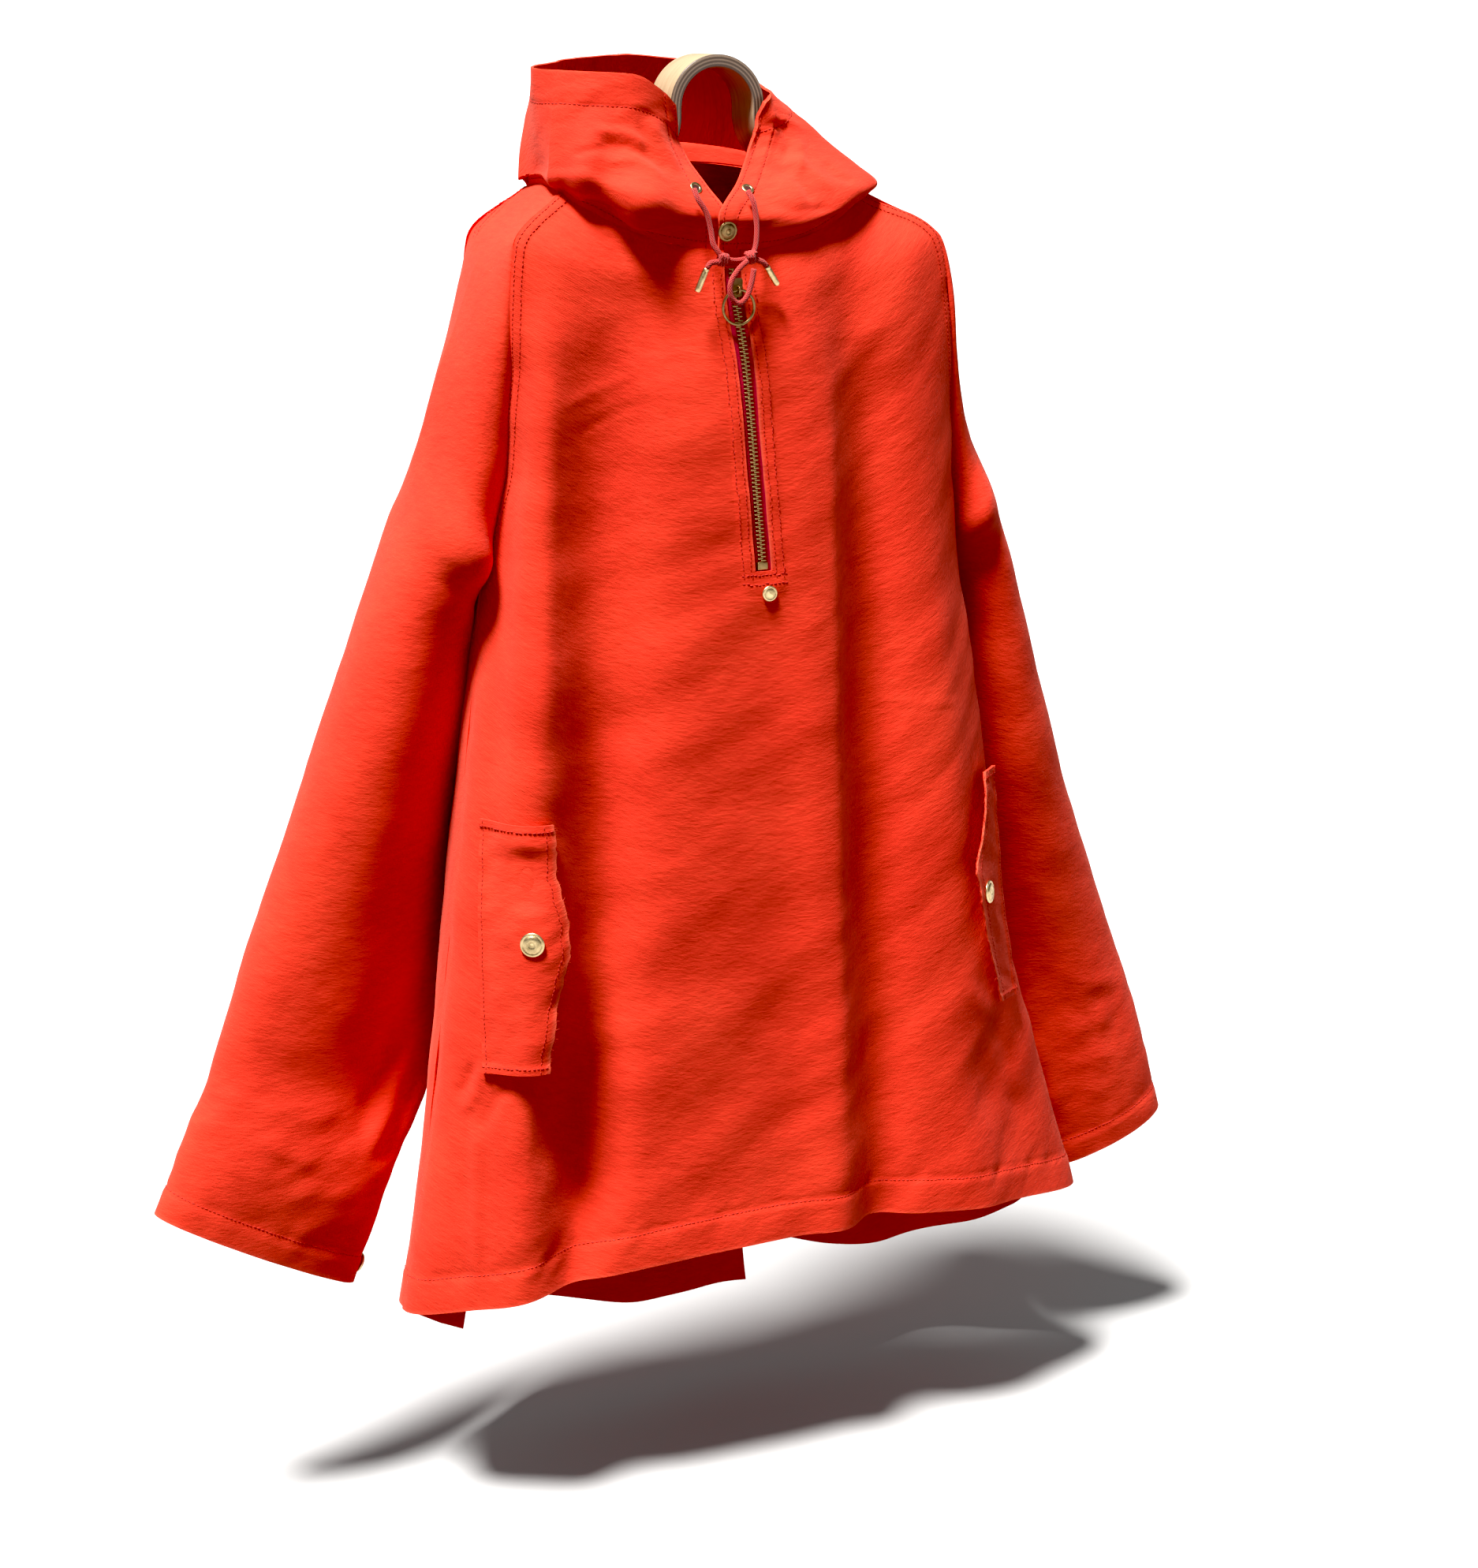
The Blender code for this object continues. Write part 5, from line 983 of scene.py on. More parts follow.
def tubes(name, paths, radius, sides, look, nodes=(), taper=False):
    """Round tubes along paths, as one mesh, with UVs round and along them in metres."""
    all_points, all_faces, all_uv = [], [], []
    start = 0
    for path in paths:
        path = np.asarray(path, float)
        ways = unit(np.gradient(path, axis=0))
        side = np.cross(ways[0], (0.0, 0.0, 1.0))
        if np.linalg.norm(side) < 1e-3:
            side = np.cross(ways[0], (0.0, 1.0, 0.0))
        side = unit(side)
        along = lengths_along(path)
        rings = []
        for k, (point, way) in enumerate(zip(path, ways)):
            side = unit(side - way * (side @ way))
            other = np.cross(way, side)
            angles = np.linspace(0, 2 * np.pi, sides + 1)
            thick = radius * (1 - 0.6 * k / (len(path) - 1)) if taper else radius
            rings.append(point + thick * (np.cos(angles)[:, None] * side + np.sin(angles)[:, None] * other))
            all_uv.append(np.stack([angles * radius, np.full(sides + 1, along[k])], axis=1))
        rings = np.array(rings)
        all_points.append(rings.reshape(-1, 3))
        n = sides + 1
        for k in range(len(path) - 1):
            for j in range(sides):
                a = start + k * n + j
                all_faces.append((a, a + 1, a + n + 1, a + n))
        for ring, flip in ((0, True), (len(path) - 1, False)):
            face = [start + ring * n + j for j in range(sides)]
            for j in range(1, sides - 1):
                tri = (face[0], face[j], face[j + 1])
                all_faces.append(tri[::-1] if flip else tri)
        start += len(path) * n
    points = np.concatenate(all_points)
    uv = np.concatenate(all_uv)
    return add_mesh(name, points, all_faces, look, uv=uv, nodes=nodes)


def turned(name, profile, look, place, out, nodes=(), steps=48):
    """A turned piece: a profile of (radius, height) from the outer bottom to the top middle."""
    profile = np.asarray(profile, float)
    angles = np.linspace(0, 2 * np.pi, steps, endpoint=False)
    rings = [np.stack([r * np.cos(angles), r * np.sin(angles), np.full(steps, h)], axis=1) for r, h in profile]
    points = np.concatenate(rings)
    faces = []
    for k in range(len(profile) - 1):
        for j in range(steps):
            a, b = k * steps + j, k * steps + (j + 1) % steps
            faces.append((a, b, b + steps, a + steps))
    turn = Vector((0, 0, 1)).rotation_difference(Vector(out)).to_matrix().to_4x4()
    matrix = np.array(Matrix.Translation(Vector(place)) @ turn)
    points = points @ matrix[:3, :3].T + matrix[:3, 3]
    piece = add_mesh(name, points, np.array(faces), look, nodes=nodes)
    weld = bmesh.new()
    weld.from_mesh(piece.data)
    bmesh.ops.remove_doubles(weld, verts=weld.verts, dist=1e-6)
    bmesh.ops.recalc_face_normals(weld, faces=weld.faces)
    weld.to_mesh(piece.data)
    weld.free()
    piece.data.set_sharp_from_angle(angle=math.radians(50))
    return piece


# ---------------------------------------------------------------- materials

LOOKS = {}


class Nodes:
    """A short way to write a material's nodes."""

    def __init__(self, name):
        self.material = bpy.data.materials.new(name)
        self.material.use_nodes = True
        self.tree = self.material.node_tree
        self.shader = self.tree.nodes["Principled BSDF"]
        LOOKS[name] = self.material

    def add(self, kind, inputs=None, **settings):
        node = self.tree.nodes.new("ShaderNode" + kind)
        for key, value in settings.items():
            setattr(node, key, value)
        for key, value in (inputs or {}).items():
            self.put(value, node.inputs[key])
        return node

    def put(self, value, socket):
        if isinstance(value, bpy.types.NodeSocket):
            self.tree.links.new(value, socket)
        elif isinstance(value, bpy.types.Node):
            self.tree.links.new(value.outputs[0], socket)
        else:
            socket.default_value = value

    def math(self, operation, *values, clamp=False):
        node = self.add("Math", operation=operation, use_clamp=clamp)
        for k, value in enumerate(values):
            self.put(value, node.inputs[k])
        return node.outputs[0]

    def scaled(self, vector, scale, turn=0.0):
        return self.add("Mapping", {"Vector": vector, "Scale": scale, "Rotation": (0, 0, turn)}).outputs[0]

    def noise(self, vector, scale, detail=3.0, roughness=0.55):
        inputs = {"Vector": vector, "Scale": scale, "Detail": detail, "Roughness": roughness}
        return self.add("TexNoise", inputs).outputs["Fac"]

    def ramp(self, value, *stops):
        node = self.add("ValToRGB", {"Fac": value})
        while len(node.color_ramp.elements) < len(stops):
            node.color_ramp.elements.new(0.5)
        for element, (place, colour) in zip(node.color_ramp.elements, stops):
            element.position = place
            element.color = (*colour, 1)
        return node.outputs["Color"]

    def bump(self, height, distance, before=None):
        inputs = {"Height": height, "Distance": distance, "Strength": 1.0}
        if before is not None:
            inputs["Normal"] = before
        return self.add("Bump", inputs).outputs[0]

    def set(self, **inputs):
        for key, value in inputs.items():
            self.put(value, self.shader.inputs[key.replace("_", " ")])


class SkyNodes(Nodes):
    """The same for the world's nodes."""

    def __init__(self, world):
        self.tree = world.node_tree
        self.shader = self.tree.nodes["Background"]


def make_canvas():
    n = Nodes("canvas")
    uv = n.add("UVMap", uv_map="cloth").outputs[0]
    wear = n.add("Attribute", attribute_name="wear").outputs["Fac"]
    blotch = n.noise(uv, 9.0, 3.0, 0.6)
    streak = n.noise(n.scaled(uv, (70.0, 260.0, 1.0), 0.9), 1.0, 4.0, 0.6)
    fibre = n.noise(n.scaled(uv, (900.0, 1500.0, 1.0)), 1.0, 2.0, 0.6)
    finer = n.math("ADD", n.math("MULTIPLY", streak, 0.30), n.math("MULTIPLY", fibre, 0.25))
    mixed = n.math("ADD", n.math("MULTIPLY", blotch, 0.45), finer)
    tone = n.ramp(mixed, (0.36, CANVAS_DARK), (0.50, CANVAS_MIDDLE), (0.64, CANVAS_LIGHT))
    share = n.math("MULTIPLY", wear, n.math("ADD", 0.35, fibre), clamp=True)
    worn = n.add("MixRGB", {"Fac": share, "Color1": tone, "Color2": (*CANVAS_WORN, 1)})
    soft = n.noise(n.scaled(uv, (55.0, 120.0, 1.0), 0.95), 1.0, 3.0, 0.6)
    brushed = n.noise(n.scaled(uv, (160.0, 520.0, 1.0), 0.95), 1.0, 4.0, 0.62)
    slub = n.noise(n.scaled(uv, (60.0, 1100.0, 1.0)), 1.0, 2.0, 0.5)
    parts = n.add("SeparateXYZ", {"Vector": uv}).outputs
    warp, weft = (n.math("SINE", n.math("MULTIPLY", parts[k], 2 * math.pi / step)) for k, step in ((0, 0.0011), (1, 0.0009)))
    weave = n.math("MULTIPLY", warp, weft)
    normal = n.bump(soft, 0.0007)
    normal = n.bump(brushed, 0.00042, before=normal)
    normal = n.bump(slub, 0.00006, before=normal)
    normal = n.bump(n.math("ADD", weave, n.math("MULTIPLY", fibre, 2.0)), 0.00005, before=normal)
    n.set(Base_Color=worn.outputs[0], Roughness=0.88, Normal=normal)
    n.shader.inputs["Specular IOR Level"].default_value = 0.25
    n.shader.inputs["Sheen Weight"].default_value = 0.14
    n.shader.inputs["Sheen Roughness"].default_value = 0.5
    n.shader.inputs["Sheen Tint"].default_value = (1.0, 0.55, 0.42, 1)


def make_plain_looks():
    # The thread is much darker than the canvas: painted shade, standing in for the shade round each stitch. The frayed
    # threads at the flaps' raw edges take the same colour.
    n = Nodes("shaded_thread")
    where = n.add("TexCoord").outputs["Object"]
    tone = n.ramp(n.noise(where, 900.0), (0.3, (0.30, 0.008, 0.006)), (0.7, (0.55, 0.024, 0.012)))
    n.set(Base_Color=tone, Roughness=0.8, Normal=n.bump(n.noise(where, 3000.0), 0.0001))

    n = Nodes("zip_tape")
    uv = n.add("UVMap", uv_map="cloth").outputs[0]
    parts = n.add("SeparateXYZ", {"Vector": uv}).outputs
    rib = n.math("MULTIPLY", n.math("SINE", n.math("MULTIPLY", parts[1], 2 * math.pi / 0.0010)),
                 n.math("SINE", n.math("MULTIPLY", parts[0], 2 * math.pi / 0.0016)))
    tone = n.ramp(n.noise(uv, 400.0), (0.3, (0.42, 0.002, 0.028)), (0.7, (0.62, 0.006, 0.045)))
    n.set(Base_Color=tone, Roughness=0.82, Normal=n.bump(rib, 0.00018))

    n = Nodes("cord")
    uv = n.add("UVMap", uv_map="cloth").outputs[0]
    parts = n.add("SeparateXYZ", {"Vector": uv}).outputs
    strands = 8
    around = n.math("MULTIPLY", parts[0], strands / CORD_RADIUS)
    along = n.math("MULTIPLY", parts[1], 2 * math.pi / 0.0022)
    braid_and_groove_shade = n.math("MAXIMUM", *(n.math("SINE", n.math(way, around, along)) for way in ("ADD", "SUBTRACT")))
    # The colour follows the braid: darker in the grooves between the strands, painted shade, and lighter on their
    # crests, painted highlight, with random tone mixed in.
    tone = n.ramp(n.math("ADD", n.math("MULTIPLY", braid_and_groove_shade, 0.35), n.math("MULTIPLY", n.noise(uv, 700.0), 0.5)),
                  (0.05, (0.26, 0.008, 0.010)), (0.45, (0.52, 0.030, 0.024)), (0.75, (0.72, 0.060, 0.045)))
    n.set(Base_Color=tone, Roughness=0.78, Normal=n.bump(braid_and_groove_shade, 0.00035))
    n.shader.inputs["Sheen Weight"].default_value = 0.15

    for name, dark, light, rough in (
        ("brass", (0.20, 0.14, 0.06), (0.60, 0.46, 0.25), 0.28),
        ("dark_brass", (0.035, 0.022, 0.010), (0.27, 0.175, 0.080), 0.34),
    ):
        n = Nodes(name)
        where = n.add("TexCoord").outputs["Object"]
        patch = n.noise(where, 160.0, 4.0, 0.6)
        fine = n.noise(where, 1400.0, 3.0, 0.6)
        tone = n.ramp(n.math("ADD", n.math("MULTIPLY", patch, 0.7), n.math("MULTIPLY", fine, 0.3)), (0.36, dark), (0.60, light))
        edge = n.add("NewGeometry").outputs["Pointiness"]
        worn = n.add("MixRGB", {"Fac": n.ramp(edge, (0.50, (0, 0, 0)), (0.58, (1, 1, 1))), "Color1": tone,
                                "Color2": (*[min(1, 1.25 * c) for c in light], 1)}).outputs[0]
        roughness = n.math("ADD", rough - 0.08, n.math("MULTIPLY", fine, 0.25))
        n.set(Base_Color=worn, Metallic=1.0, Roughness=roughness, Normal=n.bump(fine, 0.00004))

    for name, stretch in (("wood", (26.0, 260.0, 1.0)), ("ply_edge", (40.0, 1.0, 1.0))):
        n = Nodes(name)
        uv = n.add("UVMap", uv_map="cloth").outputs[0]
        if name == "wood":
            grain = n.noise(n.scaled(uv, stretch), 1.0, 5.0, 0.6)
            fine = n.noise(n.scaled(uv, (120.0, 2200.0, 1.0)), 1.0, 2.0, 0.5)
            tone = n.ramp(n.math("ADD", n.math("MULTIPLY", grain, 0.7), n.math("MULTIPLY", fine, 0.3)),
                          (0.30, (0.36, 0.235, 0.13)), (0.52, (0.47, 0.33, 0.195)), (0.72, (0.54, 0.40, 0.25)))
        else:
            parts = n.add("SeparateXYZ", {"Vector": uv}).outputs
            band = n.math("SINE", n.math("MULTIPLY", parts[1], 2 * math.pi / (BAND_THICK / 3.5)))
            fine = n.noise(n.scaled(uv, (900.0, 1600.0, 1.0)), 1.0, 3.0, 0.6)
            tone = n.ramp(n.math("ADD", n.math("MULTIPLY", band, 0.35), n.math("MULTIPLY", fine, 0.6)),
                          (0.10, (0.09, 0.058, 0.040)), (0.42, (0.20, 0.14, 0.095)), (0.70, (0.34, 0.25, 0.18)))
        n.set(Base_Color=tone, Roughness=0.42, Normal=n.bump(fine, 0.00012))
        n.shader.inputs["Coat Weight"].default_value = 0.25
        n.shader.inputs["Coat Roughness"].default_value = 0.35

    n = Nodes("floor")
    n.set(Base_Color=(*[FLOOR_TONE] * 3, 1), Roughness=0.95)
    n.shader.inputs["Specular IOR Level"].default_value = 0.0


# ---------------------------------------------------------------- cut pieces


def body_levels(rows):
    """Levels at even steps down the front's middle, with one just at the zip's foot."""
    fine = np.linspace(0, 10, 1001)
    heights = -body_at(fine)["front_z"]
    levels = np.interp(np.linspace(heights[0], heights[-1], rows), heights, fine)
    nearest = np.abs(levels - ZIP_BOTTOM_LEVEL).argmin()
    levels[nearest] = ZIP_BOTTOM_LEVEL
    return levels, nearest


def make_front():
    levels, foot = body_levels(FRONT_ROWS)
    middle = zip_x(levels)
    left_end = girth_part(middle - SEEN_WINDOW_HALF, levels)
    right_end = girth_part(middle + SEEN_WINDOW_HALF, levels)
    low = np.linspace(-1, left_end, 501, axis=1)
    high = np.linspace(right_end, 1, 501, axis=1)
    level = levels[:, None]
    left = even_parts(front_points(level, low), low, FRONT_COLUMNS)
    right = even_parts(front_points(level, high), high, FRONT_COLUMNS)
    window = np.linspace(left_end, right_end, WINDOW_COLUMNS + 1, axis=1)[:, 1:-1]
    parts = np.concatenate([left, window, right], axis=1)
    front = Cloth("front", front_points(level, parts), (0, -1, 0))
    x = front.points[..., 0]
    from_hem = front.length - front.v
    from_sides = np.minimum(front.u, front.width - front.u)
    front.swell(FRONT_SWELLS)
    front.crease(FRONT_CREASES)
    front.dents(((60, 1.1, 0.3), (28, 0.45, -0.4), (13, 0.14, 0.5)), seed=11)
    front.dents(((45, 0.9, 1.2),), seed=31)
    # the hem: a turned band that puckers at its stitches
    hem = from_hem / HEM_DEPTH
    band = ease((1.0 - hem) / 0.10)
    pucker = soft_noise(front.u + 0.6 * front.v, front.v * 0.25, 0.011, 51) * np.exp(-(((hem - 0.98) / 0.42) ** 2))
    front.extra += 0.0009 * band
    front.height += pucker * 0.00085 + 0.0006 * soft_noise(front.u, front.v * 0, 0.05, 52) * np.exp(-hem)
    front.height -= 0.0005 * np.exp(-(((hem - 1.0) / 0.10) ** 2))
    # the sides: seam allowance under a topstitched edge, above the underarm
    above = ease((LEVEL["underarm"] - level) / 0.2)
    front.extra += 0.0007 * ease((0.0085 - from_sides) / 0.0012) * above
    side = from_sides / 0.012
    front.height += 0.00045 * soft_noise(front.v, front.u * 0.3, 0.016, 53) * np.exp(-(side**2))
    # the zip's window: turned edges with a double row of stitches
    across = np.abs(x - zip_x(level)) - SEEN_WINDOW_HALF
    beside = ease((level - 0.2) / 0.2) * ease((ZIP_BOTTOM_LEVEL + 0.22 - level) / 0.06)
    front.extra += 0.0009 * ease((0.0105 - across) / 0.0012) * beside
    front.height += 0.00035 * soft_noise(front.v, front.u * 0.4, 0.010, 54) * np.exp(-((across / 0.012) ** 2)) * beside
    front.wear += 0.5 * np.exp(-((across / 0.0012) ** 2)) * beside * (level < ZIP_BOTTOM_LEVEL)
    front.wear += 0.35 * np.exp(-((from_hem / 0.0012) ** 2))
    front.moved()
    cells = np.ones((len(levels) - 1, parts.shape[1] - 1), bool)
    cells[:foot, FRONT_COLUMNS : FRONT_COLUMNS + WINDOW_COLUMNS] = False
    piece = front.build("canvas", cells, ("front",))
    columns = np.arange(parts.shape[1])
    stitch(front, front.row_where(from_hem, HEM_DEPTH - 0.001), columns, seed=1)
    rows = np.arange(len(levels))
    top = rows[levels < 3.9]
    for seed, field, away in ((2, front.u, SEAM_ROWS[0]), (3, front.u, SEAM_ROWS[1]),
                              (4, front.width - front.u, SEAM_ROWS[0]), (5, front.width - front.u, SEAM_ROWS[1])):
        stitch(front, top, front.column_where(field, away)[top], seed=seed)
    down = rows[(levels > 0.5) & (levels < ZIP_BOTTOM_LEVEL + 0.12)]
    for k, away in enumerate((0.0030, 0.0092)):
        offset = SEEN_WINDOW_HALF + away
        for sign in (-1, 1):
            where = front.column_where(sign * (x - zip_x(level)), offset)
            stitch(front, down, where[down], pitch=0.0031, seed=6 + k + sign, loose=0.00025)
    for k, low_level in enumerate((ZIP_BOTTOM_LEVEL + 0.035, ZIP_BOTTOM_LEVEL + 0.115)):
        row = np.interp(low_level, levels, rows)
        spread = np.linspace(FRONT_COLUMNS - 4.2, FRONT_COLUMNS + WINDOW_COLUMNS + 4.2, 30)
        stitch(front, np.full(30, row), spread, pitch=0.0031, seed=20 + k, loose=0.0003)
    return front, piece


def make_back(half):
    """Half of the back, from its side seam to its centre seam, with the underlap at the side vent."""
    sign = -1 if half == "left" else 1
    levels, _ = body_levels(BACK_ROWS)
    level = levels[:, None]
    seam = girth_part(through(BACK_SEAM["level"], BACK_SEAM["x"], levels), levels)
    fine = sign + (seam[:, None] - sign) * np.linspace(0, 1, 401)
    parts = even_parts(back_points(level, fine, half), fine, BACK_COLUMNS)
    grid = back_points(level, parts, half)
    opening = ease((levels - BACK_VENT_LEVEL) / 0.8) * (BACK_VENT_GAP if half == "right" else 0)
    grid[..., 0] += opening[:, None] * np.linspace(0, 1, BACK_COLUMNS + 1)
    vented = ease((levels - SIDE_VENT_LEVEL + 0.3) / 0.4)
    shift = np.exp(-np.linspace(0, 6, BACK_COLUMNS + 1)) * vented[:, None]
    grid[..., 0] += -sign * EDGE_STAND * shift
    low = body_at(levels)
    laps = []
    depths = np.linspace(UNDERLAP_DEPTHS[-1], 0.0026, LAP_COLUMNS)
    for depth in depths:
        part = sign * (1 - depth / ((low["right_x"] - low["left_x"]) / 2))
        face = body_points(levels, part, True)
        stand = np.interp(depth, (0.0, *UNDERLAP_DEPTHS), (0.0022, *UNDERLAP_STANDS))
        drop = UNDERLAP_DROP[half] * ease((levels - SIDE_VENT_LEVEL) / 0.7) * depth / UNDERLAP_DEPTHS[-1]
        y = np.maximum(face[:, 1] + stand, low["edge_front_y"] + 0.002 - depth)
        laps.append(np.stack([face[:, 0], y, grid[:, 0, 2] - drop], axis=1))
    whole = np.concatenate([np.stack(laps, axis=1), grid], axis=1)
    back = Cloth("back_" + half, whole, (sign * 0.3, 1, 0))
    inside = back.u - back.u[:, LAP_COLUMNS : LAP_COLUMNS + 1]
    from_hem = back.length - back.v
    from_centre = back.width - back.u
    back.dents(((70, 1.4, 0.3), (30, 0.5, -0.4), (13, 0.14, 0.5)), seed=61 if half == "left" else 71)
    for path, width, height in BACK_CREASES[half]:
        where = np.stack([back.points[..., 0], back.points[..., 2]], axis=-1)
        back.height += crease(where, path, width, height) * (inside > 0.004)
    hem = from_hem / HEM_DEPTH
    back.extra += 0.0009 * ease((1.0 - hem) / 0.10)
    back.height += 0.0008 * soft_noise(back.u + 0.6 * back.v, back.v * 0.25, 0.012, 81) * np.exp(-(((hem - 0.98) / 0.42) ** 2))
    back.height -= 0.0005 * np.exp(-(((hem - 1.0) / 0.10) ** 2))
    back.extra += 0.0007 * ease((0.0085 - from_centre) / 0.0012)
    back.extra += 0.0007 * ease((0.0085 - inside) / 0.0012) * (inside > -0.001) * ease((4 - level) / 0.2)
    back.wear += 0.3 * np.exp(-((from_hem / 0.0012) ** 2))
    back.moved()
    cells = np.ones((len(levels) - 1, whole.shape[1] - 1), bool)
    first = int(np.searchsorted(levels, SIDE_VENT_LEVEL))
    cells[:first, :LAP_COLUMNS] = False
    piece = back.build("canvas", cells, ("back_" + half,))
    rows = np.arange(len(levels))
    columns = np.arange(LAP_COLUMNS, whole.shape[1])
    stitch(back, back.row_where(from_hem, HEM_DEPTH - 0.001)[columns], columns, seed=91)
    for k, away in enumerate(SEAM_ROWS):
        stitch(back, rows[levels < 9.9], back.column_where(-from_centre, -away)[levels < 9.9], seed=92 + k)
        top = rows[levels < 3.9]
        stitch(back, top, back.column_where(back.u, away + float(back.u[0, LAP_COLUMNS]))[top], seed=95 + k)
    return back, piece


def make_sleeve(side):
    fine = np.linspace(0, 11, 1101)
    outer = sleeve_points(side, fine, np.full(1101, 0.5))
    along = lengths_along(outer)
    levels = np.interp(np.linspace(0, along[-1], SLEEVE_ROWS), along, fine)
    level = levels[:, None]
    parts = np.tile(np.linspace(0, 1, 601), (SLEEVE_ROWS, 1))
    parts = even_parts(sleeve_points(side, level, parts), parts, SLEEVE_COLUMNS_FINE)
    grid = sleeve_points(side, level, parts)
    sleeve = Cloth("sleeve_" + side, grid, grid - grid.mean(axis=1, keepdims=True))
    from_cuff = sleeve.length - sleeve.v
    from_front = sleeve.u
    from_back = sleeve.width - sleeve.u
    tube = ease((level - 4.0) / 0.4)
    # the sleeve lies back, level, from the view, and the left one's upper arm is tucked in to the body
    sleeve.swell(SLEEVE_SWELLS[side])
    away = sleeve.height * ease((level - 4.0) / 0.8)
    sleeve.height = np.zeros_like(away)
    sleeve.points += unit(np.array((VIEW_AHEAD.x, VIEW_AHEAD.y, 0.0))) * away[..., None]
    if side == "left":
        tucked = np.exp(-(((sleeve.view[..., 0] - 590) / 34) ** 2) - ((sleeve.view[..., 1] - 890) / 130) ** 2)
        sleeve.points += unit(np.array((-VIEW_AHEAD.y, VIEW_AHEAD.x, 0.0))) * (-0.007 * tucked)[..., None]
    for path, width, height, *kind in SLEEVE_CREASES[side]:
        sleeve.height += crease(sleeve.view, path, width, height / 1000, *kind) * ease((0.56 - parts) / 0.08)
    for path, width, height in SLEEVE_BACK_CREASES[side]:
        where = np.stack([sleeve.points[..., 0], sleeve.points[..., 2]], axis=-1)
        sleeve.height += crease(where, path, width, height) * ease((parts - 0.5) / 0.08)
    sleeve.dents(((55, 1.0, 0.5), (25, 0.4, -0.4), (12, 0.13, 0.4)), seed=101 if side == "left" else 121)
    elbow = np.exp(-(((level - 9.6) / 1.1) ** 2))
    sleeve.height += 0.0010 * soft_noise(sleeve.u + 0.9 * sleeve.v, sleeve.v - 0.5 * sleeve.u, 0.020, 141) * elbow
    cuff = from_cuff / CUFF_DEPTH
    sleeve.extra += 0.0009 * ease((1.0 - cuff) / 0.12)
    sleeve.height += 0.0006 * soft_noise(sleeve.u, sleeve.v * 0.2, 0.012, 142) * np.exp(-(((cuff - 1.0) / 0.5) ** 2))
    sleeve.height -= 0.0005 * np.exp(-(((cuff - 1.0) / 0.12) ** 2))
    sleeve.height *= ease(np.minimum(from_front, from_back) / 0.006 + 0.15 * (1 - tube))
    sleeve.wear += 0.35 * np.exp(-((from_cuff / 0.0012) ** 2))
    sleeve.moved()
    # one normal on both sides of the seam, where the tube closes
    shared = unit(sleeve.normals[:, 0] + sleeve.normals[:, -1])
    closed = ease((levels - 4.2) / 0.3)[:, None]
    for end in (0, -1):
        sleeve.normals[:, end] = unit(sleeve.normals[:, end] * (1 - closed) + shared * closed)
    piece = sleeve.build("canvas", None, ("sleeve_" + side,))
    columns = np.arange(parts.shape[1])
    stitch(sleeve, sleeve.row_where(from_cuff, CUFF_DEPTH), columns, seed=151)
    return sleeve, piece


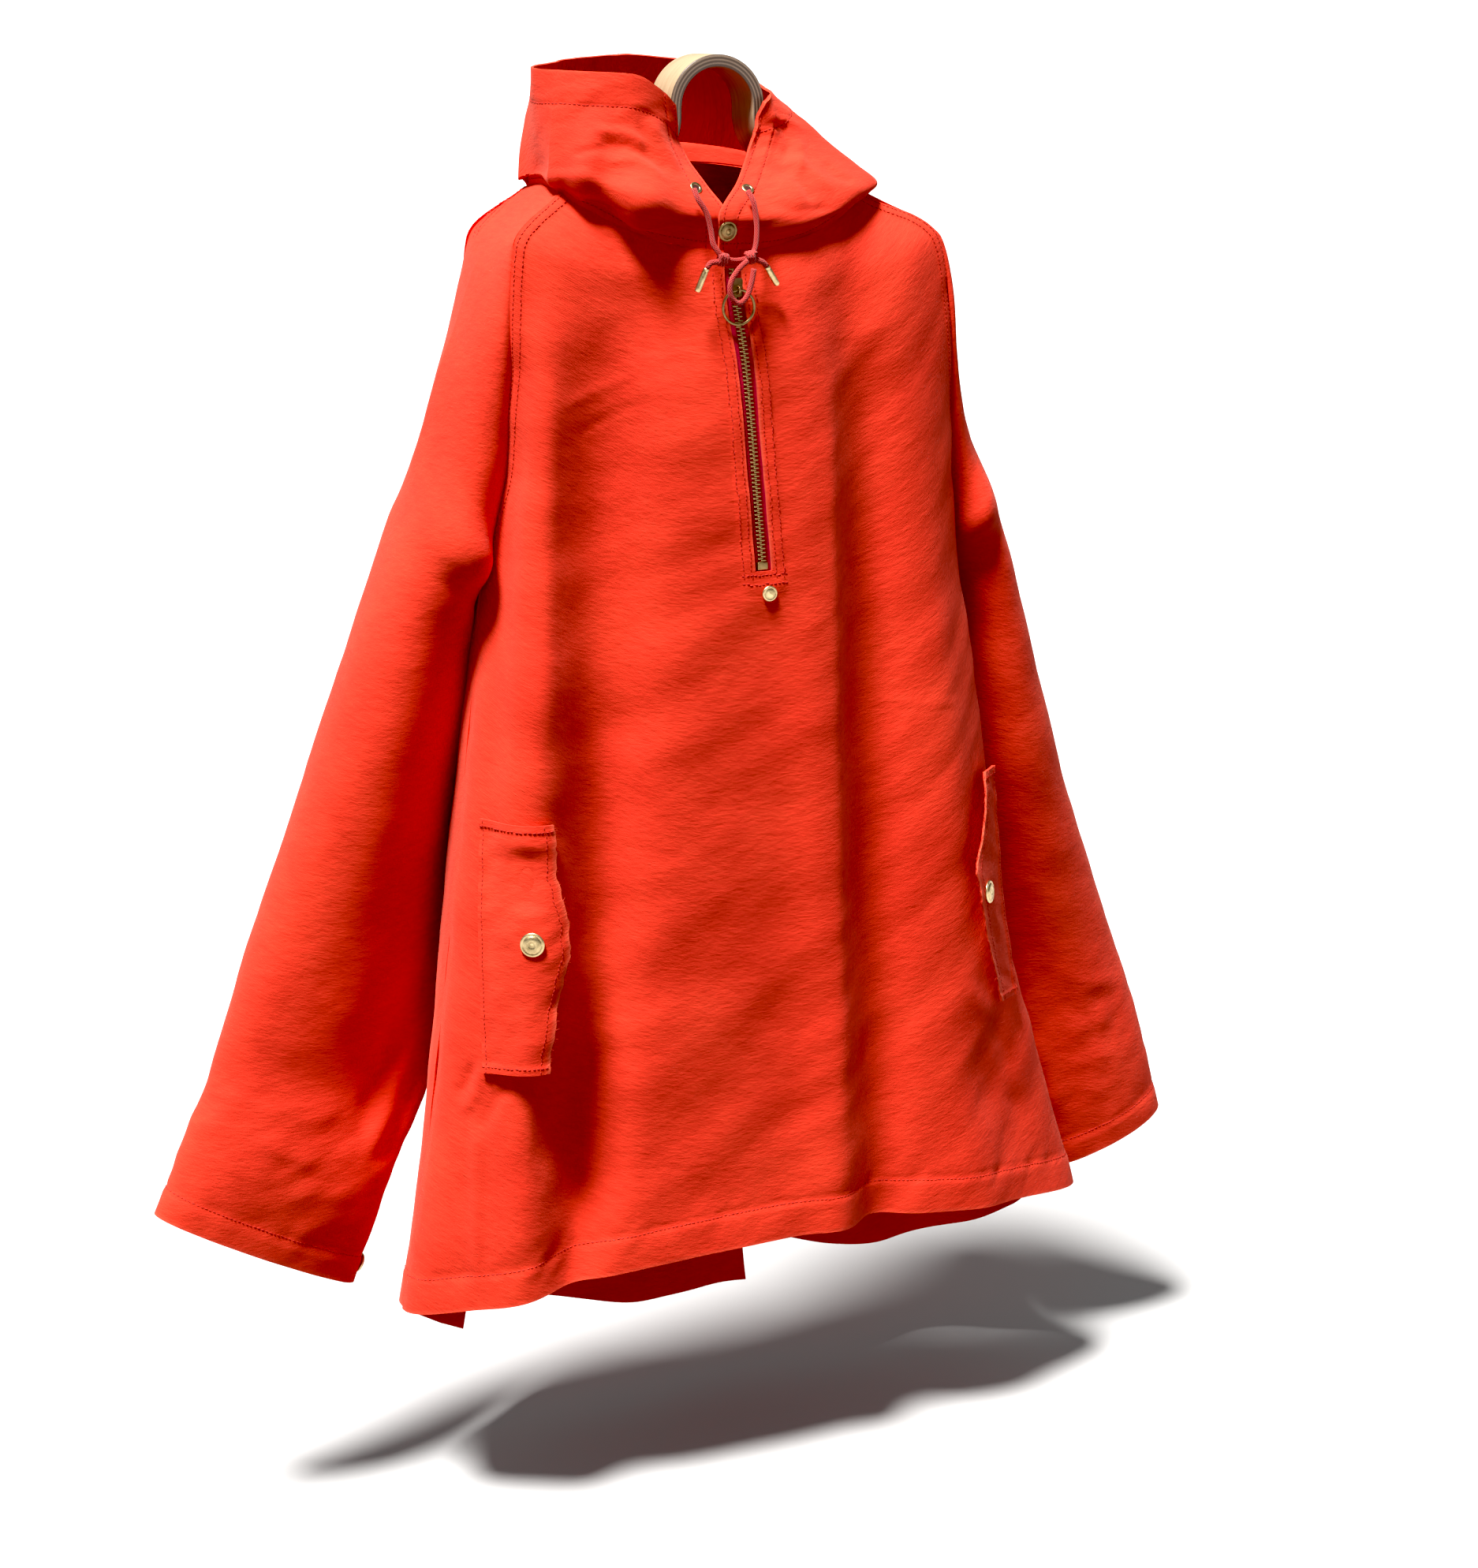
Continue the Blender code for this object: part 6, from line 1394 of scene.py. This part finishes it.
def make_hood(half):
    last = len(HOOD_STATIONS) - 1.0
    end = 0.0 if half == "left" else last
    ups = np.linspace(0, 5, 401)
    fine = hood_points(np.linspace(HOOD_BACK_STATION, end, HOOD_FINE_COLUMNS), ups)
    lengths = np.linalg.norm(np.diff(fine, axis=0), axis=2).mean(axis=1)
    along = np.concatenate([[0], np.cumsum(lengths)])
    ups = np.interp(np.linspace(0, along[-1], HOOD_ROWS), along, ups)
    stations = np.linspace(HOOD_BACK_STATION, end, 401)
    neck = hood_points(stations, (0.0, 2.5))
    along = np.concatenate([[0], np.cumsum(np.linalg.norm(np.diff(neck, axis=1), axis=2).mean(axis=0))])
    stations = np.interp(np.linspace(0, along[-1], HOOD_FINE_COLUMNS), along, stations)
    grid = hood_points(stations, ups)
    outward = grid - (-0.01, 0.0, -0.06)
    outward[..., 2] = 0
    hood = Cloth("hood_" + half, grid, outward)
    station, up = stations[None, :], ups[:, None]
    ahead = HOOD_SEEN[half] - station if half == "left" else station - HOOD_SEEN[half]
    seen = ease(ahead / 0.6)
    hood.swell(HOOD_SWELLS[half], seen)
    for path, width, height, *kind in HOOD_CREASES[half]:
        hood.height += crease(hood.view, path, width, height / 1000, *kind) * seen
    where = np.stack(np.broadcast_arrays(station, up), axis=-1)
    for path, width, height in HOOD_BACK_CREASES[half]:
        hood.height += crease(where, path, width, height / 1000)
    hood.dents(((40, 1.2, 0.6), (20, 0.45, -0.5), (11, 0.13, 0.4)), seed=161 if half == "left" else 181)
    from_rim = hood.length - hood.v
    from_end = hood.width - hood.u
    rim = from_rim / HOOD_HEM_DEPTH
    hood.extra += 0.0004 * ease((1.0 - rim) / 0.14)
    hood.height -= 0.0002 * np.exp(-(((rim - 1.0) / 0.06) ** 2))
    hood.height += 0.0007 * soft_noise(hood.u, hood.v * 0.3, 0.014, 191) * np.exp(-(((rim - 1.0) / 0.4) ** 2))
    front_band = from_end / FACE_BAND
    hood.extra += 0.0009 * ease((1.0 - front_band) / 0.08)
    hood.height -= 0.0004 * np.exp(-(((front_band - 1.0) / 0.06) ** 2))
    hood.extra += 0.0006 * ease((0.0085 - hood.u) / 0.0012)
    hood.wear += 0.4 * np.exp(-((from_rim / 0.0012) ** 2)) + 0.4 * np.exp(-((from_end / 0.0012) ** 2))
    hood.height *= ease(hood.v / 0.008)
    hood.height *= ease(hood.u / 0.004)
    hood.moved()
    # the lowest row turns in to the body's neck seam
    hood.points[0] -= hood.normals[0] * 0.0002 + np.array((0, 0, HOOD_SEAM_LIFT * 0.9))
    piece = hood.build("canvas", None, ("hood_" + half,))
    columns = np.arange(len(stations))
    rows = np.arange(len(ups))
    stitch(hood, hood.row_where(-from_rim, -HOOD_HEM_DEPTH), columns, seed=201)
    stitch(hood, rows, hood.column_where(-from_end, -FACE_BAND), seed=202)
    stitch(hood, rows, hood.column_where(-from_end, -0.0035), seed=203)
    stitch(hood, rows, hood.column_where(hood.u, 0.0024), seed=204)
    stitch(hood, hood.row_where(hood.v, 0.0030), columns, seed=205)
    return hood, piece


def flap_points(side, level, part):
    table = np.array(FLAPS[side])
    sewn, free, lift = (through(table[:, 0], table[:, k], level) for k in (1, 2, 3))
    stand = FLAP_SEAM_STAND + np.maximum(lift - FLAP_SEAM_STAND, 0) * part**1.3 * FLAP_LIFT
    return front_frame(level, sewn + (free - sewn) * part, stand)[0]


def make_flap(side):
    table = FLAPS[side]
    levels = np.linspace(table[0][0], table[-1][0], FLAP_ROWS)
    parts = np.linspace(0, 1, FLAP_COLUMNS + 1)
    rng = np.random.default_rng(7 if side == "left" else 8)
    ragged = soft_noise(np.arange(FLAP_ROWS) * 1.0, np.zeros(FLAP_ROWS), 2.1, 301) * 0.012
    ragged += soft_noise(np.arange(FLAP_ROWS) * 1.0, np.zeros(FLAP_ROWS), 7.0, 302) * 0.016
    share = parts[None, :] * (1 + (ragged[:, None] - 0.01) * parts[None, :] ** 6)
    grid = flap_points(side, levels[:, None], share)
    flap = Cloth("pocket_flap_" + side, grid, (0, -1, 0))
    edge = flap.width - flap.u
    ends = np.minimum(flap.v, flap.length - flap.v)
    billow = soft_noise(flap.v, flap.u * 0.35, 0.034, 311 if side == "left" else 312)
    flap.height += 0.0022 * billow * parts[None, :] ** 1.4 * ease(ends / 0.02)
    flap.height += 0.0007 * soft_noise(flap.u + 0.5 * flap.v, flap.v, 0.014, 313) * ease(ends / 0.012)
    flap.crease(FLAP_CREASES[side])
    flap.extra += 0.0008 * ease((0.006 - flap.u) / 0.001)
    flap.extra += 0.0008 * ease((0.007 - ends) / 0.001)
    flap.wear += 0.9 * np.exp(-((edge / 0.0022) ** 2))
    flap.moved()
    piece = flap.build("canvas", None, ("pocket_flap_" + side,))
    rows = np.arange(FLAP_ROWS)
    stitch(flap, rows, flap.column_where(flap.u, 0.0035), seed=321)
    stitch(flap, rows, flap.column_where(-edge, -0.0075), seed=322)
    columns = np.arange(FLAP_COLUMNS + 1)
    stitch(flap, flap.row_where(flap.v, 0.0050), columns, seed=323)
    stitch(flap, flap.row_where(flap.v - flap.length, -0.0050), columns, seed=324)
    threads = []
    for r in np.sort(rng.uniform(0, FLAP_ROWS - 1.01, 260)):
        point, normal = flap.at(r, FLAP_COLUMNS, -0.0008)
        inner, _ = flap.at(r, FLAP_COLUMNS - 2, -0.0008)
        after, _ = flap.at(min(r + 1, FLAP_ROWS - 1.02), FLAP_COLUMNS, -0.0008)
        out, along = unit(point - inner), unit(after - point)
        length = rng.choice((0.0012, 0.0022, 0.0038), p=(0.45, 0.40, 0.15)) * rng.uniform(0.7, 1.2)
        way = unit(out + along * rng.normal(0.15, 0.55) + normal * rng.normal(0, 0.35))
        bend = along * rng.normal(0, 0.5) + normal * rng.normal(0, 0.4)
        t = np.linspace(0, 1, 4)[:, None]
        threads.append(point - out * 0.0008 + normal * rng.uniform(-0.0006, 0.0006) + (way * t + bend * t**2 * 0.5) * length)
    tubes("flap_fray_" + side, threads, 0.00022, 4, "shaded_thread", taper=True)
    return flap, piece


# ---------------------------------------------------------------- zip and metal trim


def make_zip():
    levels = np.linspace(0.40, ZIP_BOTTOM_LEVEL + 0.10, 90)
    tapes = {}
    for side, low, high in (("left", -TAPE_HALF, -0.0007), ("right", 0.0007, TAPE_HALF)):
        across = np.linspace(low, high, 12)
        part = girth_part(zip_x(levels)[:, None] + across, levels[:, None])
        grid = front_frame(levels[:, None], part, -TAPE_STAND + 0.0002)[0]
        tape = Cloth("zip_tape_" + side, grid, (0, -1, 0), wall=0.0009)
        tape.dents(((12, 0.20, 0.2),), seed=401)
        tape.moved()
        tapes[side] = (tape, tape.build("zip_tape", None, ("zip_tape_" + side,)))
    fine = np.linspace(0.42, ZIP_BOTTOM_LEVEL - 0.075, 1200)
    stand = -TAPE_STAND + 0.00045 + SEAM_GAP + CHAIN_THICK / 2 + 0.0004
    line, over, down, out = front_frame(fine, girth_part(zip_x(fine), fine), stand)
    along = lengths_along(line)
    tooth = block((0.0042, 0.00115, 0.0023), 0.00040, 2)
    places, alongs, outs = [], [], []
    for side in (-1, 1):
        at = np.arange(0.0012 + (0.0015 if side > 0 else 0), along[-1], 0.0030)
        pick = lambda field: np.stack([np.interp(at, along, field[:, k]) for k in range(3)], axis=1)
        places.append(pick(line) + pick(over) * side * 0.00120)
        alongs.append(pick(over) * side + pick(down) * 0.05)
        outs.append(pick(out))
    teeth = (np.concatenate(rows) for rows in (places, alongs, outs))
    scatter("zip_chain", tooth, *teeth, "dark_brass", ("zip_chain",))
    level = ZIP_BOTTOM_LEVEL - 0.045
    place, over, down, out = front_frame(level, girth_part(zip_x(level), level), stand + 0.0003)
    stop = block((0.0084, STOP_LENGTH, 0.0028), 0.0007, 3)
    scatter("zip_stop", stop, [place], [over], [out], "dark_brass", ("zip_stop",))
    return tapes


def make_slider():
    upper = np.linspace(0, 5, 401)
    level = float(np.interp(-SLIDER_Z, -body_at(upper)["front_z"], upper))
    place, _, _, out = front_frame(level, girth_part(zip_x(level), level))
    out = unit(np.array((0, out[1], out[2])))
    across, deep, down = SLIDER_SIZE
    centre = place + out * (SLIDER_STAND + deep / 2)
    lean = math.atan2(out[2], -out[1])
    matrix = Matrix.Translation(Vector(centre)) @ Matrix.Rotation(-lean, 4, "X")
    mesh = bmesh.new()
    outline = (  # part of the half width at parts of the height
        (-0.50, 0.52), (-0.44, 0.66), (-0.20, 0.74), (0.05, 0.86), (0.28, 1.0), (0.44, 0.96), (0.50, 0.80),
    )
    for low, high in ((-0.5, -0.17), (0.12, 0.5)):
        ring = [(wide * across / 2, z * down) for z, wide in outline]
        ring += [(-x, z) for x, z in ring[::-1]]
        faces = []
        for y in (low * deep, high * deep):
            faces.append([mesh.verts.new((x, y, z)) for x, z in ring])
        mesh.faces.new(faces[0])
        mesh.faces.new(faces[1][::-1])
        for k in range(len(ring)):
            after = (k + 1) % len(ring)
            mesh.faces.new((faces[0][k], faces[1][k], faces[1][after], faces[0][after]))
    core = bmesh.ops.create_cube(mesh, size=1.0)["verts"]
    bmesh.ops.scale(mesh, vec=(across * 0.26, deep * 0.5, down * 0.55), verts=core)
    bmesh.ops.translate(mesh, vec=(0, 0, down * 0.16), verts=core)
    bmesh.ops.recalc_face_normals(mesh, faces=mesh.faces)
    bmesh.ops.bevel(mesh, geom=list(mesh.edges), offset=0.00035, segments=2, affect="EDGES")
    mesh.transform(matrix)
    data = bpy.data.meshes.new("zip_slider")
    mesh.to_mesh(data)
    mesh.free()
    data.shade_smooth()
    data.set_sharp_from_angle(angle=math.radians(40))
    add_piece("zip_slider", data, "dark_brass", ("zip_slider",))
    local = [(0.0, y - deep / 2, PIVOT_DOWN + z) for y, z in BAIL_ROUTE]
    route = rounded([tuple(matrix @ Vector(point)) for point in local], count=28)
    tubes("zip_bail", [route], BAIL_WIRE, 12, "dark_brass")
    pivot = matrix @ Vector((0.0, -deep / 2 - PIVOT_OUT, PIVOT_DOWN))
    steps, sides = 96, 16
    a = np.linspace(0, 2 * np.pi, steps, endpoint=False)[:, None]
    b = np.linspace(0, 2 * np.pi, sides, endpoint=False)[None, :]
    reach = RING_RADIUS + RING_WIRE * np.cos(b)
    axes = (reach * np.sin(a), RING_WIRE * np.sin(b), reach * np.cos(a) - RING_RADIUS)
    points = np.stack(np.broadcast_arrays(*axes), axis=-1).reshape(-1, 3) + np.array(pivot)
    faces = []
    for i in range(steps):
        near, far = i * sides, (i + 1) % steps * sides
        faces += [(near + j, far + j, far + (j + 1) % sides, near + (j + 1) % sides) for j in range(sides)]
    add_mesh("pull_ring", points, np.array(faces), "dark_brass", nodes=("pull_ring",), body="ring")


# part of the radius, part of the height: a rolled edge, a groove, a low dome and a sunk middle
CAP_PROFILE = (
    (0.0, 0.0), (0.94, 0.0), (0.985, 0.10), (1.0, 0.28), (0.985, 0.46), (0.94, 0.60), (0.87, 0.66), (0.80, 0.62),
    (0.76, 0.58), (0.72, 0.66), (0.66, 0.80), (0.56, 0.92), (0.44, 0.985), (0.36, 1.0), (0.30, 0.97), (0.26, 0.90),
    (0.20, 0.87), (0.10, 0.86), (0.0, 0.86),
)


def cap(name, size, place, out, look="brass"):
    radius, height = size
    return turned(name, [(r * radius + 1e-6, h * height) for r, h in CAP_PROFILE], look, place, out, (name,))


def surface_frame(point_at, a, b, step=0.05):
    point = point_at(a, b)
    over = point_at(a + step, b) - point_at(a - step, b)
    down = point_at(a, b + step) - point_at(a, b - step)
    normal = unit(np.cross(over, down))
    if normal @ np.array((point[0], point[1], 0)) < 0:
        normal = -normal
    return point, normal


def nearest(cloth, point):
    """The place on a cloth's outer face nearest to a point, and the normal there."""
    outer = cloth.outer()
    r, c = np.unravel_index(((outer - point) ** 2).sum(axis=2).argmin(), outer.shape[:2])
    return outer[r, c], cloth.normals[r, c]


def make_trim(front, flaps, hoods):
    for side in ("left", "right"):
        level, part = FLAP_SNAP[side]
        point, _ = surface_frame(lambda a, b: flap_points(side, a, b), level, part, 0.08)
        place, normal = nearest(flaps[side], point)
        cap("flap_snap_" + side, FLAP_CAP, place - normal * 0.0001, normal)
    one_hood = lambda a, b: hood_points(np.array([a]), (b,))[0, 0]
    point, _ = surface_frame(one_hood, 12.87, 0.98)
    place, normal = nearest(hoods["right"], point)
    # The neck snap takes the zip's darker brass, not the brass of the other snaps: painted shade, for the shade it sits
    # in under the hood.
    cap("neck_snap", NECK_CAP, place, normal, "dark_brass")
    across = girth_part(zip_x(STUD_LEVEL) + 0.0045, STUD_LEVEL)
    place, normal = nearest(front, front_points(STUD_LEVEL, across))
    radius, height = STUD_CAP
    profile = [(r * radius + 1e-6, h * height) for r, h in (
        (0.0, 0.0), (0.95, 0.0), (1.0, 0.25), (0.98, 0.6), (0.90, 0.85), (0.80, 0.90), (0.74, 0.82), (0.66, 0.78),
        (0.60, 0.86), (0.30, 0.92), (0.0, 0.93))]
    turned("front_stud", profile, "brass", place - normal * 0.0001, normal, ("front_stud",))
    for side in ("left", "right"):
        point = sleeve_points(side, 10.75, np.array(0.985))
        inner = sleeve_points(side, 10.75, np.array(0.5))
        out = unit(np.array((point[0] - inner[0], 0.0, point[2] - inner[2])))
        cap("cuff_snap_" + side, CUFF_CAP, point + out * (WALL / 2 + 0.0010), out)
    radius, hole, height = EYELET
    for name, station, up, hood in (("eyelet_left", 0.514, 2.917, "left"), ("eyelet_right", 12.622, 2.831, "right")):
        point, normal = surface_frame(one_hood, station, up)
        place, normal = nearest(hoods[hood], point + normal * 0.0008)
        half = (radius - hole) / 2
        turns = np.linspace(-math.pi, math.pi, 25)
        ring = [(radius - half + half * math.cos(a), height * 0.5 * (1 + math.sin(a))) for a in turns]
        turned(name, ring, "brass", place - normal * 0.0005, normal, (name,))
        # A thin disc of near-black in the eyelet's hole: painted shade for the dark inside seen through it.
        dark = [(1e-6, 0.0), (hole * 1.05, 0.0), (hole * 1.05, 0.0002), (1e-6, 0.0002)]
        turned(name + "_hole", dark, "painted_hole_shade", place + normal * 0.00005, normal)


# ---------------------------------------------------------------- drawcord and hanger


def knot_coil(centre, axis, radius, turns, seed):
    """A small knot: the cord wound round itself a few times, along an axis."""
    axis = unit(np.array(axis, float))
    side = unit(np.cross(axis, (0.3, 1.0, 0.2)))
    other = np.cross(axis, side)
    t = np.linspace(0, 1, 64)
    angle = 2 * np.pi * turns * t + seed
    wobble = 1 + 0.18 * np.sin(3 * angle + seed)
    reach = radius * wobble
    return (np.array(centre) + axis * ((t - 0.5) * 0.0056)[:, None]
            + side * (reach * np.cos(angle))[:, None] + other * (reach * np.sin(angle) * 0.8)[:, None])


def make_cords():
    for name, centre, axis, seed in (
        ("knot_left", KNOT_LEFT, (1.0, 0.1, -0.25), 0.4), ("knot_right", KNOT_RIGHT, (-1.0, 0.1, -0.2), 2.1),
    ):
        coil = knot_coil(centre, axis, 0.0030, 2.3, seed)
        tubes(name, [coil], CORD_RADIUS * 0.98, 14, "cord", (name,))
    for name, start, tip in (
        ("aglet_left", TAIL_LEFT_ROUTE[-1], AGLET_LEFT_TIP), ("aglet_right", TAIL_RIGHT_ROUTE[-1], AGLET_RIGHT_TIP),
    ):
        start, tip = np.array(start), np.array(tip)
        way = unit(tip - start)
        length = np.linalg.norm(tip - start) - 0.0012
        r = AGLET_RADIUS
        profile = [
            (1e-6, 0.0), (r * 0.88, 0.0), (r * 0.98, 0.0004), (r, 0.0010), (r * 0.90, 0.0019), (r * 0.90, 0.0024),
            (r, 0.0032), (r, length - 0.0030), (r * 0.97, length - 0.0012), (r * 0.80, length - 0.0002),
            (r * 0.6, length), (1e-6, length),
        ]
        turned(name, profile, "brass", start + way * 0.0006, way, (name,), steps=32)
    from_eyelet = np.array(CORD_LEFT)
    from_eyelet[0] += (0.0037, -0.0017, 0.0015)  # the eye of the eyelet, on the dressed hood
    lay = {
        "left": rounded(np.vstack([from_eyelet, [KNOT_LEFT], TAIL_LEFT_ROUTE]), step=0.0014),
        "right": rounded(np.vstack([CORD_RIGHT, [KNOT_RIGHT], TAIL_RIGHT_ROUTE]), step=0.0014),
    }
    for side, path in lay.items():
        nodes = ("cord_" + side, "cord_tail_" + side)
        piece = tubes("cord_" + side, [path], CORD_RADIUS, 16, "cord", nodes)
        length = float(lengths_along(path)[-1])
    path = rounded(BOW_ROUTE, step=0.0014)
    bow = tubes("cord_bow", [path], CORD_RADIUS, 16, "cord", ("cord_bow",))
    length = float(lengths_along(path)[-1])
    cross = rounded(np.vstack([[KNOT_LEFT], CROSS_ROUTE, [KNOT_RIGHT]]), step=0.0014)
    across = tubes("cord_cross", [cross], CORD_RADIUS, 16, "cord", ("cord_cross",))


def make_hanger():
    """The band, with softened edges, grain on its broad faces and layers on its edges."""
    radius = LOOP_INNER_RADIUS + BAND_THICK / 2
    arch = [(-radius * math.cos(a), -LOOP_INNER_RADIUS + radius * math.sin(a)) for a in np.linspace(0.0, math.pi / 2, 8)]
    half = [*HANGER_ROUTE[::-1], *arch]
    route = np.array(half + [(-x, z) for x, z in half[-2::-1]])
    middle = rounded(route, count=240)
    way = unit(np.gradient(middle, axis=0))
    normal = np.stack([-way[:, 1], way[:, 0]], axis=1)
    thick, deep, soft = BAND_THICK / 2, BAND_DEPTH / 2, 0.0011
    ring = []
    for sx, sy in ((1, -1), (1, 1), (-1, 1), (-1, -1)):
        for a in (0, 22.5, 45, 67.5, 90):
            turn = math.radians(a)
            one, two = (math.sin(turn), math.cos(turn)) if sx * sy < 0 else (math.cos(turn), math.sin(turn))
            ring.append((sx * (thick - soft + soft * one), sy * (deep - soft + soft * two)))
    ring = np.array(ring)
    ring = ring[np.argsort(np.arctan2(ring[:, 1], ring[:, 0]))]
    along = lengths_along(middle)
    count = len(ring)
    points = np.empty((len(middle), count, 3))
    points[..., 0] = middle[:, None, 0] + normal[:, None, 0] * ring[None, :, 0]
    points[..., 1] = ring[None, :, 1]
    points[..., 2] = middle[:, None, 1] + normal[:, None, 1] * ring[None, :, 0]
    points = points.reshape(-1, 3)
    faces, edge = [], []
    for k in range(len(middle) - 1):
        for j in range(count):
            after = (j + 1) % count
            faces.append((k * count + j, (k + 1) * count + j, (k + 1) * count + after, k * count + after))
            edge.append(1 if abs(ring[[j, after], 1].mean()) > deep - soft * 1.01 else 0)
    for k, flip in ((0, False), (len(middle) - 1, True)):
        face = [k * count + j for j in range(count)]
        faces.append(face[::-1] if flip else face)
        edge.append(1)
    mesh = bpy.data.meshes.new("hanger")
    mesh.from_pydata(points.tolist(), [], faces)
    mesh.shade_smooth()
    mesh.materials.append(LOOKS["wood"])
    mesh.materials.append(LOOKS["ply_edge"])
    mesh.polygons.foreach_set("material_index", edge)
    layer = mesh.uv_layers.new(name="cloth")
    uv = np.empty((len(mesh.loops), 2))
    corner = np.empty(len(mesh.loops), np.int32)
    mesh.loops.foreach_get("vertex_index", corner)
    on_edge = np.zeros(len(mesh.loops), bool)
    for face, kind in zip(mesh.polygons, edge):
        on_edge[list(face.loop_indices)] = bool(kind)
    uv[:, 0] = along[corner // count]
    uv[:, 1] = np.where(on_edge, ring[corner % count, 0], ring[corner % count, 1])
    layer.data.foreach_set("uv", uv.ravel())
    mesh.set_sharp_from_angle(angle=math.radians(40))
    add_piece("hanger", mesh, None, ("hanger",))


# ---------------------------------------------------------------- light, floor and camera


def make_stage():
    floor = bpy.data.meshes.new("floor")
    far = 60.0
    corners = [(x * far, y * far, FLOOR_Z) for x, y in ((-1, -1), (1, -1), (1, 1), (-1, 1))]
    floor.from_pydata(corners, [], [(0, 1, 2, 3)])
    floor.materials.append(LOOKS["floor"])
    piece = bpy.data.objects.new("floor", floor)
    bpy.context.scene.collection.objects.link(piece)
    piece.visible_diffuse = False
    light = bpy.data.lights.new("sun", "SUN")
    light.energy = SUN_STRENGTH
    light.angle = math.radians(SUN_SPREAD)
    light.color = (1.0, 0.985, 0.965)
    sun = bpy.data.objects.new("sun", light)
    azimuth, height = math.radians(SUN_AZIMUTH), math.radians(SUN_HEIGHT)
    towards = Vector((-math.sin(azimuth) * math.cos(height), math.cos(azimuth) * math.cos(height), -math.sin(height)))
    sun.rotation_euler = towards.to_track_quat("-Z", "Y").to_euler()
    bpy.context.scene.collection.objects.link(sun)
    fill = bpy.data.lights.new("fill", "SUN")
    fill.energy = FILL_STRENGTH
    fill.angle = math.radians(40)
    behind = bpy.data.objects.new("fill", fill)
    behind.rotation_euler = Vector((-0.25, -1.0, -0.55)).to_track_quat("-Z", "Y").to_euler()
    bpy.context.scene.collection.objects.link(behind)
    lit = bpy.data.collections.new("lit_by_fill")
    for thing in bpy.data.objects:
        if thing.type in ("MESH", "CURVE") and thing is not piece:
            lit.objects.link(thing)
    behind.light_linking.receiver_collection = lit
    world = bpy.data.worlds.new("sky")
    bpy.context.scene.world = world
    world.use_nodes = True
    n = SkyNodes(world)
    height = n.add("SeparateXYZ", {0: n.add("TexCoord").outputs["Generated"]}).outputs[2]
    near = {"From Min": 0.04, "From Max": 0.10, "To Min": SKY_SEEN, "To Max": SKY_STRENGTH}
    low = {"From Min": -0.06, "From Max": -0.02, "To Min": SKY_STRENGTH, "To Max": 0.0}
    near, low = (n.add("MapRange", {"Value": height, **stops}).outputs[0] for stops in (near, low))
    lit = n.add("Mix", {0: n.math("LESS_THAN", height, -0.02), 2: near, 3: low}, data_type="FLOAT").outputs[0]
    to_camera = n.add("LightPath").outputs["Is Camera Ray"]
    shown = n.add("Mix", {0: to_camera, 2: lit, 3: SKY_SEEN}, data_type="FLOAT").outputs[0]
    n.set(Color=(1, 1, 1, 1), Strength=shown)
    camera = bpy.data.cameras.new("camera")
    camera.sensor_width = 36
    camera.lens = VIEW_FOCAL / VIEW_SIZE[1] * 36
    camera.clip_end = 500
    eye = bpy.data.objects.new("camera", camera)
    eye.location = VIEW_PLACE
    eye.rotation_euler = VIEW_AHEAD.to_track_quat("-Z", "Y").to_euler()
    bpy.context.scene.collection.objects.link(eye)
    bpy.context.scene.camera = eye
    settings = bpy.context.scene.view_settings
    settings.view_transform = "Standard"
    settings.use_curve_mapping = True
    settings.curve_mapping.black_level = (BLACK_LEVEL,) * 3
    settings.curve_mapping.update()


def main():
    make_canvas()
    make_plain_looks()
    # Near-black material for the disc in each eyelet's hole: painted shade.
    dark = Nodes("painted_hole_shade")
    dark.set(Base_Color=(0.05, 0.004, 0.003, 1), Roughness=0.9)
    make_stage()
    make_cords()
    front, front_piece = make_front()
    flaps, hoods = {}, {}
    for side in ("left", "right"):
        back, piece = make_back(side)
        sleeve, piece = make_sleeve(side)
        hood, piece = make_hood(side)
        hoods[side] = hood
        flap, piece = make_flap(side)
        flaps[side] = flap
    tapes = make_zip()
    make_slider()
    make_trim(front, flaps, hoods)
    make_hanger()
    every = {key: np.concatenate(rows) for key, rows in STITCHES.items()}
    scatter("sewing", bead(0.0027, 0.00075, 0.00050), every["places"], every["alongs"], every["outs"], "shaded_thread",
            scales=every["scales"])


main()
